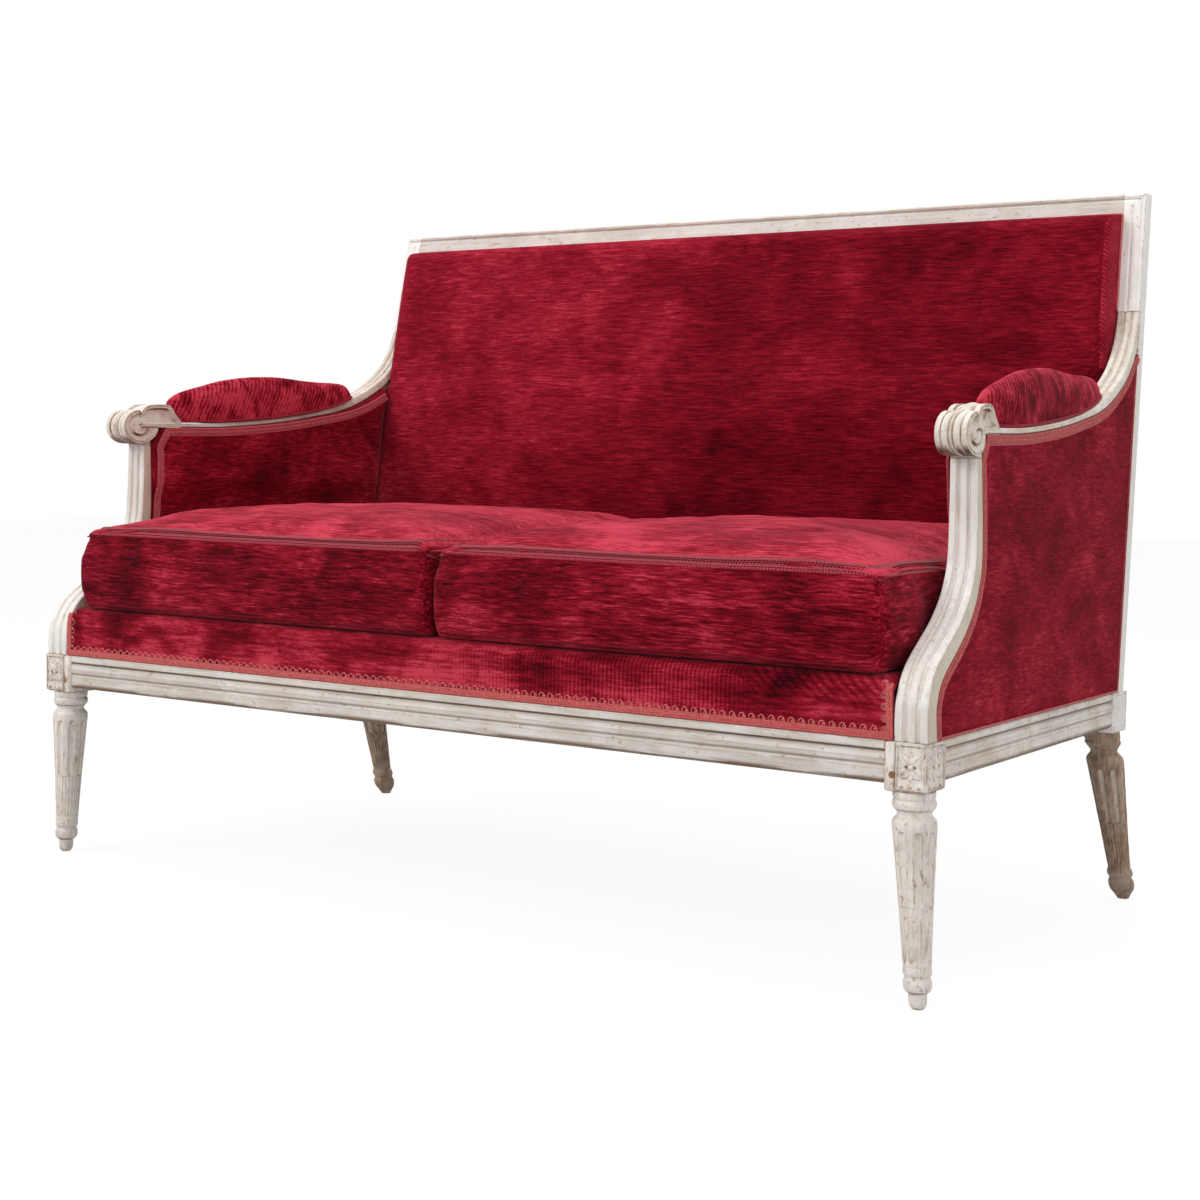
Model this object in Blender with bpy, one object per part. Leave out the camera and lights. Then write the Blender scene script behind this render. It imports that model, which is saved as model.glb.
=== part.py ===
"""A two-seat settee with a painted wood frame, velvet upholstery and two loose seat cushions.

Metres, +Z up, +X to the sitter's left, +Y to the back. The origin is on the floor under the middle.
Sizes in depth are measured back from the front faces of the front corner blocks.
"""

import math

import bmesh
import bpy

# Overall sizes
WIDTH = 1.400                  # across the front corner blocks
REAR_WIDTH = 1.354             # across the back frame at the seat
TOP_WIDTH = 1.300              # across the back frame at its top
SEAT_DEPTH = 0.668             # front corner block to the back of the rear one
BACK_FOOT = 0.655              # depth to the back frame's rear face at the seat
OVERALL_DEPTH = 0.773          # depth to the back frame's rear face at its top
HEIGHT = 0.961
FIT = 0.0003                   # gap where two pieces touch

# Corner blocks and seat rails
BLOCK_SIDE = 0.050
BLOCK_BOTTOM = 0.238
BLOCK_HEIGHT = 0.054
RAIL_HEIGHT = 0.0465
RAIL_THICKNESS = 0.030
RAIL_RECESS = 0.002            # rail face behind the block face
RAIL_GROOVE = 0.004
BRACE_WIDTH = 0.040
GLUE_BLOCK_LENGTH = 0.075
GLUE_BLOCK_HEIGHT = 0.032
GLUE_BLOCK_DROP = 0.006        # below the top of the rails

# Turned legs
LEG_RADIUS = 0.0238            # the rings under the block
FLUTE_DEPTH = 0.0030
FLUTES = 8
POINTS_PER_FLUTE = 4
FRONT_LEG_SPLAY = 0.012        # foot out to the side
REAR_LEG_SPLAY = 0.012
REAR_LEG_RAKE = 0.074          # foot out to the back

# Joint pegs
PEG_RADIUS = 0.004
PEG_LENGTH = 0.024
PEG_INSET = 0.010              # from the block's inner edge
PEG_RISE = 0.018               # above the block's underside
POST_PEG_INSET = 0.0048
POST_PEG_RISE = 0.0056          # above the post's foot

# Back frame
STILE_WIDTH = 0.0295
STILE_INSET = 0.001
STILE_DEPTH_LOWER = 0.024      # behind the arm's end
STILE_DEPTH_UPPER = 0.030
TOP_RAIL_HEIGHT = 0.0275
MOULDING_GROOVE = 0.003
STAY_RAIL_BOTTOM = 0.038       # above the seat rails
STAY_RAIL_HEIGHT = 0.034

# Arm posts
POST_FRONT = 0.003             # depth of the post's front at its foot
POST_TOP_FRONT = 0.142         # depth of the post's front at its top
POST_TOP = 0.597               # height of the seat for the arm
POST_FOOT_WIDTH = 0.040
POST_TOP_WIDTH = 0.0335
POST_FOOT_THICKNESS = 0.026
POST_TOP_THICKNESS = 0.014
REED_GROOVE = 0.0025

# Arms
ARM_FRONT_TOP = 0.6305         # height of the wood under the pad, at the scroll
ARM_JOINT = 0.800              # height of the arm's joint on the back frame
ARM_WIDTH = 0.040
ARM_END_WIDTH = 0.0305          # where it meets the back frame
ARM_EDGE = 0.0068              # the part of the arm's side that shows under the pad
ARM_SWEEP_EDGE = 0.0125        # the same behind the pad
SCROLL_DEPTH = 0.134           # depth of the scroll's centre
SCROLL_HEIGHT = 0.624
SCROLL_RADIUS = 0.0260
SCROLL_WIDTH = 0.048
SCROLL_OVERHANG = 0.007        # past the arm's outer side
CAP_LENGTH = 0.088             # the carved cap from the scroll's centre back to the pad
CAP_HEIGHT = 0.0275            # over the arm's top
SCROLL_POINTS = 20
NECK_SWEEP = 0.016             # the block under the scroll spreads back to the arm
TACKING_CORE = 0.012           # the narrower core that the covers are tacked to
CORE_OUTER = 0.0053            # the core's outer face behind the side plane
CORE_INNER = 0.0275
CORE_END = 0.001

# Seat upholstery
WEB_WIDTH = 0.050
WEB_THICKNESS = 0.002
WEB_LANDING = 0.018            # strap ends behind the side plane
WEB_FRONT = 0.012
CLOTH_THICKNESS = 0.001
COVER_THICKNESS = 0.002
DECK_FRONT = 0.004
DECK_RISE = 0.069              # above the seat rails
DECK_EDGE_RADIUS = 0.018
DECK_SIDE_FRONT = 0.0405       # behind the side plane, at the front
DECK_SIDE_REAR = 0.0515        # the same, at the back frame
DUST_COVER_THICKNESS = 0.0007

# Seat cushions
CUSHION_HEIGHT = 0.152
CUSHION_FRONT = 0.003
CUSHION_REAR = 0.626
CUSHION_GAP = 0.005
CUSHION_SHIFT = 0.0145         # both lie a little to one side
CUSHION_END_GAP = 0.013        # which leaves so much more room at the other end
CUSHION_CLEARANCE = 0.011      # to the inside arm cover
CUSHION_CORNER = 0.012
CUSHION_BULGE = 0.003          # how far the sides swell between the seams
CUSHION_SEAM = 0.006
CUSHION_CORNER_POINTS = 5
CUSHION_SIDE_POINTS = 4

# Inside back
BACK_FULLNESS = 0.040          # of the stuffing in front of the frame
BACK_CROWN = 0.010             # more in the middle
BACK_EDGE_ROUNDING = 0.014
BACK_PROUD = 0.001             # edge of the cover in front of the frame
WEB_DEPTH = 0.010              # back webbing in front of the frame's rear face
OUTSIDE_DEPTH = 0.003          # outside cover in front of the frame's rear face
BACK_WALL_LEAN = 0.002         # of its side walls
BACK_TUCK = 0.006              # of the walls' foot inside the frame's opening
BACK_STEPS_ACROSS = 8
BACK_WALL_ROW = 5              # from this row up it has a wall at each side
BACK_GIMP_ROW = 6              # from this row up the gimp runs round the wall
BACK_EDGE_SHARE = 0.72         # fullness of its outer edge behind the inside arm cover
BACK_MARGIN_SHARE = 0.9        # the same at the arm cover's face

# Arm covers and pads
OUTER_COVER_INSET = 0.002
OUTER_COVER_THICKNESS = 0.003
INNER_COVER_START = 0.0291
INNER_COVER_FRONT = 0.0375     # its face behind the side plane, at the front
INNER_COVER_REAR = 0.0445      # the same, at the back frame
INNER_COVER_LIFT = 0.004       # above the seat rails, over the webbing
PAD_START = 0.227
PAD_END = 0.588
PAD_HALF_WIDTH = 0.0160
PAD_HEIGHT = 0.068
PAD_BRAID_WIDTH = 0.0024
PAD_BRAID_THICKNESS = 0.0024
PAD_POINTS = 9

# Gimp braid
GIMP_WIDTH = 0.009
FRONT_GIMP_WIDTH = 0.0125      # on the seat's front band
GIMP_THICKNESS = 0.002
GIMP_EDGE = 0.0006             # bare strip outside the gimp
CORD_WIDTH = 0.003             # the cord along the lower and rear edges of the arm covers

SEAT_TOP = BLOCK_BOTTOM + BLOCK_HEIGHT
RAIL_BOTTOM = SEAT_TOP - RAIL_HEIGHT
DECK_TOP = SEAT_TOP + DECK_RISE
FRONT = -OVERALL_DEPTH / 2
LEAN = (OVERALL_DEPTH - BACK_FOOT) / (HEIGHT - SEAT_TOP)
TAPER_BACK = (WIDTH - REAR_WIDTH) / 2 / BACK_FOOT
TAPER_UP = ((REAR_WIDTH - TOP_WIDTH) / 2 - TAPER_BACK * (OVERALL_DEPTH - BACK_FOOT)) / (HEIGHT - SEAT_TOP)
LOOP_POINTS = FLUTES * POINTS_PER_FLUTE

# Leg outlines from the block down: share of the height, share of the ring's radius, share of the flute
FRONT_LEG_SHARES = [
    (0.0, 1.0, 0), (0.034, 1.0, 0), (0.038, 0.93, 0), (0.046, 1.0, 0), (0.064, 0.96, 0), (0.100, 0.73, 0),
    (0.138, 1.03, 0), (0.160, 1.03, 0), (0.180, 1.01, 1.0), (0.500, 0.80, 1.0), (0.515, 0.79, 0.4),
    (0.785, 0.66, 0.4), (0.800, 0.65, 0), (0.845, 0.65, 0), (0.852, 0.58, 0), (0.880, 0.66, 0),
    (0.922, 0.56, 0), (0.927, 0.44, 0), (0.985, 0.36, 0), (1.0, 0.28, 0),
]
REAR_LEG_SHARES = [
    (0.0, 1.0, 0), (0.048, 1.0, 0), (0.053, 0.93, 0), (0.066, 0.98, 0), (0.115, 0.71, 0), (0.165, 1.03, 0),
    (0.190, 1.03, 0), (0.225, 1.01, 1.0), (0.535, 0.79, 1.0), (0.550, 0.78, 0.4), (0.810, 0.63, 0.4),
    (0.825, 0.62, 0), (0.832, 0.69, 0), (0.868, 0.70, 0), (0.878, 0.62, 0), (0.912, 0.71, 0),
    (0.938, 0.68, 0), (1.0, 0.33, 0),
]
# Front edge of the arm post: share of its reach back, share of its height
POST_CURVE_SHARES = [
    (0.0, 0.0), (0.004, 0.13), (0.128, 0.241), (0.318, 0.313), (0.60, 0.396), (0.82, 0.487),
    (0.955, 0.594), (0.992, 0.714), (1.0, 0.87), (1.0, 1.0),
]
# Top of the arm's wood: share of the reach to the back frame, share of the rise to the joint
ARM_CURVE_SHARES = [
    (0.0, 0.0), (0.15, 0.009), (0.24, 0.015), (0.32, 0.030), (0.41, 0.055), (0.505, 0.089), (0.60, 0.136),
    (0.67, 0.184), (0.735, 0.245), (0.804, 0.334), (0.864, 0.431), (0.910, 0.530), (0.944, 0.636),
    (0.971, 0.758), (0.989, 0.876), (1.0, 1.0),
]
# Cap behind the scroll: share of its length, share of its height over the arm's top
CAP_SHARES = [
    (0.0, 0.50), (0.08, 0.80), (0.20, 0.96), (0.50, 1.0), (0.64, 0.94), (0.73, 0.72), (0.81, 0.46),
    (0.90, 0.20), (1.0, 0.04), (1.0, -0.12), (0.0, -0.16),
]
# Reeded face: share of the width, share of the groove's depth
REED_SHARES = [
    (0.0, 0.6), (0.08, 0.0), (0.27, 0.0), (0.33, 1.0), (0.39, 0.0),
    (0.61, 0.0), (0.67, 1.0), (0.73, 0.0), (0.92, 0.0), (1.0, 0.6),
]
# Moulded rail face from the top down: share of the height, share of the groove's depth
RAIL_FACE_SHARES = [
    (0.0, 0.25), (0.03, 0.0), (0.19, 0.0), (0.25, 1.0), (0.31, 0.35), (0.42, 0.0), (0.53, 0.35),
    (0.59, 1.0), (0.66, 0.3), (0.93, 0.3), (1.0, 1.1),
]
# Moulded face of the back frame from its inner edge out: share of the width, share of the groove's depth
FRAME_FACE_SHARES = [(0.0, 0.4), (0.34, 0.4), (0.42, 1.0), (0.52, 0.2), (0.66, 0.0), (0.80, 0.1), (0.88, 0.9), (1.0, 1.0)]
# The same of the top rail from its underside up: share of the height, share of the groove's depth
TOP_RAIL_FACE_SHARES = [(0.0, 0.4), (0.64, 0.4), (0.75, 1.0), (0.83, 0.3), (0.92, 0.1), (1.0, 0.9)]
# Scroll from its inner side out: share of the width, share of the radius
SCROLL_LOBE_SHARES = [
    (0.0, 0.86), (0.05, 0.96), (0.16, 1.0), (0.27, 0.97), (0.33, 0.89), (0.39, 0.97), (0.50, 1.0),
    (0.61, 0.97), (0.67, 0.89), (0.73, 0.97), (0.84, 1.0), (0.95, 0.96), (1.0, 0.86),
]
# Cushion from the bottom up: share of the height, inset in seam widths, swell in bulges and share to the middle
CUSHION_STACK_SHARES = [
    (0.0, 2.2, 0, 0), (0.02, 0.8, 0, 0), (0.045, 0.1, 0, 0), (0.08, 0.4, 0, 0), (0.19, 0.0, 0.7, 0),
    (0.37, 0.0, 1.0, 0), (0.55, 0.0, 0.7, 0), (0.68, 0.4, 0, 0), (0.72, 0.1, 0, 0), (0.75, 0.6, 0, 0),
    (0.77, 1.6, 0, 0), (0.83, 1.6, 0, 0.09),
    (0.89, 1.6, 0, 0.22), (0.945, 1.6, 0, 0.42), (0.985, 1.6, 0, 0.66), (1.0, 1.6, 0, 0.9),
]
# Pad along the arm: share of the length, of the half width, of the height, and lean to the front
PAD_SHARES = [
    (0.0, 0.62, 0.44, 1.27), (0.03, 0.82, 0.60, 1.0), (0.09, 0.93, 0.75, 0.85), (0.18, 1.0, 0.87, 0.5),
    (0.30, 1.0, 0.98, 0.3), (0.44, 1.0, 1.0, 0.1), (0.58, 1.0, 0.94, 0), (0.72, 1.0, 0.78, -0.1),
    (0.84, 0.97, 0.57, -0.15), (0.92, 0.86, 0.38, -0.2), (0.97, 0.64, 0.21, -0.2), (1.0, 0.34, 0.06, 0),
]
# Rows of the inside back from the bottom up: share of the height, share of the fullness
BACK_ROW_SHARES = [
    (0.0, 0.12), (0.17, 0.34), (0.34, 0.72), (0.52, 1.0), (0.615, 1.0), (0.645, 0.93), (0.79, 0.97),
    (0.90, 1.0), (1.0, 1.0),
]
# Wall of the inside back up from its foot: lean in wall leans, inset in roundings, share of the fullness
BACK_WALL_SHARES = [(0, 0, 0.0), (1, 0, 0.62), (0, 0.35, 0.85)]
# Places of the straps: shares of the span
SEAT_STRAPS_ALONG_SHARES = (0.14, 0.32, 0.50, 0.68, 0.86)
SEAT_STRAPS_ACROSS_SHARES = (-0.84, -0.63, -0.42, -0.21, 0.0, 0.21, 0.42, 0.63, 0.84)
BACK_STRAPS_ACROSS_SHARES = (0.2, 0.5, 0.8)
BACK_STRAPS_UP_SHARES = (-0.75, -0.45, -0.15, 0.15, 0.45, 0.75)

PAINT = ("painted_wood", (0.66, 0.63, 0.58, 1), 0.55)
BARE_WOOD = ("bare_wood", (0.30, 0.19, 0.10, 1), 0.7)
VELVET = ("crimson_velvet", (0.20, 0.008, 0.022, 1), 0.85)
GIMP = ("rose_gimp", (0.42, 0.05, 0.07, 1), 0.85)
LINEN = ("jute_cloth", (0.36, 0.26, 0.15, 1), 0.95)
STUFFING = ("horsehair_pad", (0.16, 0.12, 0.09, 1), 0.95)
BLACK_CLOTH = ("black_cloth", (0.02, 0.02, 0.02, 1), 0.95)


def clear_scene():
    for old in list(bpy.data.objects):
        bpy.data.objects.remove(old, do_unlink=True)


def material(look):
    name, colour, roughness = look
    found = bpy.data.materials.get(name)
    if found:
        return found
    made = bpy.data.materials.new(name)
    made.use_nodes = True
    shader = made.node_tree.nodes["Principled BSDF"]
    shader.inputs["Base Color"].default_value = colour
    shader.inputs["Roughness"].default_value = roughness
    shader.inputs["Metallic"].default_value = 0
    return made


def finish(name, mesh, look, smooth_angle=None):
    """Turns a bmesh into a named object, with its faces pointing out."""
    bmesh.ops.recalc_face_normals(mesh, faces=mesh.faces)
    if mesh.calc_volume(signed=True) < 0:
        bmesh.ops.reverse_faces(mesh, faces=mesh.faces)
    data = bpy.data.meshes.new(name)
    mesh.to_mesh(data)
    mesh.free()
    data.materials.append(material(look))
    if smooth_angle:
        data.shade_smooth()
        data.set_sharp_from_angle(angle=math.radians(smooth_angle))
    made = bpy.data.objects.new(name, data)
    bpy.context.collection.objects.link(made)
    return made


def loft(name, loops, look, smooth_angle=None):
    """One closed body through loops of as many points each, capped at both ends."""
    mesh = bmesh.new()
    rows = [[mesh.verts.new(point) for point in loop] for loop in loops]
    count = len(rows[0])
    for low, high in zip(rows, rows[1:]):
        for i in range(count):
            j = (i + 1) % count
            mesh.faces.new((low[i], low[j], high[j], high[i]))
    mesh.faces.new(rows[0])
    mesh.faces.new(rows[-1])
    return finish(name, mesh, look, smooth_angle)


def ring_loft(name, loops, look):
    """One closed body through loops that come back to the first one."""
    mesh = bmesh.new()
    rows = [[mesh.verts.new(point) for point in loop] for loop in loops]
    count = len(rows[0])
    for low, high in zip(rows, rows[1:] + rows[:1]):
        for i in range(count):
            j = (i + 1) % count
            mesh.faces.new((low[i], low[j], high[j], high[i]))
    return finish(name, mesh, look)


def combine(base, tool, operation):
    """Cuts or joins a tool, which stays in the file as a hidden wire object."""
    tool.hide_render = True
    tool.display_type = "WIRE"
    change = base.modifiers.new(tool.name, "BOOLEAN")
    change.operation = operation
    change.solver = "EXACT"
    change.object = tool


def side_x(y, z, inward):
    """X of a plane that follows the settee's side, which tapers to the back and to the top."""
    return WIDTH / 2 - TAPER_BACK * (y - FRONT) - TAPER_UP * (z - SEAT_TOP) - inward


def rail_side_x(y, inward):
    return side_x(y, SEAT_TOP, inward)


def back_y(z, forward):
    """Y of a plane in front of the back frame's rear face."""
    return FRONT + BACK_FOOT + LEAN * (z - SEAT_TOP) - forward


def stile_front(z):
    return back_y(z, STILE_DEPTH_LOWER)


def blend(start, end, share):
    return start + (end - start) * share


def prism(name, outline, low_x, high_x, look, smooth_angle=None):
    """A side outline of (y, z) points between two faces whose x follows y and z."""
    low = [(low_x(y, z), y, z) for y, z in outline]
    high = [(high_x(y, z), y, z) for y, z in outline]
    return loft(name, [low, high], look, smooth_angle)


def side_panel(name, side, outline, outer, inner, look):
    """A side outline between two distances behind the side plane, each a function of y."""
    return prism(
        name, outline,
        lambda y, z: side * side_x(y, z, outer(y)),
        lambda y, z: side * side_x(y, z, inner(y)),
        look,
    )


def smooth_curve(points, steps):
    """Points on a smooth curve through the given ones, with so many steps between them."""
    curve = []
    last = len(points) - 1
    for i in range(last):
        before, start = points[max(i - 1, 0)], points[i]
        end, after = points[i + 1], points[min(i + 2, last)]
        for k in range(steps):
            t = k / steps
            curve.append(tuple(
                0.5 * (2 * b + (c - a) * t + (2 * a - 5 * b + 4 * c - d) * t * t + (3 * b - a - 3 * c + d) * t ** 3)
                for a, b, c, d in zip(before, start, end, after)
            ))
    curve.append(tuple(points[last]))
    return curve


def into_depth(curve, first=None, last=None):
    """Unit directions square to a curve, to the back or down; the first and last may be given."""
    turned = []
    end = len(curve) - 1
    for i in range(end + 1):
        y0, z0 = curve[max(i - 1, 0)]
        y1, z1 = curve[min(i + 1, end)]
        length = math.hypot(y1 - y0, z1 - z0)
        turned.append(((z1 - z0) / length, -(y1 - y0) / length))
    if first:
        turned[0] = first
    if last:
        turned[end] = last
    return turned


def offset(curve, turned, distances):
    return [
        (y + dy * distance, z + dz * distance)
        for (y, z), (dy, dz), distance in zip(curve, turned, distances)
    ]


def post_curve():
    points = [
        (FRONT + blend(POST_FRONT, POST_TOP_FRONT, reach), blend(SEAT_TOP + FIT, POST_TOP, rise))
        for reach, rise in POST_CURVE_SHARES
    ]
    curve = smooth_curve(points, 2)
    return curve, into_depth(curve, (1, 0), (1, 0))


def post_share(z):
    return (z - SEAT_TOP) / (POST_TOP - SEAT_TOP)


def arm_curve():
    end_y = back_y(ARM_JOINT - FIT, STILE_DEPTH_UPPER)
    points = [
        (blend(FRONT + SCROLL_DEPTH, end_y, reach), blend(ARM_FRONT_TOP, ARM_JOINT - FIT, rise))
        for reach, rise in ARM_CURVE_SHARES
    ]
    curve = smooth_curve(points, 2)
    lean = math.hypot(1, LEAN)
    return curve, into_depth(curve, (0, -1), (1 / lean, -LEAN / lean))


def arm_edges(curve, turned):
    """Depth of the arm's visible edge and of its core, which thin out in front of the back frame."""
    edges = []
    for (y, z), (dy, dz) in zip(curve, turned):
        room = (stile_front(z) - FIT - y) * dy
        behind = (y - FRONT - PAD_END) / (PAD_END - PAD_START) * 4 + 1
        edge = blend(ARM_EDGE, ARM_SWEEP_EDGE, min(max(behind, 0), 1))
        edge = min(edge, room - CORE_END) if dy > 0.5 else edge
        core = min(TACKING_CORE, room - edge) if dy > 0.3 else TACKING_CORE
        edges.append((edge, max(core, CORE_END)))
    return edges


def t_section(side, y, z, dy, dz, width, edge, core):
    """A reeded face, two sides and a narrower core behind it, square to a side curve."""
    face = [(width * share, REED_GROOVE * groove) for share, groove in REED_SHARES]
    rear = [
        (width, edge), (min(CORE_INNER, width - CORE_OUTER), edge), (min(CORE_INNER, width - CORE_OUTER), edge + core),
        (CORE_OUTER, edge + core), (CORE_OUTER, edge), (0.0, edge),
    ]
    loop = []
    for inward, depth in face + rear:
        py, pz = y + dy * depth, z + dz * depth
        loop.append((side * side_x(py, pz, inward), py, pz))
    return loop


def round_loop(cx, cy, z, radius, flute):
    loop = []
    for k in range(LOOP_POINTS):
        angle = 2 * math.pi * k / LOOP_POINTS
        reach = radius - (FLUTE_DEPTH * flute if k % POINTS_PER_FLUTE >= 2 else 0)
        loop.append((cx + reach * math.cos(angle), cy + reach * math.sin(angle), z))
    return loop


def square_loop(cx, cy, z, half):
    loop = []
    for k in range(LOOP_POINTS):
        angle = 2 * math.pi * k / LOOP_POINTS
        reach = half / max(abs(math.cos(angle)), abs(math.sin(angle)))
        loop.append((cx + reach * math.cos(angle), cy + reach * math.sin(angle), z))
    return loop


def leg_with_block(name, cx, cy, shares, splay, rake):
    """A fluted leg turned below the square block that takes the seat rails."""
    loops = []
    for down, wide, flute in reversed(shares):
        z = BLOCK_BOTTOM * (1 - down)
        loops.append(round_loop(cx + splay * down, cy + rake * down, z, LEG_RADIUS * wide, flute))
    loops.append(square_loop(cx, cy, BLOCK_BOTTOM, BLOCK_SIDE / 2))
    loops.append(square_loop(cx, cy, SEAT_TOP, BLOCK_SIDE / 2))
    return loft(name, loops, PAINT, 40)


def peg_hole(name, x, z, radius, length, front):
    loops = []
    for y in (front, front + length):
        loops.append([
            (x + radius * math.cos(math.pi * k / 4), y, z + radius * math.sin(math.pi * k / 4)) for k in range(8)
        ])
    return loft(name, loops, BARE_WOOD)


def front_leg(side, word):
    cx = side * (WIDTH - BLOCK_SIDE) / 2
    leg = leg_with_block("front_leg_" + word, cx, FRONT + BLOCK_SIDE / 2, FRONT_LEG_SHARES, side * FRONT_LEG_SPLAY, 0)
    peg_x = side * (WIDTH / 2 - BLOCK_SIDE + PEG_INSET)
    peg_z = BLOCK_BOTTOM + PEG_RISE
    hole = peg_hole(
        "peg_hole_" + word, peg_x, peg_z, PEG_RADIUS + FIT, 2 * PEG_LENGTH + 2 * FIT, FRONT - PEG_LENGTH
    )
    combine(leg, hole, "DIFFERENCE")
    peg_hole("rail_peg_" + word, peg_x, peg_z, PEG_RADIUS, PEG_LENGTH, FRONT)


def stile_loop(side, z, depth):
    """Section of the back frame's upright, moulded on its front face."""
    loop = []
    for share, groove in FRAME_FACE_SHARES:
        inward = STILE_INSET + STILE_WIDTH * (1 - share)
        y = back_y(z, depth - MOULDING_GROOVE * groove)
        loop.append((side * side_x(y, z, inward), y, z))
    for inward in (STILE_INSET, STILE_INSET + STILE_WIDTH):
        y = back_y(z, 0)
        loop.append((side * side_x(y, z, inward), y, z))
    return loop


def rear_post(side, word):
    """The back leg, its block and the back frame's upright, cut from one piece."""
    cx = side * (REAR_WIDTH - BLOCK_SIDE) / 2
    cy = FRONT + SEAT_DEPTH - BLOCK_SIDE / 2
    post = leg_with_block("rear_post_" + word, cx, cy, REAR_LEG_SHARES, side * REAR_LEG_SPLAY, REAR_LEG_RAKE)
    sunk = SEAT_TOP - STILE_INSET
    loops = [
        stile_loop(side, sunk, STILE_DEPTH_LOWER), stile_loop(side, ARM_JOINT, STILE_DEPTH_LOWER),
        stile_loop(side, ARM_JOINT, STILE_DEPTH_UPPER), stile_loop(side, HEIGHT, STILE_DEPTH_UPPER),
    ]
    combine(post, loft("stile_blank_" + word, loops, PAINT), "UNION")


def rail_face(top, height, recess):
    """Moulded face of a seat rail as (distance in from the block's face, z) from the top down."""
    return [(recess + RAIL_GROOVE * groove, top - height * share) for share, groove in RAIL_FACE_SHARES]


def front_rail():
    half = WIDTH / 2 - BLOCK_SIDE - FIT
    section = [(FRONT + inset, z) for inset, z in rail_face(SEAT_TOP, RAIL_HEIGHT, RAIL_RECESS)]
    section += [(FRONT + RAIL_RECESS + RAIL_THICKNESS, RAIL_BOTTOM), (FRONT + RAIL_RECESS + RAIL_THICKNESS, SEAT_TOP)]
    prism("front_seat_rail", section, lambda y, z: -half, lambda y, z: half, PAINT)


def side_rail(side, word):
    loops = []
    for y in (FRONT + BLOCK_SIDE + FIT, FRONT + SEAT_DEPTH - BLOCK_SIDE - FIT):
        loop = [(side * rail_side_x(y, inset), y, z) for inset, z in rail_face(SEAT_TOP, RAIL_HEIGHT, RAIL_RECESS)]
        inner = side * rail_side_x(y, RAIL_RECESS + RAIL_THICKNESS)
        loop += [(inner, y, RAIL_BOTTOM), (inner, y, SEAT_TOP)]
        loops.append(loop)
    loft("side_seat_rail_" + word, loops, PAINT)


def box(name, x0, x1, y0, y1, z0, z1, look):
    loops = [[(x0, y0, z), (x1, y0, z), (x1, y1, z), (x0, y1, z)] for z in (z0, z1)]
    return loft(name, loops, look)


def rear_rail_front():
    return FRONT + SEAT_DEPTH - RAIL_RECESS - RAIL_THICKNESS


def rear_rail():
    half = REAR_WIDTH / 2 - BLOCK_SIDE - FIT
    box(
        "rear_seat_rail", -half, half, rear_rail_front(), FRONT + SEAT_DEPTH - RAIL_RECESS,
        RAIL_BOTTOM, SEAT_TOP, PAINT,
    )


def cross_brace():
    front = FRONT + RAIL_RECESS + RAIL_THICKNESS + FIT
    box(
        "seat_cross_brace", -BRACE_WIDTH / 2, BRACE_WIDTH / 2, front, rear_rail_front() - FIT,
        RAIL_BOTTOM, SEAT_TOP - FIT, BARE_WOOD,
    )


def corner_block(side, word, front):
    """A glue block in a corner of the seat frame, notched round the leg's block."""
    if front:
        rail = FRONT + RAIL_RECESS + RAIL_THICKNESS + FIT
        block_y = FRONT + BLOCK_SIDE + FIT
        block_x = WIDTH / 2 - BLOCK_SIDE - FIT
        away = 1
    else:
        rail = rear_rail_front() - FIT
        block_y = FRONT + SEAT_DEPTH - BLOCK_SIDE - FIT
        block_x = REAR_WIDTH / 2 - BLOCK_SIDE - FIT
        away = -1
    far_y = block_y + away * GLUE_BLOCK_LENGTH
    inner = RAIL_RECESS + RAIL_THICKNESS + FIT
    plan = [
        (block_x - GLUE_BLOCK_LENGTH, rail), (block_x, rail), (block_x, block_y),
        (rail_side_x(block_y, inner), block_y), (rail_side_x(far_y, inner), far_y),
    ]
    top = SEAT_TOP - GLUE_BLOCK_DROP
    loops = [[(side * x, y, z) for x, y in plan] for z in (top - GLUE_BLOCK_HEIGHT, top)]
    end = "front_" if front else "rear_"
    loft("corner_block_" + end + word, loops, BARE_WOOD)


def arm_post(side, word):
    curve, turned = post_curve()
    loops = []
    for (y, z), (dy, dz) in zip(curve, turned):
        share = post_share(z)
        width = blend(POST_FOOT_WIDTH, POST_TOP_WIDTH, share)
        edge = blend(POST_FOOT_THICKNESS, POST_TOP_THICKNESS, share)
        loops.append(t_section(side, y, z - FIT * share, dy, dz, width, edge, TACKING_CORE))
    post = loft("arm_post_" + word, loops, PAINT)
    peg_z = SEAT_TOP + POST_PEG_RISE
    peg_x = side * (side_x(FRONT, peg_z, POST_FOOT_WIDTH - POST_PEG_INSET))
    hole = peg_hole(
        "post_peg_hole_" + word, peg_x, peg_z, PEG_RADIUS + FIT, PEG_LENGTH + POST_FRONT + FIT, FRONT
    )
    combine(post, hole, "DIFFERENCE")
    peg_hole(
        "post_peg_" + word, peg_x, peg_z, PEG_RADIUS, PEG_LENGTH, FRONT + POST_FRONT,
    )


def scroll(side, word):
    """The arm's reeded scroll, turned about a line across the arm."""
    cy, cz = FRONT + SCROLL_DEPTH, SCROLL_HEIGHT
    outer = side_x(cy, cz, -SCROLL_OVERHANG)
    loops = []
    for across, reach in SCROLL_LOBE_SHARES:
        x = side * (outer - SCROLL_WIDTH * (1 - across))
        radius = SCROLL_RADIUS * reach
        loops.append([
            (
                x, cy + radius * math.cos(2 * math.pi * k / SCROLL_POINTS),
                cz + radius * math.sin(2 * math.pi * k / SCROLL_POINTS),
            )
            for k in range(SCROLL_POINTS)
        ])
    return loft("scroll_blank_" + word, loops, PAINT)


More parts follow.
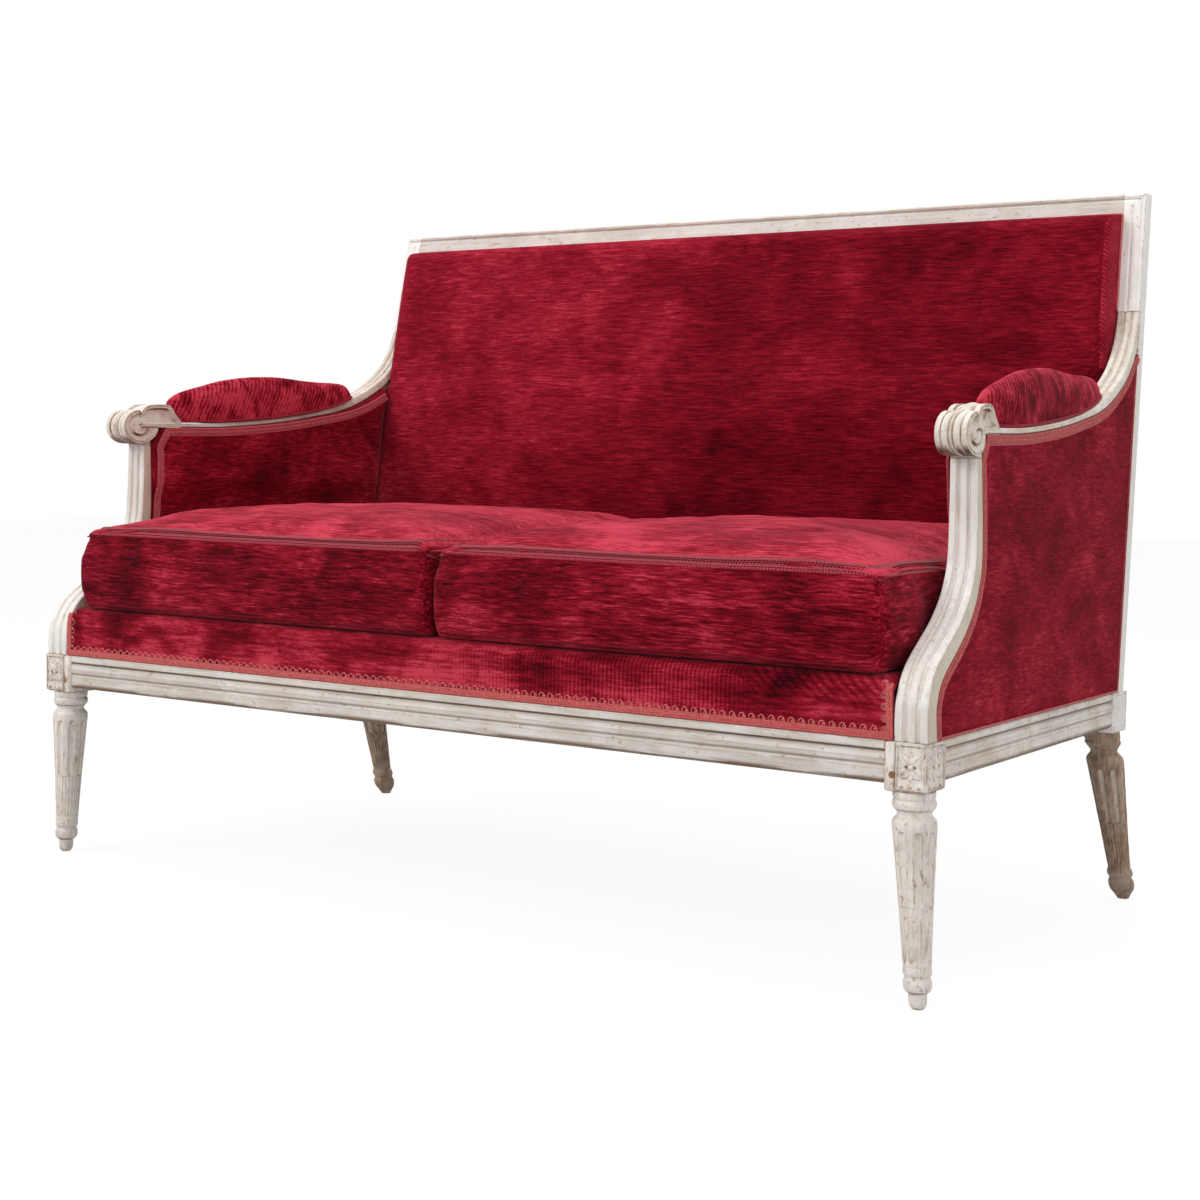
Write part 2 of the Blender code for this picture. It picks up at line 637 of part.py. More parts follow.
def scroll_neck(side, word):
    """The short block under the scroll that stands on the arm post."""
    front = FRONT + POST_TOP_FRONT + FIT
    rear = front + POST_TOP_THICKNESS - 2 * FIT
    top = ARM_FRONT_TOP - ARM_EDGE / 2
    outline = [(front, POST_TOP), (rear, POST_TOP), (rear + NECK_SWEEP, top), (front, top)]
    return side_panel(
        "neck_blank_" + word, side, outline, lambda y: STILE_INSET, lambda y: POST_TOP_WIDTH - STILE_INSET, PAINT
    )


def scroll_cap(side, word):
    """The carved cap that runs from the scroll back to the front of the pad."""
    outline = [
        (FRONT + SCROLL_DEPTH + CAP_LENGTH * along, ARM_FRONT_TOP + CAP_HEIGHT * high) for along, high in CAP_SHARES
    ]
    return side_panel(
        "cap_blank_" + word, side, outline, lambda y: STILE_INSET, lambda y: ARM_WIDTH - STILE_INSET, PAINT
    )


def arm(side, word):
    curve, turned = arm_curve()
    loops = []
    for (y, z), (dy, dz), (edge, core) in zip(curve, turned, arm_edges(curve, turned)):
        reach = (y - curve[0][0]) / (curve[-1][0] - curve[0][0])
        width = blend(ARM_WIDTH, ARM_END_WIDTH, min(reach * 1.2, 1))
        loops.append(t_section(side, y, z, dy, dz, width, edge, core))
    rail = loft("arm_" + word, loops, PAINT)
    combine(rail, scroll(side, word), "UNION")
    combine(rail, scroll_neck(side, word), "UNION")
    combine(rail, scroll_cap(side, word), "UNION")


def stile_inner(y, z):
    return side_x(y, z, STILE_INSET + STILE_WIDTH + FIT)


def top_rail():
    bottom = HEIGHT - TOP_RAIL_HEIGHT
    section = [
        (back_y(bottom + TOP_RAIL_HEIGHT * share, STILE_DEPTH_UPPER - MOULDING_GROOVE * groove),
         bottom + TOP_RAIL_HEIGHT * share)
        for share, groove in TOP_RAIL_FACE_SHARES
    ]
    section += [(back_y(HEIGHT, 0), HEIGHT), (back_y(bottom, 0), bottom)]
    prism("top_rail", section, lambda y, z: -stile_inner(y, z), stile_inner, PAINT)


def stay_rail():
    bottom = SEAT_TOP + STAY_RAIL_BOTTOM
    top = bottom + STAY_RAIL_HEIGHT
    section = [
        (back_y(bottom, STILE_DEPTH_LOWER), bottom), (back_y(top, STILE_DEPTH_LOWER), top),
        (back_y(top, 0), top), (back_y(bottom, 0), bottom),
    ]
    prism("back_stay_rail", section, lambda y, z: -stile_inner(y, z), stile_inner, BARE_WOOD)


def lattice(name, wide_edges, tall_edges, place, thickness, look):
    """Crossed straps as one net; edges alternate the starts and ends of straps, with the net's ends outside."""
    mesh = bmesh.new()
    corners = {}

    def corner(i, j, level):
        key = (i, j, level)
        if key not in corners:
            corners[key] = mesh.verts.new(place(wide_edges[i], tall_edges[j], level * thickness))
        return corners[key]

    def filled(i, j):
        inside = 0 <= i < len(wide_edges) - 1 and 0 <= j < len(tall_edges) - 1
        return inside and (i % 2 == 1 or j % 2 == 1)

    for i in range(len(wide_edges) - 1):
        for j in range(len(tall_edges) - 1):
            if not filled(i, j):
                continue
            for level in (0, 1):
                mesh.faces.new([
                    corner(i, j, level), corner(i + 1, j, level), corner(i + 1, j + 1, level), corner(i, j + 1, level)
                ])
            sides = (
                (i - 1, j, (i, j), (i, j + 1)), (i + 1, j, (i + 1, j), (i + 1, j + 1)),
                (i, j - 1, (i, j), (i + 1, j)), (i, j + 1, (i, j + 1), (i + 1, j + 1)),
            )
            for ni, nj, a, b in sides:
                if not filled(ni, nj):
                    mesh.faces.new([corner(*a, 0), corner(*b, 0), corner(*b, 1), corner(*a, 1)])
    return finish(name, mesh, look)


def strap_edges(start, end, middles, width):
    edges = [start]
    for middle in middles:
        edges += [middle - width / 2, middle + width / 2]
    return edges + [end]


def seat_webbing():
    start, end = FRONT + WEB_FRONT, FRONT + SEAT_DEPTH - WEB_FRONT
    half = rail_side_x(FRONT, WEB_LANDING)
    wide = strap_edges(-half, half, [half * share for share in SEAT_STRAPS_ACROSS_SHARES], WEB_WIDTH)
    tall = strap_edges(start, end, [blend(start, end, share) for share in SEAT_STRAPS_ALONG_SHARES], WEB_WIDTH)

    def place(x, y, level):
        return x * rail_side_x(y, WEB_LANDING) / half, y, SEAT_TOP + FIT + level

    lattice("seat_webbing", wide, tall, place, WEB_THICKNESS, LINEN)


def deck_side(y):
    return blend(DECK_SIDE_FRONT, DECK_SIDE_REAR, (y - FRONT) / BACK_FOOT)


def deck_x(y, z):
    return side_x(y, z, deck_side(y))


def deck_rear():
    return back_y(SEAT_TOP + STAY_RAIL_BOTTOM, STILE_DEPTH_LOWER + FIT)


def seat_hessian():
    low = SEAT_TOP + WEB_THICKNESS + 2 * FIT
    front, rear = FRONT + WEB_FRONT, FRONT + SEAT_DEPTH - WEB_FRONT
    outline = [(front, low), (rear, low), (rear, low + CLOTH_THICKNESS), (front, low + CLOTH_THICKNESS)]
    prism("seat_hessian", outline, lambda y, z: -deck_x(y, z), deck_x, LINEN)


def deck_outline(inset, bottom):
    """Front, rounded edge, top and back of the seat's platform, so far inside its cover."""
    radius = DECK_EDGE_RADIUS - inset
    centre_y = FRONT + DECK_FRONT + DECK_EDGE_RADIUS
    centre_z = DECK_TOP - DECK_EDGE_RADIUS
    outline = [(FRONT + DECK_FRONT + inset, bottom)]
    for k in range(7):
        angle = math.pi - math.pi / 2 * k / 6
        outline.append((centre_y + radius * math.cos(angle), centre_z + radius * math.sin(angle)))
    under_stay = SEAT_TOP + STAY_RAIL_BOTTOM - FIT - inset
    tail = FRONT + SEAT_DEPTH - WEB_FRONT + FIT
    outline += [
        (deck_rear() - inset, DECK_TOP - inset), (deck_rear() - inset, under_stay),
        (tail - inset, under_stay), (tail - inset, low_stuffing()),
    ]
    return outline


def low_stuffing():
    return SEAT_TOP + WEB_THICKNESS + CLOTH_THICKNESS + 3 * FIT


def seat_stuffing():
    outline = deck_outline(COVER_THICKNESS + FIT, low_stuffing())
    prism("seat_stuffing", outline, lambda y, z: -deck_x(y, z), deck_x, STUFFING)


def seat_cover():
    outside = deck_outline(0, SEAT_TOP + FIT)
    inside = deck_outline(COVER_THICKNESS, SEAT_TOP + FIT)
    prism("seat_platform_cover", outside + inside[::-1], lambda y, z: -deck_x(y, z), deck_x, VELVET)


def seat_front_gimp():
    """Braid along the bottom of the seat's front band and up both of its ends."""
    y1 = FRONT + DECK_FRONT - FIT
    bottom = SEAT_TOP + FIT + GIMP_EDGE
    top = DECK_TOP - DECK_EDGE_RADIUS
    loops = []
    for y in (y1 - GIMP_THICKNESS, y1):
        out_low, out_high = deck_x(y, bottom) - GIMP_EDGE, deck_x(y, top) - GIMP_EDGE
        in_low, in_high = out_low - FRONT_GIMP_WIDTH, out_high - FRONT_GIMP_WIDTH
        inner = bottom + FRONT_GIMP_WIDTH
        plan = [
            (-out_high, top), (-out_low, bottom), (out_low, bottom), (out_high, top),
            (in_high, top), (in_low, inner), (-in_low, inner), (-in_high, top),
        ]
        loops.append([(x, y, z) for x, z in plan])
    loft("seat_front_gimp", loops, GIMP)


def dust_cover():
    """Thin black cloth under the seat frame, notched at the four blocks."""
    y0, y1 = FRONT + WEB_FRONT, FRONT + SEAT_DEPTH - WEB_FRONT
    notch0, notch1 = FRONT + BLOCK_SIDE + WEB_FRONT, FRONT + SEAT_DEPTH - BLOCK_SIDE - WEB_FRONT
    front_x = WIDTH / 2 - BLOCK_SIDE - WEB_FRONT
    rear_x = REAR_WIDTH / 2 - BLOCK_SIDE - WEB_FRONT
    half = [
        (front_x, y0), (front_x, notch0), (rail_side_x(notch0, WEB_LANDING), notch0),
        (rail_side_x(notch1, WEB_LANDING), notch1), (rear_x, notch1), (rear_x, y1),
    ]
    plan = half + [(-x, y) for x, y in reversed(half)]
    top = RAIL_BOTTOM - FIT
    loft("dust_cover", [[(x, y, z) for x, y in plan] for z in (top - DUST_COVER_THICKNESS, top)], BLACK_CLOTH)


def inner_cover_face(y):
    return blend(INNER_COVER_FRONT, INNER_COVER_REAR, (y - FRONT) / BACK_FOOT)


def cushion_plan(side, inset):
    """Rounded outline of one cushion, its outer side along the arm and its inner side at the middle."""
    y0, y1 = FRONT + CUSHION_FRONT + inset, FRONT + CUSHION_REAR - inset
    level = DECK_TOP + CUSHION_HEIGHT
    seam = side * CUSHION_GAP / 2 + CUSHION_SHIFT + side * max(inset, 0)
    radius = max(CUSHION_CORNER - inset, CUSHION_CORNER / 3)

    def outer(y):
        reach = side_x(y, level, inner_cover_face(y) + CUSHION_CLEARANCE) - inset
        return side * (reach - (CUSHION_END_GAP if side < 0 else 0))

    corners = [(seam, y0, outer(y0) - seam), (outer(y0), y0, 0), (outer(y1), y1, 0), (seam, y1, 0)]
    plan = []
    count = len(corners)
    for i in range(count):
        px, py = corners[i - 1][:2]
        cx, cy = corners[i][:2]
        nx, ny = corners[(i + 1) % count][:2]
        back = math.hypot(px - cx, py - cy)
        ahead = math.hypot(nx - cx, ny - cy)
        ax, ay = cx + (px - cx) / back * radius, cy + (py - cy) / back * radius
        bx, by = cx + (nx - cx) / ahead * radius, cy + (ny - cy) / ahead * radius
        for k in range(CUSHION_CORNER_POINTS):
            t = k / (CUSHION_CORNER_POINTS - 1)
            plan.append((
                (1 - t) ** 2 * ax + 2 * t * (1 - t) * cx + t * t * bx,
                (1 - t) ** 2 * ay + 2 * t * (1 - t) * cy + t * t * by,
            ))
        for k in range(1, CUSHION_SIDE_POINTS):
            t = k / CUSHION_SIDE_POINTS
            ex, ey = nx + (cx - nx) / ahead * radius, ny + (cy - ny) / ahead * radius
            plan.append((blend(bx, ex, t), blend(by, ey, t)))
    return plan


def seat_cushion(side, word):
    """A boxed loose cushion with a seam round its top and bottom, full sides and a crowned top."""
    y_mid = FRONT + (CUSHION_FRONT + CUSHION_REAR) / 2
    plan = cushion_plan(side, 0)
    x_mid = (min(x for x, y in plan) + max(x for x, y in plan)) / 2
    loops = []
    for height, seams, bulges, inward in CUSHION_STACK_SHARES:
        ring = cushion_plan(side, CUSHION_SEAM * seams - CUSHION_BULGE * bulges)
        z = DECK_TOP + FIT + CUSHION_HEIGHT * height
        loops.append([(blend(x, x_mid, inward), blend(y, y_mid, inward), z) for x, y in ring])
    loft("seat_cushion_" + word, loops, VELVET, 50)


def back_panel(name, bottom, top, half, rear, front, look):
    """A flat sheet in the back frame between two distances from the frame's rear face."""
    loops = []
    for z in (bottom, top):
        loops.append([
            (-half(z), back_y(z, rear), z), (half(z), back_y(z, rear), z),
            (half(z), back_y(z, front), z), (-half(z), back_y(z, front), z),
        ])
    return loft(name, loops, look)


def opening_bottom():
    return SEAT_TOP + STAY_RAIL_BOTTOM + STAY_RAIL_HEIGHT + FIT


def opening_top():
    return HEIGHT - TOP_RAIL_HEIGHT - FIT


def opening_half(z):
    return stile_inner(back_y(z, 0), z)


def back_webbing():
    bottom, top = opening_bottom(), opening_top()
    half = opening_half(bottom)
    wide = strap_edges(-half, half, [half * share for share in BACK_STRAPS_UP_SHARES], WEB_WIDTH)
    tall = strap_edges(bottom, top, [blend(bottom, top, share) for share in BACK_STRAPS_ACROSS_SHARES], WEB_WIDTH)

    def place(x, z, level):
        return x * opening_half(z) / half, back_y(z, WEB_DEPTH + level), z

    lattice("back_webbing", wide, tall, place, WEB_THICKNESS, LINEN)


def back_rows():
    """Heights up the inside back, each with its share of the fullness."""
    top = opening_top() - BACK_EDGE_ROUNDING
    return [(blend(opening_bottom(), top, share), full) for share, full in BACK_ROW_SHARES]


def back_meets_arm(z_wanted):
    """Depth at which the inside arm cover meets the inside back."""
    rows = back_rows()
    full = rows[0][1]
    for (z0, full0), (z1, full1) in zip(rows, rows[1:]):
        if z0 <= z_wanted <= z1:
            full = blend(full0, full1, (z_wanted - z0) / (z1 - z0))
    face = STILE_DEPTH_UPPER + BACK_PROUD + BACK_FULLNESS * full * BACK_MARGIN_SHARE
    return back_y(z_wanted, face + 2 * FIT)


def crowned_slab(name, rear, skin, look):
    """A slab over the inside back with walls at its sides and top, so far under the cover's face.

    A rear of None makes it the cover itself, a skin over the stuffing.
    """
    mesh = bmesh.new()
    face = STILE_DEPTH_UPPER + BACK_PROUD
    wall = [
        (BACK_WALL_LEAN * leans + BACK_EDGE_ROUNDING * roundings, share)
        for leans, roundings, share in BACK_WALL_SHARES
    ]
    margin = INNER_COVER_REAR - STILE_INSET - STILE_WIDTH
    behind_arm = [
        (0, BACK_EDGE_SHARE), (margin / 2, (BACK_EDGE_SHARE + BACK_MARGIN_SHARE) / 2), (margin, BACK_MARGIN_SHARE)
    ]
    rows_up = back_rows()
    heights = rows_up + [(opening_top() - inset, share) for inset, share in reversed(wall)]
    places = [i / BACK_STEPS_ACROSS for i in range(BACK_STEPS_ACROSS + 1)]
    across, up = len(places) + 2 * len(wall), len(heights) - 1

    def columns(j, z, under):
        walled = j >= BACK_WALL_ROW
        half = opening_half(z) - FIT - (under if walled else 0)
        inner = half - BACK_EDGE_ROUNDING - (0 if walled else margin)
        edges = [(half - inset, share) for inset, share in (wall if walled else behind_arm)]
        middle = [
            (blend(-inner, inner, share), 1 + BACK_CROWN / BACK_FULLNESS * (1 - (2 * share - 1) ** 4))
            for share in places
        ]
        return [(-x, share) for x, share in edges] + middle + [(x, share) for x, share in reversed(edges)]

    def grid(under, flat):
        rows = []
        for j, (z, full) in enumerate(heights):
            row = []
            level = z - (under if j >= len(rows_up) else 0)
            for x, share in columns(j, z, under):
                depth = face + BACK_FULLNESS * full * share - under
                if full * share == 0:
                    depth = STILE_DEPTH_UPPER - BACK_TUCK
                depth = flat if flat else depth
                row.append(mesh.verts.new((x, back_y(level, depth), level)))
            rows.append(row)
        return rows

    rear_rows = grid(skin, rear) if rear else grid(COVER_THICKNESS, None)
    front_rows = grid(skin, None)
    for rows in (rear_rows, front_rows):
        for j in range(up):
            for i in range(across - 1):
                mesh.faces.new([rows[j][i], rows[j][i + 1], rows[j + 1][i + 1], rows[j + 1][i]])
    for i in range(across - 1):
        for j in (0, up):
            mesh.faces.new([rear_rows[j][i], rear_rows[j][i + 1], front_rows[j][i + 1], front_rows[j][i]])
    for j in range(up):
        for i in (0, across - 1):
            mesh.faces.new([rear_rows[j][i], rear_rows[j + 1][i], front_rows[j + 1][i], front_rows[j][i]])
    return finish(name, mesh, look, 40)


def inside_back():
    cloth = WEB_DEPTH + WEB_THICKNESS + FIT
    back_panel(
        "back_hessian", opening_bottom(), opening_top(), opening_half, cloth, cloth + CLOTH_THICKNESS, LINEN
    )
    crowned_slab("back_stuffing", cloth + CLOTH_THICKNESS + FIT, COVER_THICKNESS + FIT, STUFFING)
    crowned_slab("inside_back_cover", None, 0, VELVET)
    on_frame = STILE_DEPTH_UPPER - MOULDING_GROOVE * FRAME_FACE_SHARES[0][1] + FIT
    low, top = back_rows()[BACK_GIMP_ROW][0], opening_top() + FIT
    high = top + GIMP_THICKNESS
    loops = []
    for depth in (on_frame, on_frame + GIMP_WIDTH):
        in_low, in_high = opening_half(low), opening_half(top)
        out_low, out_high = in_low + GIMP_THICKNESS, in_high + GIMP_THICKNESS
        plan = [
            (-out_low, low), (-out_high, high), (out_high, high), (out_low, low), (in_low, low),
            (in_high, top), (-in_high, top), (-in_low, low),
        ]
        loops.append([(x, back_y(z, depth), z) for x, z in plan])
    loft("inside_back_gimp", loops, GIMP)


def outside_back():
    back_panel(
        "outside_back_cover", opening_bottom(), opening_top(), opening_half,
        OUTSIDE_DEPTH, OUTSIDE_DEPTH + COVER_THICKNESS, VELVET,
    )
    rear = OUTSIDE_DEPTH - FIT - GIMP_THICKNESS
    low, high = opening_bottom() + GIMP_EDGE, opening_top() - GIMP_EDGE
    loops = []
    for inset, depth in ((0, rear), (GIMP_WIDTH, rear), (GIMP_WIDTH, rear + GIMP_THICKNESS), (0, rear + GIMP_THICKNESS)):
        z0, z1 = low + inset, high - inset
        x0, x1 = opening_half(z0) - GIMP_EDGE - inset, opening_half(z1) - GIMP_EDGE - inset
        loops.append([
            (-x0, back_y(z0, depth), z0), (x0, back_y(z0, depth), z0),
            (x1, back_y(z1, depth), z1), (-x1, back_y(z1, depth), z1),
        ])
    ring_loft("outside_back_gimp", loops, GIMP)


def panel_edges(bottom, gap):
    """The arm opening's edge as (y, z): up the post, back under the arm and down the back frame."""
    post, post_turned = post_curve()
    thickness = [blend(POST_FOOT_THICKNESS, POST_TOP_THICKNESS, post_share(z)) + gap for y, z in post]
    rear_of_post = offset(post, post_turned, thickness)
    rear_of_post[0] = (rear_of_post[0][0], bottom)
    curve, turned = arm_curve()
    edges = [edge + gap for edge, core in arm_edges(curve, turned)]
    under_arm = offset(curve, turned, edges)
    corner_y = FRONT + POST_TOP_FRONT + POST_TOP_THICKNESS + NECK_SWEEP + 2 * gap
    arm_part = [(y, z) for y, z in under_arm if y > corner_y + gap and y < stile_front(z) - 2 * ARM_EDGE]
    corner = (corner_y, arm_part[0][1])
    end_z = arm_part[-1][1] + 1.8 * ARM_EDGE
    arm_part.append((stile_front(end_z) - gap, end_z))
    foot = (stile_front(bottom) - gap, bottom)
    return rear_of_post + [corner] + arm_part, foot


def up_to_back(edge, bottom):
    """The arm opening's edge cut off where it meets the inside back, and the line down that."""
    kept = [point for point in edge if point[0] < back_meets_arm(point[1]) - ARM_EDGE]
    (y0, z0), (y1, z1) = kept[-2:]
    length = math.hypot(y1 - y0, z1 - z0)
    y, z = y1, z1
    while y < back_meets_arm(z):
        y += FIT * (y1 - y0) / length
        z += FIT * (z1 - z0) / length
    down = [(back_meets_arm(row), row) for row, full in reversed(back_rows()) if row < z]
    return kept + [(back_meets_arm(z), z)] + down + [(back_meets_arm(bottom), bottom)]


def inset_path(path, distances):
    """A path moved to its right by a distance for each of its stretches, with mitred corners."""
    normals = []
    for (y0, z0), (y1, z1) in zip(path, path[1:]):
        length = math.hypot(y1 - y0, z1 - z0)
        normals.append(((z1 - z0) / length, -(y1 - y0) / length))
    normals = normals[:1] + normals + normals[-1:]
    distances = distances[:1] + distances + distances[-1:]
    moved = []
    for i, (y, z) in enumerate(path):
        (ay, az), (by, bz) = normals[i], normals[i + 1]
        a, b = distances[i], distances[i + 1]
        turn = ay * bz - az * by
        if abs(turn) > 0.3:
            moved.append((y + (a * bz - b * az) / turn, z + (b * ay - a * by) / turn))
        else:
            ny, nz = (ay + by) / 2, (az + bz) / 2
            size = ny * ny + nz * nz
            moved.append((y + (a + b) / 2 * ny / size, z + (a + b) / 2 * nz / size))
    return moved


def arm_covers(side, word):
    edge, foot = panel_edges(SEAT_TOP + FIT, FIT)
    side_panel(
        "outside_arm_cover_" + word, side, edge + [foot],
        lambda y: OUTER_COVER_INSET, lambda y: OUTER_COVER_INSET + OUTER_COVER_THICKNESS, VELVET,
    )
    lifted = SEAT_TOP + INNER_COVER_LIFT
    edge, foot = panel_edges(lifted, FIT)
    side_panel(
        "arm_hessian_" + word, side, edge + [foot], lambda y: CORE_INNER + FIT,
        lambda y: CORE_INNER + FIT + CLOTH_THICKNESS, LINEN,
    )
    side_panel(
        "inside_arm_cover_" + word, side, up_to_back(edge, lifted), lambda y: INNER_COVER_START, inner_cover_face,
        VELVET,
    )


def gimp_strip(name, side, path, widths, outer, inner):
    """A flat braid along a path on the side of the arm, of a width for each of its stretches."""
    near = inset_path(path, [GIMP_EDGE for width in widths])
    far = inset_path(path, [GIMP_EDGE + width for width in widths])
    return side_panel(name, side, near + far[::-1], outer, inner, GIMP)


def arm_gimps(side, word):
    edge, foot = panel_edges(SEAT_TOP + FIT, FIT)
    path = edge + [foot, (edge[0][0] + GIMP_WIDTH + 2 * GIMP_EDGE, edge[0][1])]
    gimp_strip(
        "outside_arm_gimp_" + word, side, path, [GIMP_WIDTH] * (len(edge) - 1) + [CORD_WIDTH] * 2,
        lambda y: OUTER_COVER_INSET - FIT - GIMP_THICKNESS, lambda y: OUTER_COVER_INSET - FIT,
    )
    edge, foot = panel_edges(DECK_TOP, FIT)
    edge = [
        (y, z) for y, z in edge if z > DECK_TOP + CUSHION_HEIGHT / 4 and y < back_meets_arm(z) - GIMP_WIDTH
    ]
    gimp_strip(
        "inside_arm_gimp_" + word, side, edge, [GIMP_WIDTH] * (len(edge) - 1),
        lambda y: inner_cover_face(y) + FIT, lambda y: inner_cover_face(y) + FIT + GIMP_THICKNESS,
    )


def on_arm(curve, turned, y_wanted):
    """The point of the arm's top at a depth, with its direction down into the wood."""
    for i in range(len(curve) - 1):
        y0, y1 = curve[i][0], curve[i + 1][0]
        if y0 <= y_wanted <= y1:
            t = (y_wanted - y0) / (y1 - y0)
            y, z = (blend(a, b, t) for a, b in zip(curve[i], curve[i + 1]))
            dy, dz = (blend(a, b, t) for a, b in zip(turned[i], turned[i + 1]))
            return y, z, dy, dz
    return (*curve[-1], *turned[-1])


def pad_stations(grow):
    """Places along the arm with the pad's half width, height and lean there, wider all round by grow."""
    curve, turned = arm_curve()
    stations = []
    for along, wide, high, lean in PAD_SHARES:
        y = blend(FRONT + PAD_START - grow, FRONT + PAD_END + grow, along)
        stations.append((*on_arm(curve, turned, y), PAD_HALF_WIDTH * wide + grow, PAD_HEIGHT * high, lean))
    return stations


def arm_pad(side, word):
    """The stuffed pad on the arm, half round across, leaning over the cap at its front."""
    loops = []
    for y, z, dy, dz, half, height, lean in pad_stations(0):
        foot = PAD_BRAID_THICKNESS + 2 * FIT
        section = [(half, 0)]
        for k in range(PAD_POINTS):
            angle = math.pi * k / (PAD_POINTS - 1)
            section.append((half * math.cos(angle), foot + max(height - foot, foot) * math.sin(angle) ** 0.8))
        section.append((-half, 0))
        loop = []
        for across, rise in section:
            forward = max(rise - foot, 0) * lean
            py = y - dy * (FIT + rise) + dz * forward
            pz = z - dz * (FIT + rise) - dy * forward
            loop.append((side * side_x(py, pz, ARM_WIDTH / 2 + across), py, pz))
        loops.append(loop)
    loft("arm_pad_" + word, loops, VELVET, 50)


def pad_gimp(side, word):
    """A narrow braid on the arm round the foot of its pad."""
    inner, outer = pad_stations(FIT), pad_stations(PAD_BRAID_WIDTH)

    def ring(stations, rise):
        loop = []
        for sign, row in ((1, stations), (-1, stations[::-1])):
            for y, z, dy, dz, half, height, lean in row:
                py, pz = y - dy * rise, z - dz * rise
                loop.append((side * side_x(py, pz, ARM_WIDTH / 2 + sign * half), py, pz))
        return loop

    low, high = FIT, FIT + PAD_BRAID_THICKNESS
    ring_loft(
        "arm_pad_gimp_" + word, [ring(inner, low), ring(outer, low), ring(outer, high), ring(inner, high)], GIMP
    )


def main():
    clear_scene()
    for side, word in ((-1, "right"), (1, "left")):
        front_leg(side, word)
        rear_post(side, word)
        side_rail(side, word)
        corner_block(side, word, True)
        corner_block(side, word, False)
        arm_post(side, word)
        arm(side, word)
        arm_covers(side, word)
        arm_gimps(side, word)
        arm_pad(side, word)
        pad_gimp(side, word)
        seat_cushion(side, word)
    front_rail()
    rear_rail()
    cross_brace()
    top_rail()
    stay_rail()
    seat_webbing()
    seat_hessian()
    seat_stuffing()
    seat_cover()
    seat_front_gimp()
    dust_cover()
    back_webbing()
    inside_back()
    outside_back()


main()
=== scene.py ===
"""A two-seat settee in worn grey-white paint and crimson velvet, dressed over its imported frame.

Metres, +Z up, +X to the sitter's left, +Y to the back, as in the frame.
"""

import math

import bmesh
import bpy
from mathutils import Matrix, Vector, noise
from mathutils.bvhtree import BVHTree


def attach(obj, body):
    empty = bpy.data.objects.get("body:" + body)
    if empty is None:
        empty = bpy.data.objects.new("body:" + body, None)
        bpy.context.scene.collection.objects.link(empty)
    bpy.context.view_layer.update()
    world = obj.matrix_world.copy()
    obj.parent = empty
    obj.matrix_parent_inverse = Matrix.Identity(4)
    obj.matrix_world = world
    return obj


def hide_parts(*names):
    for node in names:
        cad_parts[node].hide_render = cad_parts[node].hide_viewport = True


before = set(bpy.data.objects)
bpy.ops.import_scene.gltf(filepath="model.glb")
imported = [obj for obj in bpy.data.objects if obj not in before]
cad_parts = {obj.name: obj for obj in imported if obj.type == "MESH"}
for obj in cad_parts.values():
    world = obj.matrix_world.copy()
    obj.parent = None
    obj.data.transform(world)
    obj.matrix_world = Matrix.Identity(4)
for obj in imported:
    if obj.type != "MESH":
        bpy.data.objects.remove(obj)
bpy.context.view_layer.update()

# Overall sizes
WIDTH = 1.400                  # across the front corner blocks
REAR_WIDTH = 1.354             # across the back frame at the seat
TOP_WIDTH = 1.300              # across the back frame at its top
SEAT_DEPTH = 0.668             # front corner block to the back of the rear one
BACK_FOOT = 0.655              # depth to the back frame's rear face at the seat
OVERALL_DEPTH = 0.773          # depth to the back frame's rear face at its top
HEIGHT = 0.961
FIT = 0.0003                   # gap where two pieces touch

# Corner blocks and seat rails
BLOCK_SIDE = 0.050
BLOCK_BOTTOM = 0.238
BLOCK_HEIGHT = 0.054
RAIL_HEIGHT = 0.0465

# Turned legs
LEG_RADIUS = 0.0238            # the rings under the block
FLUTE_DEPTH = 0.0030
FRONT_LEG_SPLAY = 0.012        # foot out to the side
REAR_LEG_SPLAY = 0.012
REAR_LEG_RAKE = 0.074          # foot out to the back

# Back frame
STILE_WIDTH = 0.0295
STILE_INSET = 0.001
STILE_DEPTH_LOWER = 0.024      # behind the arm's end
STILE_DEPTH_UPPER = 0.030
TOP_RAIL_HEIGHT = 0.0275
MOULDING_GROOVE = 0.003
STAY_RAIL_BOTTOM = 0.038       # above the seat rails
STAY_RAIL_HEIGHT = 0.034

# Arm posts
POST_FRONT = 0.003             # depth of the post's front at its foot
POST_TOP_FRONT = 0.142         # depth of the post's front at its top
POST_TOP = 0.597               # height of the seat for the arm
POST_FOOT_WIDTH = 0.040
POST_TOP_WIDTH = 0.0335
POST_FOOT_THICKNESS = 0.026
POST_TOP_THICKNESS = 0.014
REED_GROOVE = 0.0025

# Arms
ARM_FRONT_TOP = 0.6305         # height of the wood under the pad, at the scroll
ARM_JOINT = 0.800              # height of the arm's joint on the back frame
ARM_WIDTH = 0.040
ARM_END_WIDTH = 0.0305          # where it meets the back frame
ARM_EDGE = 0.0068              # the part of the arm's side that shows under the pad
ARM_SWEEP_EDGE = 0.0125        # the same behind the pad
SCROLL_DEPTH = 0.134           # depth of the scroll's centre
SCROLL_HEIGHT = 0.624
CAP_LENGTH = 0.088             # the carved cap from the scroll's centre back to the pad
CAP_HEIGHT = 0.0275            # over the arm's top
NECK_SWEEP = 0.016             # the block under the scroll spreads back to the arm
TACKING_CORE = 0.012           # the narrower core that the covers are tacked to
CORE_OUTER = 0.0053            # the core's outer face behind the side plane
CORE_INNER = 0.0275
CORE_END = 0.001

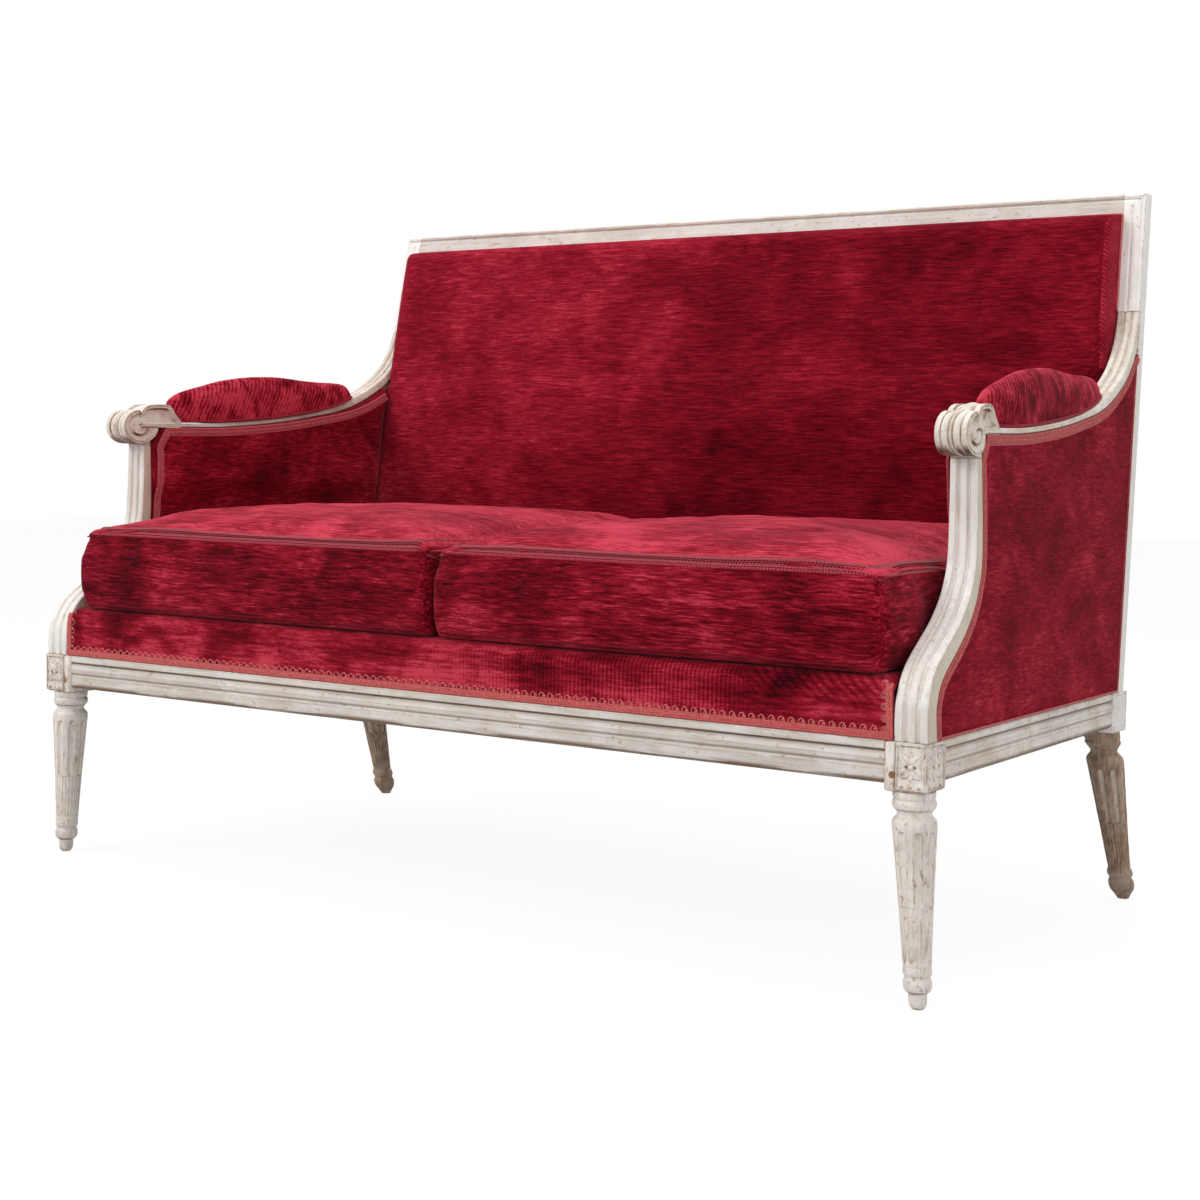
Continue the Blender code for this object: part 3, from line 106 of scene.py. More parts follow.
# Seat upholstery
WEB_WIDTH = 0.050
WEB_THICKNESS = 0.002
WEB_LANDING = 0.018            # strap ends behind the side plane
WEB_FRONT = 0.012
CLOTH_THICKNESS = 0.001
COVER_THICKNESS = 0.002
DECK_FRONT = 0.004
DECK_RISE = 0.069              # above the seat rails
DECK_EDGE_RADIUS = 0.018
DECK_SIDE_FRONT = 0.0405       # behind the side plane, at the front
DECK_SIDE_REAR = 0.0515        # the same, at the back frame
DUST_COVER_THICKNESS = 0.0007

# Seat cushions
CUSHION_HEIGHT = 0.152
CUSHION_FRONT = 0.003
CUSHION_REAR = 0.626
CUSHION_GAP = 0.005
CUSHION_SHIFT = 0.0145         # both lie a little to one side
CUSHION_END_GAP = 0.013        # which leaves so much more room at the other end
CUSHION_CLEARANCE = 0.011      # to the inside arm cover
CUSHION_CORNER = 0.012
CUSHION_BULGE = 0.003          # how far the sides swell between the seams
CUSHION_SEAM = 0.006
CUSHION_CORNER_POINTS = 5
CUSHION_SIDE_POINTS = 4

# Inside back
BACK_FULLNESS = 0.040          # of the stuffing in front of the frame
BACK_CROWN = 0.010             # more in the middle
BACK_EDGE_ROUNDING = 0.014
BACK_PROUD = 0.001             # edge of the cover in front of the frame
WEB_DEPTH = 0.010              # back webbing in front of the frame's rear face
OUTSIDE_DEPTH = 0.003          # outside cover in front of the frame's rear face
BACK_WALL_LEAN = 0.002         # of its side walls
BACK_TUCK = 0.006              # of the walls' foot inside the frame's opening
BACK_WALL_ROW = 5              # from this row up it has a wall at each side
BACK_GIMP_ROW = 6              # from this row up the gimp runs round the wall
BACK_EDGE_SHARE = 0.72         # fullness of its outer edge behind the inside arm cover
BACK_MARGIN_SHARE = 0.9        # the same at the arm cover's face

# Arm covers and pads
OUTER_COVER_INSET = 0.002
OUTER_COVER_THICKNESS = 0.003
INNER_COVER_START = 0.0291
INNER_COVER_FRONT = 0.0375     # its face behind the side plane, at the front
INNER_COVER_REAR = 0.0445      # the same, at the back frame
INNER_COVER_LIFT = 0.004       # above the seat rails, over the webbing
PAD_START = 0.227
PAD_END = 0.588
PAD_HALF_WIDTH = 0.0160
PAD_HEIGHT = 0.068
PAD_BRAID_THICKNESS = 0.0024

# Gimp braid
GIMP_WIDTH = 0.009
FRONT_GIMP_WIDTH = 0.0125      # on the seat's front band
GIMP_THICKNESS = 0.002
GIMP_EDGE = 0.0006             # bare strip outside the gimp
CORD_WIDTH = 0.003             # the cord along the lower and rear edges of the arm covers

SEAT_TOP = BLOCK_BOTTOM + BLOCK_HEIGHT
RAIL_BOTTOM = SEAT_TOP - RAIL_HEIGHT
DECK_TOP = SEAT_TOP + DECK_RISE
FRONT = -OVERALL_DEPTH / 2
LEAN = (OVERALL_DEPTH - BACK_FOOT) / (HEIGHT - SEAT_TOP)
TAPER_BACK = (WIDTH - REAR_WIDTH) / 2 / BACK_FOOT
TAPER_UP = ((REAR_WIDTH - TOP_WIDTH) / 2 - TAPER_BACK * (OVERALL_DEPTH - BACK_FOOT)) / (HEIGHT - SEAT_TOP)

# Front edge of the arm post: share of its reach back, share of its height
POST_CURVE_SHARES = [
    (0.0, 0.0), (0.004, 0.13), (0.128, 0.241), (0.318, 0.313), (0.60, 0.396), (0.82, 0.487),
    (0.955, 0.594), (0.992, 0.714), (1.0, 0.87), (1.0, 1.0),
]
# Top of the arm's wood: share of the reach to the back frame, share of the rise to the joint
ARM_CURVE_SHARES = [
    (0.0, 0.0), (0.15, 0.009), (0.24, 0.015), (0.32, 0.030), (0.41, 0.055), (0.505, 0.089), (0.60, 0.136),
    (0.67, 0.184), (0.735, 0.245), (0.804, 0.334), (0.864, 0.431), (0.910, 0.530), (0.944, 0.636),
    (0.971, 0.758), (0.989, 0.876), (1.0, 1.0),
]
# Moulded face of the back frame from its inner edge out: share of the width, share of the groove's depth
FRAME_FACE_SHARES = [
    (0.0, 0.4), (0.34, 0.4), (0.42, 1.0), (0.52, 0.2), (0.66, 0.0), (0.80, 0.1), (0.88, 0.9), (1.0, 1.0),
]
# The same of the top rail from its underside up: share of the height, share of the groove's depth
TOP_RAIL_FACE_SHARES = [(0.0, 0.4), (0.64, 0.4), (0.75, 1.0), (0.83, 0.3), (0.92, 0.1), (1.0, 0.9)]
# Cushion from the bottom up: share of the height, inset in seam widths, swell in bulges and share to the middle
CUSHION_STACK_SHARES = [
    (0.0, 2.2, 0, 0), (0.02, 0.8, 0, 0), (0.045, 0.1, 0, 0), (0.08, 0.4, 0, 0), (0.19, 0.0, 0.7, 0),
    (0.37, 0.0, 1.0, 0), (0.55, 0.0, 0.7, 0), (0.68, 0.4, 0, 0), (0.72, 0.1, 0, 0), (0.75, 0.6, 0, 0),
    (0.77, 1.6, 0, 0), (0.83, 1.6, 0, 0.09),
    (0.89, 1.6, 0, 0.22), (0.945, 1.6, 0, 0.42), (0.985, 1.6, 0, 0.66), (1.0, 1.6, 0, 0.9),
]
# Rows of the inside back from the bottom up: share of the height, share of the fullness
BACK_ROW_SHARES = [
    (0.0, 0.12), (0.17, 0.34), (0.34, 0.72), (0.52, 1.0), (0.615, 1.0), (0.645, 0.93), (0.79, 0.97),
    (0.90, 1.0), (1.0, 1.0),
]
# Wall of the inside back up from its foot: lean in wall leans, inset in roundings, share of the fullness
BACK_WALL_SHARES = [(0, 0, 0.0), (1, 0, 0.62), (0, 0.35, 0.85)]
# Places of the straps: shares of the span
SEAT_STRAPS_ALONG_SHARES = (0.14, 0.32, 0.50, 0.68, 0.86)
SEAT_STRAPS_ACROSS_SHARES = (-0.84, -0.63, -0.42, -0.21, 0.0, 0.21, 0.42, 0.63, 0.84)
BACK_STRAPS_ACROSS_SHARES = (0.2, 0.5, 0.8)
BACK_STRAPS_UP_SHARES = (-0.75, -0.45, -0.15, 0.15, 0.45, 0.75)

# Sizes of the dressed pieces
LEG_FLUTES = 8
FLUTE_HALF = 0.26              # half of a flute's width as a share of the pitch
# Turned legs as carved, from the block down: share of the height, share of the ring's radius, share of the flute
CARVED_FRONT_LEG = [
    (0.0, 0.99, 0), (0.032, 0.99, 0), (0.0345, 0.90, 0), (0.0375, 0.90, 0), (0.041, 0.98, 0), (0.052, 1.02, 0),
    (0.066, 1.02, 0), (0.080, 0.96, 0), (0.090, 0.84, 0), (0.104, 0.79, 0), (0.112, 0.80, 0), (0.128, 0.96, 0),
    (0.140, 1.03, 0), (0.160, 1.04, 0), (0.180, 1.02, 1.0), (0.525, 0.80, 1.0), (0.530, 0.79, 0.4),
    (0.785, 0.665, 0.4), (0.800, 0.66, 0), (0.803, 0.62, 0), (0.808, 0.67, 0), (0.838, 0.67, 0), (0.846, 0.58, 0),
    (0.856, 0.60, 0), (0.872, 0.67, 0), (0.900, 0.66, 0), (0.918, 0.58, 0), (0.922, 0.45, 0), (0.930, 0.43, 0),
    (0.975, 0.42, 0), (0.990, 0.36, 0), (1.0, 0.27, 0),
]
CARVED_REAR_LEG = [
    (0.0, 1.0, 0), (0.045, 1.0, 0), (0.048, 0.93, 0), (0.053, 0.93, 0), (0.058, 1.0, 0), (0.072, 0.99, 0),
    (0.092, 0.86, 0), (0.112, 0.74, 0), (0.124, 0.75, 0), (0.150, 0.98, 0), (0.165, 1.04, 0), (0.190, 1.03, 0),
    (0.215, 1.01, 1.0), (0.540, 0.79, 1.0), (0.545, 0.78, 0.4), (0.805, 0.63, 0.4), (0.815, 0.62, 0),
    (0.822, 0.68, 0), (0.838, 0.72, 0), (0.858, 0.71, 0), (0.868, 0.62, 0), (0.876, 0.62, 0), (0.890, 0.71, 0),
    (0.918, 0.73, 0), (0.945, 0.66, 0), (0.985, 0.40, 0), (1.0, 0.33, 0),
]
SCROLL_LOBES = ((0.0, 0.42, 0.17), (0.42, 0.58, 0.13), (0.58, 1.0, 0.17))
CARVED_CAP = [
    (0.0, 0.50), (0.10, 0.82), (0.22, 0.96), (0.38, 1.0), (0.52, 1.0), (0.62, 0.90), (0.69, 0.66), (0.75, 0.42),
    (0.83, 0.20), (0.92, 0.07), (1.0, 0.02),
]
# Spiral groove of the scroll's side: degrees round from the rear, distance from the centre; and half its width
VOLUTE_GROOVE = [
    (60, 0.0150), (90, 0.0144), (135, 0.0139), (180, 0.0135), (225, 0.0127), (270, 0.0115), (315, 0.0107),
    (350, 0.0100), (375, 0.0086), (400, 0.0064), (425, 0.0044), (455, 0.0028), (485, 0.0024),
]
VOLUTE_WIDTH = [
    (60, 0.0038), (90, 0.0035), (135, 0.0031), (180, 0.0027), (225, 0.0020), (270, 0.0014), (360, 0.0011),
    (485, 0.0009),
]
LEG_POINTS = 160
CHEEK = 0.0064                 # thickness of the carved cheeks at the scroll's ends
CAP_INSET = 0.0066
DRUM_RADIUS = 0.0254           # the scroll as carved: half its height
DRUM_STRETCH = 1.25            # its depth as a share of its height
DRUM_WIDTH = 0.0395
DRUM_OVERHANG = 0.0036
DIE_WIDTH = 0.0365             # the carved part of the front block's face
STILE_POINTS = 36
REED_POINTS = 36
CUSHION_STEP = 0.008
CUSHION_VOXEL = 0.0065
CUSHION_SEAM_HEIGHT = 0.72     # the seam between the top and the boxing, share of the height
CUSHION_SWELL = 0.0075         # the most that the filling moves the cloth
CUSHION_BRAID_LINES = (0.0050, 0.0130, 0.0210)
SIDE_BAND = 0.0078
CUSHION_TOP = DECK_TOP + CUSHION_HEIGHT
CUSHION_LIFT = 0.2             # how far a cushion is lifted out
ARM_ROOM = 0.0035              # what it is kept clear of the swell of the inside arm cover then
ARM_SWELL = {-1: 0.0096, 1: 0.0030}  # of that cover, less on the side that the cushions lie near
# Arm's pad as stuffed: share of the length, of the half width, of the height, and lean to the front
FULL_PAD = [
    (0.0, 0.58, 0.38, 1.27), (0.03, 0.78, 0.52, 1.1), (0.09, 0.93, 0.68, 0.85), (0.18, 1.0, 0.84, 0.5),
    (0.30, 1.0, 0.97, 0.28), (0.44, 1.0, 1.0, 0.1), (0.58, 1.0, 0.93, 0), (0.70, 1.0, 0.79, -0.08),
    (0.80, 0.99, 0.67, -0.14), (0.88, 0.96, 0.56, -0.18), (0.94, 0.88, 0.45, -0.2), (0.98, 0.74, 0.33, -0.2),
    (1.0, 0.50, 0.20, 0),
]
PLATFORM_END_ROUNDING = 0.012
FRONT_GIMP_RISE = 0.010        # it climbs on to the rounded edge
BAND_SHARE = 0.66              # woven band's share of the gimp, the rest is loops
UNDER_CLOTH_SAG = 0.004
OUTSIDE_PUFF = 0.0012          # of the outside back's middle
CAMERA_TURN, CAMERA_TILT, CAMERA_ROLL = 0.6029, -0.0701, 0.0179
CAMERA_LENS = 60.165
CAMERA_PLACE = (1.6091, -2.3226, 0.5882)
SURROUND_LIGHT = 0.45
KEY_LIGHT, FILL_LIGHT, TOP_LIGHT, REAR_LIGHT = 120, 34, 60, 22
FLOOR_GLOW = 0.93
ROSETTE_DOTS = (
    (-0.55, 0.88), (0.0, 0.90), (0.55, 0.88), (-0.55, -0.88), (0.0, -0.90), (0.55, -0.88), (0.92, 0.5), (0.94, 0.0),
    (0.92, -0.5), (-0.92, 0.35), (-0.92, -0.35), (-0.28, 0.0), (0.28, 0.0),
)


# Where things are

def side_x(y, z, inward):
    """X of a plane that follows the settee's side, which tapers to the back and to the top."""
    return WIDTH / 2 - TAPER_BACK * (y - FRONT) - TAPER_UP * (z - SEAT_TOP) - inward


def rail_side_x(y, inward):
    return side_x(y, SEAT_TOP, inward)


def back_y(z, forward):
    """Y of a plane in front of the back frame's rear face."""
    return FRONT + BACK_FOOT + LEAN * (z - SEAT_TOP) - forward


def stile_front(z):
    return back_y(z, STILE_DEPTH_LOWER)


def blend(start, end, share):
    return start + (end - start) * share


def smooth_curve(points, steps):
    """Points on a smooth curve through the given ones, with so many steps between them."""
    curve = []
    last = len(points) - 1
    for i in range(last):
        before, start = points[max(i - 1, 0)], points[i]
        end, after = points[i + 1], points[min(i + 2, last)]
        for k in range(steps):
            t = k / steps
            curve.append(tuple(
                0.5 * (2 * b + (c - a) * t + (2 * a - 5 * b + 4 * c - d) * t * t + (3 * b - a - 3 * c + d) * t ** 3)
                for a, b, c, d in zip(before, start, end, after)
            ))
    curve.append(tuple(points[last]))
    return curve


def into_depth(curve, first=None, last=None):
    """Unit directions square to a curve, to the back or down; the first and last may be given."""
    turned = []
    end = len(curve) - 1
    for i in range(end + 1):
        y0, z0 = curve[max(i - 1, 0)]
        y1, z1 = curve[min(i + 1, end)]
        length = math.hypot(y1 - y0, z1 - z0)
        turned.append(((z1 - z0) / length, -(y1 - y0) / length))
    if first:
        turned[0] = first
    if last:
        turned[end] = last
    return turned


def offset(curve, turned, distances):
    return [
        (y + dy * distance, z + dz * distance)
        for (y, z), (dy, dz), distance in zip(curve, turned, distances)
    ]


def post_curve():
    points = [
        (FRONT + blend(POST_FRONT, POST_TOP_FRONT, reach), blend(SEAT_TOP + FIT, POST_TOP, rise))
        for reach, rise in POST_CURVE_SHARES
    ]
    curve = smooth_curve(points, 2)
    return curve, into_depth(curve, (1, 0), (1, 0))


def post_share(z):
    return (z - SEAT_TOP) / (POST_TOP - SEAT_TOP)


def arm_curve():
    end_y = back_y(ARM_JOINT - FIT, STILE_DEPTH_UPPER)
    points = [
        (blend(FRONT + SCROLL_DEPTH, end_y, reach), blend(ARM_FRONT_TOP, ARM_JOINT - FIT, rise))
        for reach, rise in ARM_CURVE_SHARES
    ]
    curve = smooth_curve(points, 2)
    lean = math.hypot(1, LEAN)
    return curve, into_depth(curve, (0, -1), (1 / lean, -LEAN / lean))


def arm_edges(curve, turned):
    """Depth of the arm's visible edge and of its core, which thin out in front of the back frame."""
    edges = []
    for (y, z), (dy, dz) in zip(curve, turned):
        room = (stile_front(z) - FIT - y) * dy
        behind = (y - FRONT - PAD_END) / (PAD_END - PAD_START) * 4 + 1
        edge = blend(ARM_EDGE, ARM_SWEEP_EDGE, min(max(behind, 0), 1))
        edge = min(edge, room - CORE_END) if dy > 0.5 else edge
        core = min(TACKING_CORE, room - edge) if dy > 0.3 else TACKING_CORE
        edges.append((edge, max(core, CORE_END)))
    return edges


def stile_inner(y, z):
    return side_x(y, z, STILE_INSET + STILE_WIDTH + FIT)


def deck_side(y):
    return blend(DECK_SIDE_FRONT, DECK_SIDE_REAR, (y - FRONT) / BACK_FOOT)


def deck_x(y, z):
    return side_x(y, z, deck_side(y))


def deck_rear():
    return back_y(SEAT_TOP + STAY_RAIL_BOTTOM, STILE_DEPTH_LOWER + FIT)


def low_stuffing():
    return SEAT_TOP + WEB_THICKNESS + CLOTH_THICKNESS + 3 * FIT


def inner_cover_face(y):
    return blend(INNER_COVER_FRONT, INNER_COVER_REAR, (y - FRONT) / BACK_FOOT)


def cushion_plan(side, inset):
    """Rounded outline of one cushion, its outer side along the arm and its inner side at the middle."""
    y0, y1 = FRONT + CUSHION_FRONT + inset, FRONT + CUSHION_REAR - inset
    level = DECK_TOP + CUSHION_HEIGHT
    seam = side * CUSHION_GAP / 2 + CUSHION_SHIFT + side * max(inset, 0)
    radius = max(CUSHION_CORNER - inset, CUSHION_CORNER / 3)

    def outer(y):
        reach = side_x(y, level, inner_cover_face(y) + CUSHION_CLEARANCE) - inset
        return side * (reach - (CUSHION_END_GAP if side < 0 else 0))

    corners = [(seam, y0, outer(y0) - seam), (outer(y0), y0, 0), (outer(y1), y1, 0), (seam, y1, 0)]
    plan = []
    count = len(corners)
    for i in range(count):
        px, py = corners[i - 1][:2]
        cx, cy = corners[i][:2]
        nx, ny = corners[(i + 1) % count][:2]
        back = math.hypot(px - cx, py - cy)
        ahead = math.hypot(nx - cx, ny - cy)
        ax, ay = cx + (px - cx) / back * radius, cy + (py - cy) / back * radius
        bx, by = cx + (nx - cx) / ahead * radius, cy + (ny - cy) / ahead * radius
        for k in range(CUSHION_CORNER_POINTS):
            t = k / (CUSHION_CORNER_POINTS - 1)
            plan.append((
                (1 - t) ** 2 * ax + 2 * t * (1 - t) * cx + t * t * bx,
                (1 - t) ** 2 * ay + 2 * t * (1 - t) * cy + t * t * by,
            ))
        for k in range(1, CUSHION_SIDE_POINTS):
            t = k / CUSHION_SIDE_POINTS
            ex, ey = nx + (cx - nx) / ahead * radius, ny + (cy - ny) / ahead * radius
            plan.append((blend(bx, ex, t), blend(by, ey, t)))
    return plan


def opening_bottom():
    return SEAT_TOP + STAY_RAIL_BOTTOM + STAY_RAIL_HEIGHT + FIT


def opening_top():
    return HEIGHT - TOP_RAIL_HEIGHT - FIT


def opening_half(z):
    return stile_inner(back_y(z, 0), z)


def back_rows():
    """Heights up the inside back, each with its share of the fullness."""
    top = opening_top() - BACK_EDGE_ROUNDING
    return [(blend(opening_bottom(), top, share), full) for share, full in BACK_ROW_SHARES]


def back_meets_arm(z_wanted):
    """Depth at which the inside arm cover meets the inside back."""
    rows = back_rows()
    full = rows[0][1]
    for (z0, full0), (z1, full1) in zip(rows, rows[1:]):
        if z0 <= z_wanted <= z1:
            full = blend(full0, full1, (z_wanted - z0) / (z1 - z0))
    face = STILE_DEPTH_UPPER + BACK_PROUD + BACK_FULLNESS * full * BACK_MARGIN_SHARE
    return back_y(z_wanted, face + 2 * FIT)


def panel_edges(bottom, gap):
    """The arm opening's edge as (y, z): up the post, back under the arm and down the back frame."""
    post, post_turned = post_curve()
    thickness = [blend(POST_FOOT_THICKNESS, POST_TOP_THICKNESS, post_share(z)) + gap for y, z in post]
    rear_of_post = offset(post, post_turned, thickness)
    rear_of_post[0] = (rear_of_post[0][0], bottom)
    curve, turned = arm_curve()
    edges = [edge + gap for edge, core in arm_edges(curve, turned)]
    under_arm = offset(curve, turned, edges)
    corner_y = FRONT + POST_TOP_FRONT + POST_TOP_THICKNESS + NECK_SWEEP + 2 * gap
    arm_part = [(y, z) for y, z in under_arm if y > corner_y + gap and y < stile_front(z) - 2 * ARM_EDGE]
    corner = (corner_y, arm_part[0][1])
    end_z = arm_part[-1][1] + 1.8 * ARM_EDGE
    arm_part.append((stile_front(end_z) - gap, end_z))
    foot = (stile_front(bottom) - gap, bottom)
    return rear_of_post + [corner] + arm_part, foot


def up_to_back(edge, bottom):
    """The arm opening's edge cut off where it meets the inside back, and the line down that."""
    kept = [point for point in edge if point[0] < back_meets_arm(point[1]) - ARM_EDGE]
    (y0, z0), (y1, z1) = kept[-2:]
    length = math.hypot(y1 - y0, z1 - z0)
    y, z = y1, z1
    while y < back_meets_arm(z):
        y += FIT * (y1 - y0) / length
        z += FIT * (z1 - z0) / length
    down = [(back_meets_arm(row), row) for row, full in reversed(back_rows()) if row < z]
    return kept + [(back_meets_arm(z), z)] + down + [(back_meets_arm(bottom), bottom)]


def inset_path(path, distances):
    """A path moved to its right by a distance for each of its stretches, with mitred corners."""
    normals = []
    for (y0, z0), (y1, z1) in zip(path, path[1:]):
        length = math.hypot(y1 - y0, z1 - z0)
        normals.append(((z1 - z0) / length, -(y1 - y0) / length))
    normals = normals[:1] + normals + normals[-1:]
    distances = distances[:1] + distances + distances[-1:]
    moved = []
    for i, (y, z) in enumerate(path):
        (ay, az), (by, bz) = normals[i], normals[i + 1]
        a, b = distances[i], distances[i + 1]
        turn = ay * bz - az * by
        if abs(turn) > 0.3:
            moved.append((y + (a * bz - b * az) / turn, z + (b * ay - a * by) / turn))
        else:
            ny, nz = (ay + by) / 2, (az + bz) / 2
            size = ny * ny + nz * nz
            moved.append((y + (a + b) / 2 * ny / size, z + (a + b) / 2 * nz / size))
    return moved


def on_arm(curve, turned, y_wanted):
    """The point of the arm's top at a depth, with its direction down into the wood."""
    for i in range(len(curve) - 1):
        y0, y1 = curve[i][0], curve[i + 1][0]
        if y0 <= y_wanted <= y1:
            t = (y_wanted - y0) / (y1 - y0)
            y, z = (blend(a, b, t) for a, b in zip(curve[i], curve[i + 1]))
            dy, dz = (blend(a, b, t) for a, b in zip(turned[i], turned[i + 1]))
            return y, z, dy, dz
    return (*curve[-1], *turned[-1])


# Finishes

def plug(node, sockets):
    """Gives each named socket of a node a value, or links it to another node's output."""
    for name, value in sockets.items():
        if isinstance(value, bpy.types.NodeSocket):
            node.id_data.links.new(value, node.inputs[name])
        else:
            node.inputs[name].default_value = value


def add_node(tree, kind, output, sockets, **settings):
    """Adds a node with its settings and sockets, and gives one of its outputs."""
    node = tree.nodes.new(kind)
    for name, value in settings.items():
        setattr(node, name, value)
    plug(node, sockets)
    return node.outputs[output]


class Finish:
    """A node material under construction."""

    def __init__(self, name, roughness=0.6):
        self.material = bpy.data.materials.new(name)
        self.material.use_nodes = True
        self.tree = self.material.node_tree
        self.shader = self.tree.nodes["Principled BSDF"]
        self.shader.inputs["Roughness"].default_value = roughness
        self.coordinates = self.tree.nodes.new("ShaderNodeTexCoord").outputs

    def node(self, kind, output, sockets, **settings):
        return add_node(self.tree, "ShaderNode" + kind, output, sockets, **settings)

    def place(self, scale=(1, 1, 1), turn=(0, 0, 0), which="Object"):
        return self.node("Mapping", 0, {"Scale": scale, "Rotation": turn, "Vector": self.coordinates[which]})

    def noise(self, vector, scale, detail=4, rough=0.55, warp=0.0):
        return self.node("TexNoise", "Fac", {
            "Scale": scale, "Detail": detail, "Roughness": rough, "Distortion": warp, "Vector": vector,
        })

    def wave(self, vector, scale, direction="X", warp=0.0, warp_scale=2.0):
        return self.node("TexWave", "Fac", {
            "Scale": scale, "Distortion": warp, "Detail Scale": warp_scale, "Vector": vector,
        }, bands_direction=direction)

    def spread(self, value, low, high, start=0.0, end=1.0):
        """Goes smoothly from start to end while a value goes from low to high."""
        return self.node("MapRange", 0, {
            "From Min": low, "From Max": high, "To Min": start, "To Max": end, "Value": value,
        }, interpolation_type="SMOOTHSTEP")

    def sums(self, operation, *values):
        return self.node("Math", 0, dict(enumerate(values)), operation=operation)

    def times(self, a, b):
        return self.sums("MULTIPLY", a, b)

    def plus(self, a, b):
        return self.sums("ADD", a, b)

    def mix(self, share, a, b, kind="MIX"):
        return self.node("Mix", 2, {0: share, 6: a, 7: b}, data_type="RGBA", blend_type=kind)

    def blended(self, share, a, b):
        """One value going over into another."""
        return self.plus(a, self.times(self.sums("SUBTRACT", b, a), share))

    def part(self, axis, which="Object"):
        return self.node("SeparateXYZ", axis, {0: self.coordinates[which]})

    def openness(self, samples):
        """One in the open, less down in a groove."""
        return self.node("AmbientOcclusion", "AO", {"Distance": 0.005}, samples=samples, only_local=True)

    def done(self, colour, height, depth, strength, **others):
        """Sets the shader's colour, relief and other sockets, and gives the material."""
        relief = self.node("Bump", 0, {"Strength": strength, "Distance": depth, "Height": height})
        plug(self.shader, {"Base Color": colour, "Normal": relief})
        plug(self.shader, {name.replace("_", " "): value for name, value in others.items()})
        return self.material


def srgb(r, g, b):
    """A colour as it looks on the screen, for a shader."""
    return tuple(((c / 255 + 0.055) / 1.055) ** 2.4 if c > 10 else c / 255 / 12.92 for c in (r, g, b)) + (1.0,)


def worn_paint(name, streaks, chips, tones, contrast, dirt_and_shade, edges, side_shade=0.0, stain=0.0, foot=0.0):
    """Old grey-white paint, brushed along the piece and worn to the wood along its edges. Grime and painted shade
    darken its grooves, and where asked painted shade falls on faces turned to the side.
    """
    look = Finish(name)
    flow = look.place(streaks)
    fine = look.noise(flow, 120, 5, 0.62)
    broad = look.noise(look.place(), 11, 4, 0.6)
    patches = look.noise(look.place(), 46, 5, 0.68, 0.5)
    light, shade = tones
    base = look.mix(look.spread(broad, 0.36, 0.64), srgb(*light), srgb(*shade))
    base = look.mix(look.spread(fine, 0.52, 0.64, 0, contrast), base, srgb(*(min(c + 12, 246) for c in light)))
    base = look.mix(look.spread(fine, 0.46, 0.34, 0, contrast), base, srgb(*(c - 34 for c in shade)))
    if stain:
        clouds = look.noise(look.place(), 17, 4, 0.65)
        base = look.mix(look.spread(clouds, 0.46, 0.62, 0, stain), base, srgb(196, 174, 144))
    bare = look.mix(look.spread(look.noise(flow, 150, 3), 0.4, 0.6), srgb(198, 152, 112), srgb(142, 104, 78))
    rounded = look.node("Bevel", 0, {"Radius": 0.0022}, samples=4)
    surface = look.node("NewGeometry", "Normal", {})
    flatness = look.node("VectorMath", "Value", {0: rounded, 1: surface}, operation="DOT_PRODUCT")
    hollow = look.openness(6)
    open_edge = look.times(look.spread(flatness, 0.994, 0.93), look.spread(hollow, 0.55, 0.9))
    wear = look.times(open_edge, look.spread(patches, 0.60 - 0.26 * edges, 0.70 - 0.20 * edges))
    flecks = look.noise(look.place(tuple(blend(1, c, 0.45) for c in streaks)), 150, 4, 0.62, 0.3)
    flecks = look.spread(flecks, 0.645 - 0.055 * chips, 0.70 - 0.055 * chips)
    flecks = look.times(flecks, look.spread(patches, 0.36, 0.56))
    wear = look.sums("MAXIMUM", wear, look.times(flecks, 0.75))
    painted = look.mix(look.times(wear, 0.9), base, bare)
    # Darker down in the grooves: grime and painted shade together.
    grime_and_shade = look.times(look.spread(hollow, 0.78, 0.26), look.spread(patches, 0.25, 0.70, 0.45, 1.0))
    painted = look.mix(grime_and_shade, painted, srgb(*dirt_and_shade))
    if foot:
        low = look.spread(look.part(2), foot + 0.0085, foot + 0.003)
        low = look.times(low, look.spread(look.noise(flow, 60, 4, 0.6), 0.40, 0.52))
        painted = look.mix(low, painted, srgb(116, 88, 66))
    # Faces turned to the side go darker and warmer: painted shade.
    if side_shade:
        turned = look.spread(look.sums("ABSOLUTE", look.part(0, "Normal")), 0.75, 0.95, 0, side_shade)
        painted = look.mix(turned, painted, look.mix(1.0, painted, srgb(226, 216, 196), "MULTIPLY"))
    under = look.spread(look.part(2, "Normal"), -0.55, -0.85)
    beneath = look.mix(look.spread(fine, 0.4, 0.62), srgb(124, 96, 74), srgb(74, 54, 40))
    height = look.plus(look.times(fine, 0.5), look.times(wear, -0.6))
    painted = look.mix(under, painted, beneath)
    return look.done(painted, height, 0.0007, 0.5, Roughness=look.spread(wear, 0, 1, 0.5, 0.75))


def bare_leg(name):
    """Wood rubbed almost bare of its paint, grey-brown and fine-grained."""
    look = Finish(name, 0.7)
    grain = look.noise(look.place((1.5, 1.5, 0.14)), 130, 6, 0.66, 0.3)
    clouds = look.noise(look.place(), 34, 4, 0.62, 0.4)
    tone = look.mix(look.spread(grain, 0.32, 0.66), srgb(122, 96, 78), srgb(178, 150, 128))
    tone = look.mix(look.spread(clouds, 0.46, 0.66, 0, 0.6), tone, srgb(186, 168, 150))
    tone = look.mix(look.spread(clouds, 0.42, 0.30, 0, 0.5), tone, srgb(128, 88, 72))
    # Darker down in the turnings: dirt and painted shade together.
    tone = look.mix(look.spread(look.openness(5), 0.62, 0.2, 0, 0.7), tone, srgb(62, 46, 38))
    return look.done(tone, grain, 0.0008, 0.6)


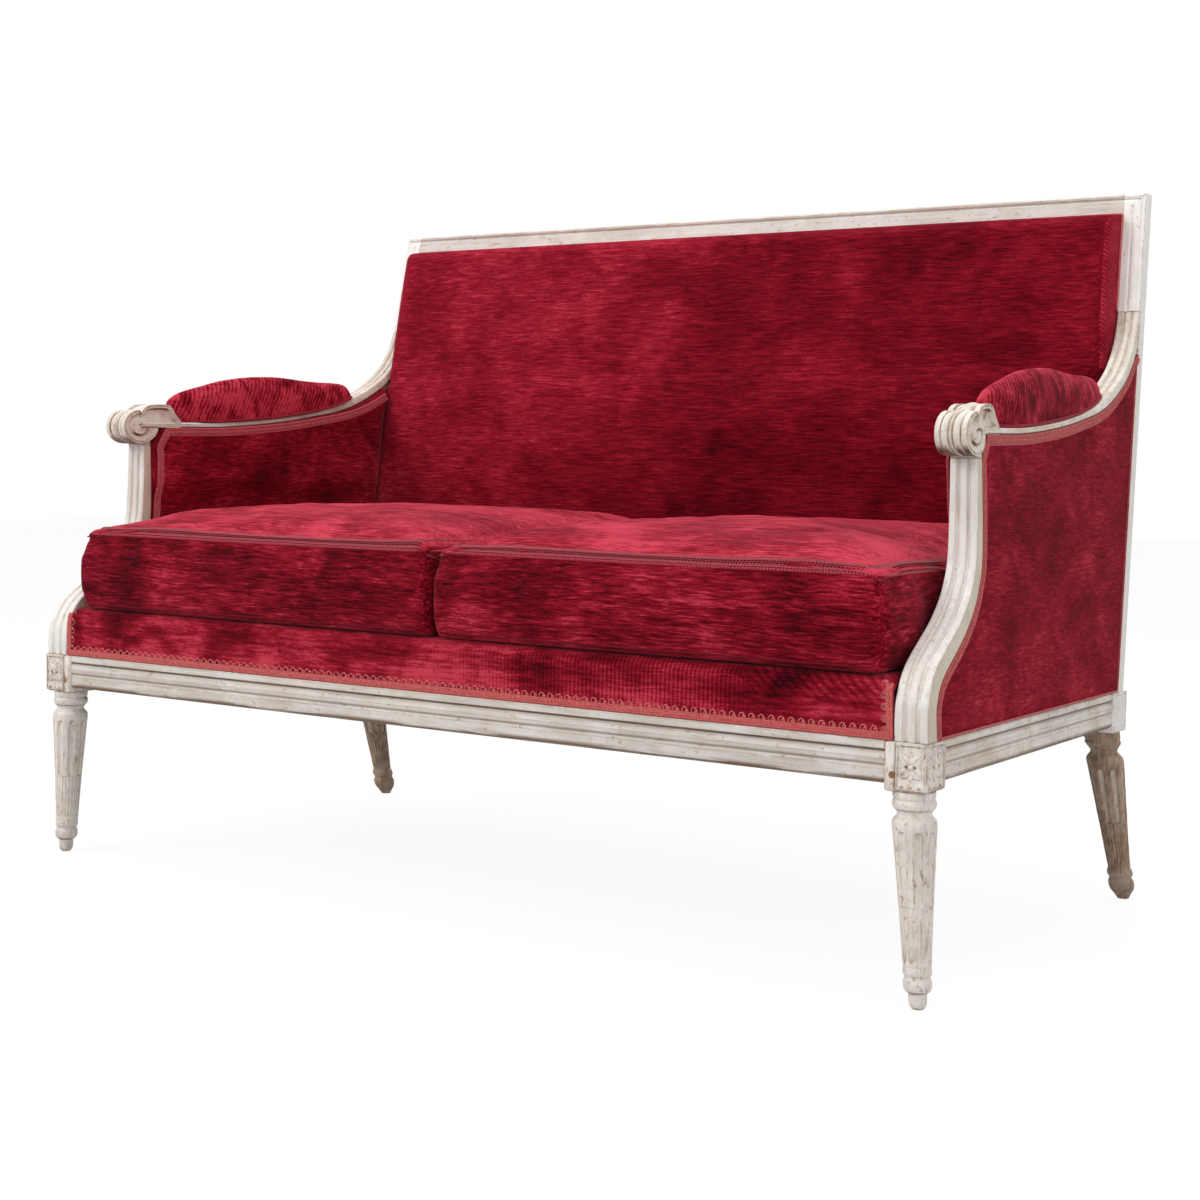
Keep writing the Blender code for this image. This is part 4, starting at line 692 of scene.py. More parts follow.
def plain_wood(name):
    look = Finish(name, 0.7)
    grain = look.noise(look.place((6, 0.6, 6)), 40, 6, 0.6, 0.4)
    rings = look.wave(look.place((1, 0.12, 1)), 34, "X", 6.0)
    tone = look.mix(look.spread(grain, 0.3, 0.7), srgb(172, 128, 84), srgb(128, 86, 52))
    tone = look.mix(look.spread(rings, 0.2, 1, 0, 0.35), tone, srgb(104, 66, 38))
    return look.done(tone, grain, 0.0006, 0.5)


def crimson_velvet(name, streak, strie, crush, blotches, tone, ribs=(), sheen=0.2, top=None, light_and_wear_ramps=(), ends=None):
    """Cut velvet: fine streaks along the cloth, crushed bands, soft rubbed patches and short pile.

    Ribs are (scale, direction, strength, place, shares), where a share is (axis, low, high); light_and_wear_ramps are
    (axis, low, high, change), painted light and shade across the cloth, with rubbed wear where a call says so; top is
    painted light, the change where the cloth faces up; ends is the streak where it faces sideways; and tone sets how
    light the whole copy is, partly painted light and shade for where it lies.
    """
    look = Finish(name, 0.9)

    def streaks(scale):
        flow = look.place(scale)
        return look.noise(flow, 430, 3, 0.62), look.noise(flow, 70, 4, 0.6, 0.5)

    fine, bands = streaks(streak)
    if ends:
        turned = look.spread(look.sums("ABSOLUTE", look.part(0, "Normal")), 0.55, 0.8)
        fine, bands = (look.blended(turned, a, b) for a, b in zip((fine, bands), streaks(ends)))
    blotch = look.noise(look.place(), 9, 5, 0.62, 0.5)
    rubbed = look.noise(look.place(), 2.6, 3)
    nap = look.noise(look.place(), 820, 2, 0.7)
    weights = (
        (fine, 1.5 * strie), (bands, 1.3 * crush), (blotch, 1.2 * blotches), (rubbed, 0.7 * blotches), (nap, 0.7),
    )
    value = 0.5 + tone - 0.5 * sum(weight for part, weight in weights)
    for part, weight in weights:
        value = look.plus(look.times(part, weight), value)
    height = look.plus(look.times(nap, 0.7), look.times(fine, 0.6))
    for scale, direction, strength, place, shares in ribs:
        rib = look.sums("SUBTRACT", look.wave(look.place(*place), scale, direction, 0.7, 1.2), 0.5)
        rib = look.times(rib, strength)
        for axis, low, high in shares:
            rib = look.times(rib, look.spread(look.part(axis), low, high))
        value = look.plus(value, rib)
        height = look.plus(height, look.times(rib, 0.6))
    # Lightness ramps along an axis: painted light and shade, and rubbed wear on the apron's foot.
    for axis, low, high, change in light_and_wear_ramps:
        value = look.plus(value, look.spread(look.part(axis), low, high, 0, change))
    # Lighter where the cloth faces up: painted light.
    if top:
        value = look.plus(value, look.spread(look.part(2, "Normal"), 0.35, 0.92, 0, top))
    ramp = look.tree.nodes.new("ShaderNodeValToRGB")
    stops = ramp.color_ramp.elements
    stops[0].position, stops[0].color = 0.0, srgb(46, 0, 7)
    stops[1].position, stops[1].color = 1.0, srgb(196, 60, 78)
    for place, colour in VELVET_TONES:
        stop = stops.new(place)
        stop.color = srgb(*colour)
    plug(ramp, {0: value})
    return look.done(
        ramp.outputs[0], height, 0.0008, 0.5, Sheen_Weight=sheen, Sheen_Roughness=0.38,
        Sheen_Tint=(1.0, 0.30, 0.40, 1), Specular_IOR_Level=0.06,
    )


def rose_weave(name, colours, ribs):
    """Woven braid, ribbed across its length."""
    look = Finish(name, 0.8)
    dark, light, yarns = (srgb(*colour) for colour in colours)
    rib = look.wave(look.place(which="UV"), ribs, "Y", 0.4, 3)
    cross = look.wave(look.place(which="UV"), ribs * 0.8, "X", 0.6, 3)
    yarn = look.noise(look.place(), 500, 3)
    weave = look.times(rib, look.spread(cross, 0, 1, 0.6, 1))
    tone = look.mix(look.spread(weave, 0.1, 0.9), dark, light)
    tone = look.mix(look.spread(yarn, 0.4, 0.7, 0, 0.5), tone, yarns)
    return look.done(
        tone, look.plus(weave, look.times(yarn, 0.4)), 0.0005, 0.7, Sheen_Weight=0.25, Sheen_Roughness=0.5,
        Sheen_Tint=(1.0, 0.7, 0.68, 1), Specular_IOR_Level=0.2,
    )


def rose_thread(name, dark, light, sheen=0.15):
    look = Finish(name, 0.75)
    twist = look.noise(look.place(), 700, 3)
    tone = look.mix(look.spread(twist, 0.35, 0.65), srgb(*dark), srgb(*light))
    return look.done(
        tone, twist, 0.0004, 0.5, Sheen_Weight=sheen, Sheen_Tint=(1.0, 0.5, 0.5, 1), Specular_IOR_Level=0.1
    )


def plain_cloth(name, dark, light, thread):
    """Plain-woven cloth of visible threads."""
    look = Finish(name, 0.92)
    one, two, three = (look.wave(look.place(), thread, axis, 0.8, 3) for axis in "XYZ")
    weave = look.times(look.sums("MAXIMUM", one, two), three)
    slub = look.spread(look.noise(look.place(), 160, 4), 0.3, 0.7, 0.5, 1)
    tone = look.mix(look.times(look.spread(weave, 0.1, 0.9), slub), srgb(*dark), srgb(*light))
    return look.done(tone, weave, 0.0005, 0.6, Specular_IOR_Level=0.15)


def packed_hair(name):
    look = Finish(name, 0.95)
    strands = look.noise(look.place((1, 4, 2)), 90, 8, 0.75, 1.2)
    tone = look.mix(look.spread(strands, 0.35, 0.65), srgb(58, 46, 38), srgb(122, 102, 84))
    return look.done(tone, strands, 0.004, 0.9)


VELVET_TONES = ((0.28, (86, 1, 16)), (0.50, (117, 8, 27)), (0.74, (150, 24, 43)))
POST_TONES = ((236, 232, 227), (220, 214, 206))
RAIL_TONES = ((218, 213, 207), (200, 192, 184))
ARM_TONES = ((231, 225, 217), (212, 203, 192))
LEG_TONES = ((233, 226, 218), (215, 207, 198))
STILE_TONES = ((244, 241, 237), (234, 229, 223))
FLUTE_TONES = ((206, 194, 180), (176, 158, 140))
SIDE_RAIL_TONES = ((231, 226, 220), (213, 205, 197))
UPRIGHT_GRAIN = (1.6, 1.6, 0.16)
# Each paint's sixth value is the colour in its grooves: grime and painted shade together.
# worn_paint_up's last value is painted shade on the posts' side faces.
WORN_PAINT_UP = worn_paint("worn_paint_up", UPRIGHT_GRAIN, 0.15, POST_TONES, 0.42, (168, 148, 128), 0.9, 0.8)
WORN_PAINT_LEG = worn_paint("worn_paint_leg", (1.6, 1.6, 0.3), 1.25, LEG_TONES, 0.5, (140, 122, 106), 0.8)
WORN_PAINT_REAR = worn_paint("worn_paint_rear", UPRIGHT_GRAIN, 0.2, STILE_TONES, 0.25, (170, 156, 142), 0.6)
WORN_PAINT_LONG = worn_paint("worn_paint_long", (1.2, 0.3, 1.2), 0.8, ARM_TONES, 0.4, (158, 124, 94), 0.9, stain=0.35)
WORN_PAINT_ACROSS = worn_paint(
    "worn_paint_across", (0.10, 1.4, 1.6), 0.8, RAIL_TONES, 0.4, (182, 171, 161), 1.0, stain=0.15, foot=RAIL_BOTTOM
)
WORN_PAINT_DEEP = worn_paint(
    "worn_paint_deep", (1.4, 0.10, 1.6), 0.8, SIDE_RAIL_TONES, 0.4, (192, 178, 164), 1.0, stain=0.5, foot=RAIL_BOTTOM
)
RUBBED_LEG = bare_leg("rubbed_leg")
FLUTE_PAINT = worn_paint("flute_paint", UPRIGHT_GRAIN, 1.0, FLUTE_TONES, 0.6, (120, 96, 78), 0.5)
BARE_WOOD = plain_wood("bare_beech")
LEVEL, UPRIGHT = ((1, 1, 1), (0, 0, 0)), ((1, 1, 1), (0, 0.9, 0))
# These velvets are copies of one cloth, each set lighter or darker for where it lies: partly painted light and shade.
# The back's ramps make it lighter upwards and towards -X: painted light and shade.
BACK_VELVET = crimson_velvet(
    "crimson_velvet_back", (0.08, 1, 1), 0.75, 0.16, 0.75, -0.06, sheen=0.16,
    light_and_wear_ramps=((2, 0.5, 0.9, 0.06), (0, 0.30, -0.60, 0.20)),
)
# Its top value lightens the cloth where it faces up: painted light.
CUSHION_VELVET = crimson_velvet(
    "crimson_velvet_cushion", (0.085, 1, 1), 1.15, 0.6, 1.1, -0.02, sheen=0.2, top=0.38, ends=(1, 0.1, 0.6)
)
# Its ramps make it darker towards +X, which is painted light, and lighter just above the seat rails, which is rubbed
# wear.
APRON_VELVET = crimson_velvet(
    "crimson_velvet_apron", (0.11, 1, 1), 0.7, 0.8, 1.5, 0.08, (
        (54, "X", 0.26, LEVEL, ((0, 0.49, 0.45), (0, -0.1, 0.32))),
        (38, "X", 0.24, UPRIGHT, ((0, 0.45, 0.50), (2, 0.32, 0.345))),
    ), 0.22, light_and_wear_ramps=((0, -0.4, 0.5, -0.10), (2, SEAT_TOP + 0.045, SEAT_TOP + 0.014, 0.14)),
)
SIDE_VELVET = crimson_velvet("crimson_velvet_side", (1, 0.12, 1), 0.7, 0.25, 0.9, 0.11, sheen=0.08)
ARM_VELVET = crimson_velvet("crimson_velvet_arm", (1, 0.10, 1), 0.85, 0.3, 1.3, -0.02, sheen=0.2)
# Its top value lightens the pad where it faces up: painted light.
PAD_VELVET = crimson_velvet(
    "crimson_velvet_pad", (0.5, 0.9, 0.5), 0.6, 1.2, 2.0, 0.20, ((46, "Y", 0.30, ((1, 1, 1), (0.45, 0, 0)), ()),),
    0.14, top=0.12,
)
# A lighter copy of the back's velvet for the walls that face the side: painted light.
LIT_WALL_VELVET = crimson_velvet(
    "crimson_velvet_wall_lit", (1, 1, 1), 0.5, 0.4, 0.6, 0.22, ((60, "Z", 0.22, ((1, 1, 1), (0.7, 0, 0)), ()),), 0.2
)
ROSE_BAND = rose_weave("rose_band", ((150, 40, 52), (216, 96, 96), (232, 136, 124)), 115)
ROSE_THREAD = rose_thread("rose_thread", (180, 72, 78), (226, 136, 130))
CHAIN_BAND = rose_weave("chain_band", ((96, 12, 28), (160, 38, 56), (184, 62, 78)), 90)
WELT_CLOTH = rose_weave("welt_cloth", ((120, 14, 32), (188, 48, 66), (208, 78, 92)), 70)
WINE_THREAD = rose_thread("wine_thread", (112, 14, 32), (172, 44, 62))
PINK_BAND = rose_weave("pink_band", ((140, 36, 52), (204, 84, 98), (220, 116, 122)), 115)
PINK_THREAD = rose_thread("pink_thread", (176, 64, 78), (228, 128, 132))
DARK_CORD = rose_thread("wine_cord", (80, 4, 20), (126, 20, 38), 0.0)
HESSIAN = plain_cloth("hessian", (110, 90, 62), (176, 152, 114), 260)
WEBBING = plain_cloth("jute_webbing", (120, 98, 66), (188, 164, 124), 150)
BLACK_CLOTH = plain_cloth("black_lining", (14, 14, 15), (38, 37, 38), 300)
HORSEHAIR = packed_hair("horsehair")


# Making meshes

def finished(name, mesh, looks, smooth_angle=35, closed=True):
    """Turns a bmesh into a named, smooth object whose faces point out."""
    bmesh.ops.recalc_face_normals(mesh, faces=mesh.faces)
    if closed and mesh.calc_volume(signed=True) < 0:
        bmesh.ops.reverse_faces(mesh, faces=mesh.faces)
    data = bpy.data.meshes.new(name)
    mesh.to_mesh(data)
    mesh.free()
    for look in looks:
        data.materials.append(look)
    data.shade_smooth()
    if smooth_angle:
        data.set_sharp_from_angle(angle=math.radians(smooth_angle))
    made = bpy.data.objects.new(name, data)
    bpy.context.collection.objects.link(made)
    return made


def running_length(points, around=False):
    """Distance along the points from the first one, and back to it where they go around."""
    run = [0.0]
    ends = points[1:] + points[:1] if around else points[1:]
    for a, b in zip(points, ends):
        run.append(run[-1] + math.dist(a, b))
    return run


def add_grid(mesh, rows, round_rows=False, round_columns=False, look=0):
    """Faces over rows of points, with a UV map in metres; returns the rows of corners."""
    layer = mesh.loops.layers.uv.verify()
    corners = [[mesh.verts.new(point) for point in row] for row in rows]
    middle = rows[len(rows) // 2]
    u = running_length(middle, round_rows)
    column = [row[len(row) // 2] for row in rows]
    v = running_length(column, round_columns)
    count, high = len(middle), len(rows)
    for j in range(high if round_columns else high - 1):
        for i in range(count if round_rows else count - 1):
            ni, nj = (i + 1) % count, (j + 1) % high
            face = mesh.faces.new((corners[j][i], corners[j][ni], corners[nj][ni], corners[nj][i]))
            face.material_index = look
            places = ((u[i], v[j]), (u[i + 1], v[j]), (u[i + 1], v[j + 1]), (u[i], v[j + 1]))
            for loop, place in zip(face.loops, places):
                loop[layer].uv = place
    return corners


def add_loft(mesh, loops):
    """A closed body through loops of as many points each."""
    corners = add_grid(mesh, loops, round_rows=True)
    for ring in (corners[0], corners[-1]):
        mesh.faces.new(ring)
    return corners


def add_slab(mesh, front, rear):
    """A closed slab between two grids of as many points each."""
    edges = []
    for rows in (front, rear):
        corners = add_grid(mesh, rows)
        first, last = corners[0], corners[-1]
        left, right = [row[0] for row in corners], [row[-1] for row in corners]
        edges.append(first + right[1:] + last[::-1][1:] + left[::-1][1:-1])
    for i in range(len(edges[0])):
        mesh.faces.new((edges[0][i - 1], edges[0][i], edges[1][i], edges[1][i - 1]))


def refine(points, steps, corner=35):
    """A smooth curve through the points that keeps corners sharper than an angle."""
    kinks = [0]
    for i in range(1, len(points) - 1):
        a = [q - p for p, q in zip(points[i - 1], points[i])]
        b = [q - p for p, q in zip(points[i], points[i + 1])]
        size = math.hypot(*a) * math.hypot(*b)
        cosine = sum(p * q for p, q in zip(a, b)) / size if size else 1
        if cosine < math.cos(math.radians(corner)):
            kinks.append(i)
    kinks.append(len(points) - 1)
    curve = []
    for start, end in zip(kinks, kinks[1:]):
        curve += smooth_curve(points[start:end + 1], steps)[:-1]
    return curve + [tuple(points[-1])]


def even(points, count):
    """So many points at even distances along a path."""
    run = running_length(points)
    total = run[-1]
    placed, i = [], 0
    for k in range(count):
        want = total * k / (count - 1)
        while i < len(run) - 2 and run[i + 1] < want:
            i += 1
        span = run[i + 1] - run[i]
        t = min(max((want - run[i]) / span, 0), 1) if span else 0
        placed.append(tuple(blend(a, b, t) for a, b in zip(points[i], points[i + 1])))
    return placed


def table_value(table, share):
    """A value between the rows of a table of (share, value)."""
    for (s0, v0), (s1, v1) in zip(table, table[1:]):
        if share <= s1:
            return blend(v0, v1, (share - s0) / (s1 - s0) if s1 > s0 else 0)
    return table[-1][1]


def bump_shape(off, width):
    """One in the middle, nothing at a width, rounded between."""
    near = min(abs(off) / width, 1)
    return math.sqrt(1 - near * near)


def rippled(point, size, seed=0.0):
    x, y, z = point
    return noise.noise(Vector((x / size + seed, y / size + 2 * seed, z / size - seed)))


def smooth_step(share):
    share = min(max(share, 0), 1)
    return share * share * (3 - 2 * share)


# Turned and carved wood

def leg_profile(shares, steps=300):
    """Rows down the leg: share of the height and radius, softened like worn turning."""
    radii = [(down, LEG_RADIUS * wide) for down, wide, flute in shares]
    rows = [[k / steps, table_value(radii, k / steps)] for k in range(steps + 1)]
    for again in range(2):
        soft = [row[1] for row in rows]
        for k in range(1, steps):
            rows[k][1] = (soft[k - 1] + 2 * soft[k] + soft[k + 1]) / 4
    return rows


def flute_span(shares):
    deep = [down for down, wide, flute in shares if flute == 1.0]
    filled = [down for down, wide, flute in shares if 0 < flute < 1.0]
    return deep[0], deep[-1], filled[-1]


def flute_cut(angle, down, radius, span, first, depth):
    """Depth of the carving at a place on the leg: open flutes above, thin reeds below."""
    start, middle, end = span
    pitch = 2 * math.pi / LEG_FLUTES
    off = ((angle - first) / pitch + 0.5) % 1 - 0.5
    if down < start or down > end:
        return 0
    if down >= middle:
        reeds = 0.5 - 0.5 * math.cos(2 * math.pi * 3 * (off + 1 / 6))
        return depth * 0.36 * reeds * min((end - down) * BLOCK_BOTTOM / 0.003, 1)
    if abs(off) > FLUTE_HALF:
        return 0
    reach = FLUTE_HALF * pitch * radius
    edge = min(down - start, middle - down) * BLOCK_BOTTOM
    ending = bump_shape(reach - edge, reach) if edge < reach else 1
    across = off / FLUTE_HALF
    if abs(across) >= ending:
        return 0
    return depth * math.sqrt(1 - (across / ending) ** 2)


def add_leg(mesh, cx, cy, shares, splay, rake, first, depth):
    """A turned and fluted leg under its block; the floors of its flutes take the second finish."""
    span = flute_span(shares)
    loops, cuts = [], []
    for down, radius in reversed(leg_profile(shares)):
        z = BLOCK_BOTTOM * (1 - down)
        loop = []
        for k in range(LEG_POINTS):
            angle = 2 * math.pi * k / LEG_POINTS
            cut = flute_cut(angle, down, radius, span, first, depth)
            reach = radius - cut + 0.00025 * rippled((math.cos(angle), math.sin(angle), z * 60), 0.7, cx)
            loop.append((
                cx + splay * down + reach * math.cos(angle), cy + rake * down + reach * math.sin(angle), z
            ))
            cuts.append(cut if down < span[1] else 0)
        loops.append(loop)
    corners = add_loft(mesh, loops)
    deep = {corner for row, line in zip(corners, range(len(corners))) for k, corner in enumerate(row)
            if cuts[line * LEG_POINTS + k] > depth * 0.3}
    for face in {face for corner in deep for face in corner.link_faces}:
        if sum(corner in deep for corner in face.verts) > 2:
            face.material_index = 1


def add_box(mesh, x0, x1, y0, y1, z0, z1, edge):
    """A box with softened edges."""
    loops = []
    for z, inset in ((z0, edge), (z0 + edge * 0.3, edge * 0.3), (z0 + edge, 0), (z1 - edge, 0),
                     (z1 - edge * 0.3, edge * 0.3), (z1, edge)):
        ax, bx, ay, by = x0 + inset, x1 - inset, y0 + inset, y1 - inset
        c = edge
        loops.append([
            (ax + c, ay, z), (bx - c, ay, z), (bx, ay + c, z), (bx, by - c, z),
            (bx - c, by, z), (ax + c, by, z), (ax, by - c, z), (ax, ay + c, z),
        ])
    add_loft(mesh, loops)


def rosette_relief(u, v):
    """Height of the carving on a block's face, from -1 to 1 across and up: a four-leaved flower in a drilled frame."""
    x, y = u * DIE_WIDTH / 2, v * BLOCK_HEIGHT / 2
    r = math.hypot(x, y)
    height = 0.0002
    for k in range(4):
        a = math.pi / 4 + k * math.pi / 2
        px, py = math.cos(a), math.sin(a)
        along, across = (x * px + y * py) / 0.0200, (-x * py + y * px) / 0.0070
        if 0.08 < along < 1:
            wide = math.sin(math.pi * along ** 0.75)
            if abs(across) < wide:
                lobe = math.sqrt(1 - (across / wide) ** 2)
                height = max(height, 0.0027 * lobe * wide ** 0.4 - 0.0015 * math.exp(-(across / 0.16) ** 2))
    for k in range(4):
        a = k * math.pi / 2
        px, py = math.cos(a), math.sin(a)
        along, across = (x * px + y * py) / (0.0185 if k % 2 else 0.0135), (-x * py + y * px) / 0.0036
        if 0.25 < along < 1:
            wide = math.sin(math.pi * along) ** 1.2
            if abs(across) < wide:
                height = max(height, 0.0019 * math.sqrt(1 - (across / wide) ** 2) * wide ** 0.5)
    if r < 0.0034:
        height = max(height, 0.0029 * math.sqrt(1 - (r / 0.0034) ** 2) + 0.0003)
    for su in (-1, 1):
        for sv in (-1, 1):
            cx, cy = su * DIE_WIDTH / 2, sv * BLOCK_HEIGHT / 2
            rr = math.hypot(x - cx, y - cy)
            if rr < 0.0125:
                fan = 0.5 + 0.5 * math.cos(8 * math.atan2(y - cy, x - cx))
                height = max(height, 0.0021 * (1 - (rr / 0.0125) ** 4) * (0.35 + 0.65 * fan))
    for du, dv in ROSETTE_DOTS:
        rr = math.hypot(x - du * DIE_WIDTH / 2, y - dv * BLOCK_HEIGHT / 2)
        height -= 0.0042 * math.exp(-(rr / 0.0014) ** 4)
    rim = min(1 - abs(u), (1 - v if v > 0 else (1 + v) * 1.6) * BLOCK_HEIGHT / DIE_WIDTH * 0.62) * DIE_WIDTH / 2
    if rim < 0.0022:
        height = max(height, 0.0021) * min(rim / 0.0006, 1)
    return height


def framed_relief(u, v):
    """A rear block's side: a plain panel in a raised frame, with a narrow leaf strip along its front."""
    x, y = (u + 0.72) * BLOCK_SIDE / 2, v * BLOCK_HEIGHT / 2
    height = 0.0016
    rim = min(1 - abs(u), 1 - abs(v))
    if 0.10 < rim < 0.22:
        height = 0.0006
    if abs(x) < 0.0048 and abs(y) < BLOCK_HEIGHT * 0.4:
        height = 0.0008 + 0.0012 * abs(math.sin(260 * (y + 1.2 * abs(x)))) * math.sqrt(1 - (x / 0.0048) ** 2)
    return height if rim > 0.02 else 0.0002


def add_die(mesh, origin, across, up, out, width, height, relief, steps=(80, 112)):
    """A carved plate whose face lies on a plane, with its relief standing out from it."""
    nu, nv = steps
    front, rear = [], []
    for j in range(nv + 1):
        v = 2 * j / nv - 1
        front.append([])
        rear.append([])
        for i in range(nu + 1):
            u = 2 * i / nu - 1
            base = origin + across * (width / 2 * u) + up * (height / 2 * v)
            front[-1].append(tuple(base + out * (0.0003 + relief(u, v))))
            rear[-1].append(tuple(base - out * 0.004))
    add_slab(mesh, front, rear)


def front_leg(side, word):
    """The front leg with its block, carved on its front and outer faces."""
    mesh = bmesh.new()
    cx, cy = side * (WIDTH - BLOCK_SIDE) / 2, FRONT + BLOCK_SIDE / 2
    add_leg(mesh, cx, cy, CARVED_FRONT_LEG, side * FRONT_LEG_SPLAY, 0, math.radians(90 - 102 * side), FLUTE_DEPTH)
    outer, inner = side * WIDTH / 2, side * (WIDTH / 2 - BLOCK_SIDE)
    die_middle = outer - side * DIE_WIDTH / 2
    sunk = 0.0019
    strip = side * (WIDTH / 2 - DIE_WIDTH)
    low, high = min(strip, inner), max(strip, inner)
    add_box(mesh, low, high, FRONT + 0.0006, FRONT + BLOCK_SIDE, BLOCK_BOTTOM, SEAT_TOP, 0.0022)
    low, high = min(strip, outer - side * sunk), max(strip, outer - side * sunk)
    add_box(mesh, low, high, FRONT + sunk, FRONT + BLOCK_SIDE, BLOCK_BOTTOM + 0.0004, SEAT_TOP, 0.0008)
    middle = (BLOCK_BOTTOM + SEAT_TOP) / 2 + 0.001
    add_die(
        mesh, Vector((die_middle, FRONT + sunk, middle)), Vector((side, 0, 0)), Vector((0, 0, 1)),
        Vector((0, -1, 0)), DIE_WIDTH - 0.0006, BLOCK_HEIGHT - 0.002, rosette_relief,
    )
    add_die(
        mesh, Vector((outer - side * sunk, FRONT + BLOCK_SIDE / 2 + 0.0004, middle)), Vector((0, 1, 0)),
        Vector((0, 0, 1)), Vector((side, 0, 0)), BLOCK_SIDE - 0.003, BLOCK_HEIGHT - 0.002, rosette_relief,
    )
    leg = finished("front_leg_wood_" + word, mesh, [WORN_PAINT_LEG, WORN_PAINT_LEG])
    hold(leg, "front_leg_" + word, slot="painted_wood")


def hold(piece, *nodes, slot=None, body="settee_frame"):
    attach(piece, body)
    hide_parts(*nodes)
    return piece


def stile_row(side, z, depth):
    """Fine section of the back frame's upright, whose groove turns at the top as on a mitre."""
    loop = []
    down = HEIGHT - z
    for k in range(STILE_POINTS + 1):
        share = k / STILE_POINTS
        from_side = STILE_WIDTH * (1 - share)
        groove = table_value(FRAME_FACE_SHARES, share)
        if down < TOP_RAIL_HEIGHT and down < from_side * TOP_RAIL_HEIGHT / STILE_WIDTH:
            groove = table_value(TOP_RAIL_FACE_SHARES, 1 - down / TOP_RAIL_HEIGHT)
        y = back_y(z, depth - MOULDING_GROOVE * groove)
        loop.append((side * side_x(y, z, STILE_INSET + from_side), y, z))
    for share in (0, 0.12, 0.88, 1):
        y = back_y(z, 0 if 0 < share < 1 else 0.0012)
        loop.append((side * side_x(y, z, STILE_INSET + STILE_WIDTH * share), y, z))
    return loop


def rear_post(side, word):
    """The back leg, its block and the upright of the back frame."""
    mesh = bmesh.new()
    cx = side * (REAR_WIDTH - BLOCK_SIDE) / 2
    cy = FRONT + SEAT_DEPTH - BLOCK_SIDE / 2
    add_leg(mesh, cx, cy, CARVED_REAR_LEG, side * REAR_LEG_SPLAY, REAR_LEG_RAKE, 0, FLUTE_DEPTH * 1.25)
    for face in mesh.faces:
        face.material_index = 2 if face.material_index else 1
    half = BLOCK_SIDE / 2
    add_box(mesh, cx - half, cx + half, cy - half, cy + half, BLOCK_BOTTOM, SEAT_TOP, 0.0018)
    loops = []
    steps = 40
    for k in range(steps + 1):
        loops.append(stile_row(side, blend(SEAT_TOP - STILE_INSET, ARM_JOINT, k / steps), STILE_DEPTH_LOWER))
    for k in range(steps + 1):
        loops.append(stile_row(side, blend(ARM_JOINT + 0.0002, HEIGHT - TOP_RAIL_HEIGHT, k / steps), STILE_DEPTH_UPPER))
    for k in range(1, 25):
        loops.append(stile_row(side, blend(HEIGHT - TOP_RAIL_HEIGHT, HEIGHT, k / 24), STILE_DEPTH_UPPER))
    add_loft(mesh, loops)
    middle = Vector((cx + side * half, cy, (BLOCK_BOTTOM + SEAT_TOP) / 2))
    add_die(
        mesh, middle - Vector((side * 0.0016, 0, 0)), Vector((0, 1, 0)), Vector((0, 0, 1)), Vector((side, 0, 0)),
        BLOCK_SIDE * 0.9, BLOCK_HEIGHT * 0.92, framed_relief, (50, 60),
    )
    post = finished("rear_post_wood_" + word, mesh, [WORN_PAINT_REAR, RUBBED_LEG, FLUTE_PAINT])
    hold(post, "rear_post_" + word, slot="painted_wood")


def reeded_face():
    """Fine face of the arm's moulding: share of the width, share of the groove."""
    face = []
    for k in range(REED_POINTS + 1):
        share = k / REED_POINTS
        groove = 0.0
        for middle in (0.33, 0.67):
            groove = max(groove, bump_shape(share - middle, 0.06))
        rim = min(share, 1 - share) / 0.09
        if rim < 1:
            groove = max(groove, 0.7 * (1 - math.sqrt(1 - (1 - rim) ** 2)))
        face.append((share, groove))
    return face


def fine_section(side, y, z, dy, dz, width, edge, core):
    face = [(width * share, REED_GROOVE * groove) for share, groove in reeded_face()]
    inner = min(CORE_INNER, width - CORE_OUTER)
    soft = min(0.0009, edge * 0.2)
    rear = [
        (width, edge - soft), (width - soft, edge), (inner, edge), (inner, edge + core),
        (CORE_OUTER, edge + core), (CORE_OUTER, edge), (soft, edge), (0.0, edge - soft),
    ]
    loop = []
    for inward, depth in face + rear:
        py, pz = y + dy * depth, z + dz * depth
        loop.append((side * side_x(py, pz, inward), py, pz))
    return loop


def arm_post(side, word):
    curve, turned = post_curve()
    curve = refine(curve, 4, 80)
    turned = into_depth(curve, (1, 0), (1, 0))
    loops = []
    for (y, z), (dy, dz) in zip(curve, turned):
        share = post_share(z)
        width = blend(POST_FOOT_WIDTH, POST_TOP_WIDTH, share)
        edge = blend(POST_FOOT_THICKNESS, POST_TOP_THICKNESS, share)
        loops.append(fine_section(side, y, z - FIT * share, dy, dz, width, edge, TACKING_CORE))
    mesh = bmesh.new()
    add_loft(mesh, loops)
    post = finished("arm_post_wood_" + word, mesh, [WORN_PAINT_UP])
    hold(post, "arm_post_" + word, slot="painted_wood")


def scroll_radius(share):
    """Radius of the scroll at a share of its width: two round lobes with a bead between and a rim at each end."""
    for start, end, drop in SCROLL_LOBES:
        if share <= end:
            off = abs(2 * (share - start) / (end - start) - 1)
            return DRUM_RADIUS * (1 - drop * (1 - math.sqrt(max(1 - off * off, 0))))
    return DRUM_RADIUS


def cap_top(steps=5):
    """Top of the cap as (y, z), from over the scroll's centre back to the thin arm."""
    return [
        (FRONT + SCROLL_DEPTH + CAP_LENGTH * along, ARM_FRONT_TOP + CAP_HEIGHT * high)
        for along, high in smooth_curve(CARVED_CAP, steps)
    ]


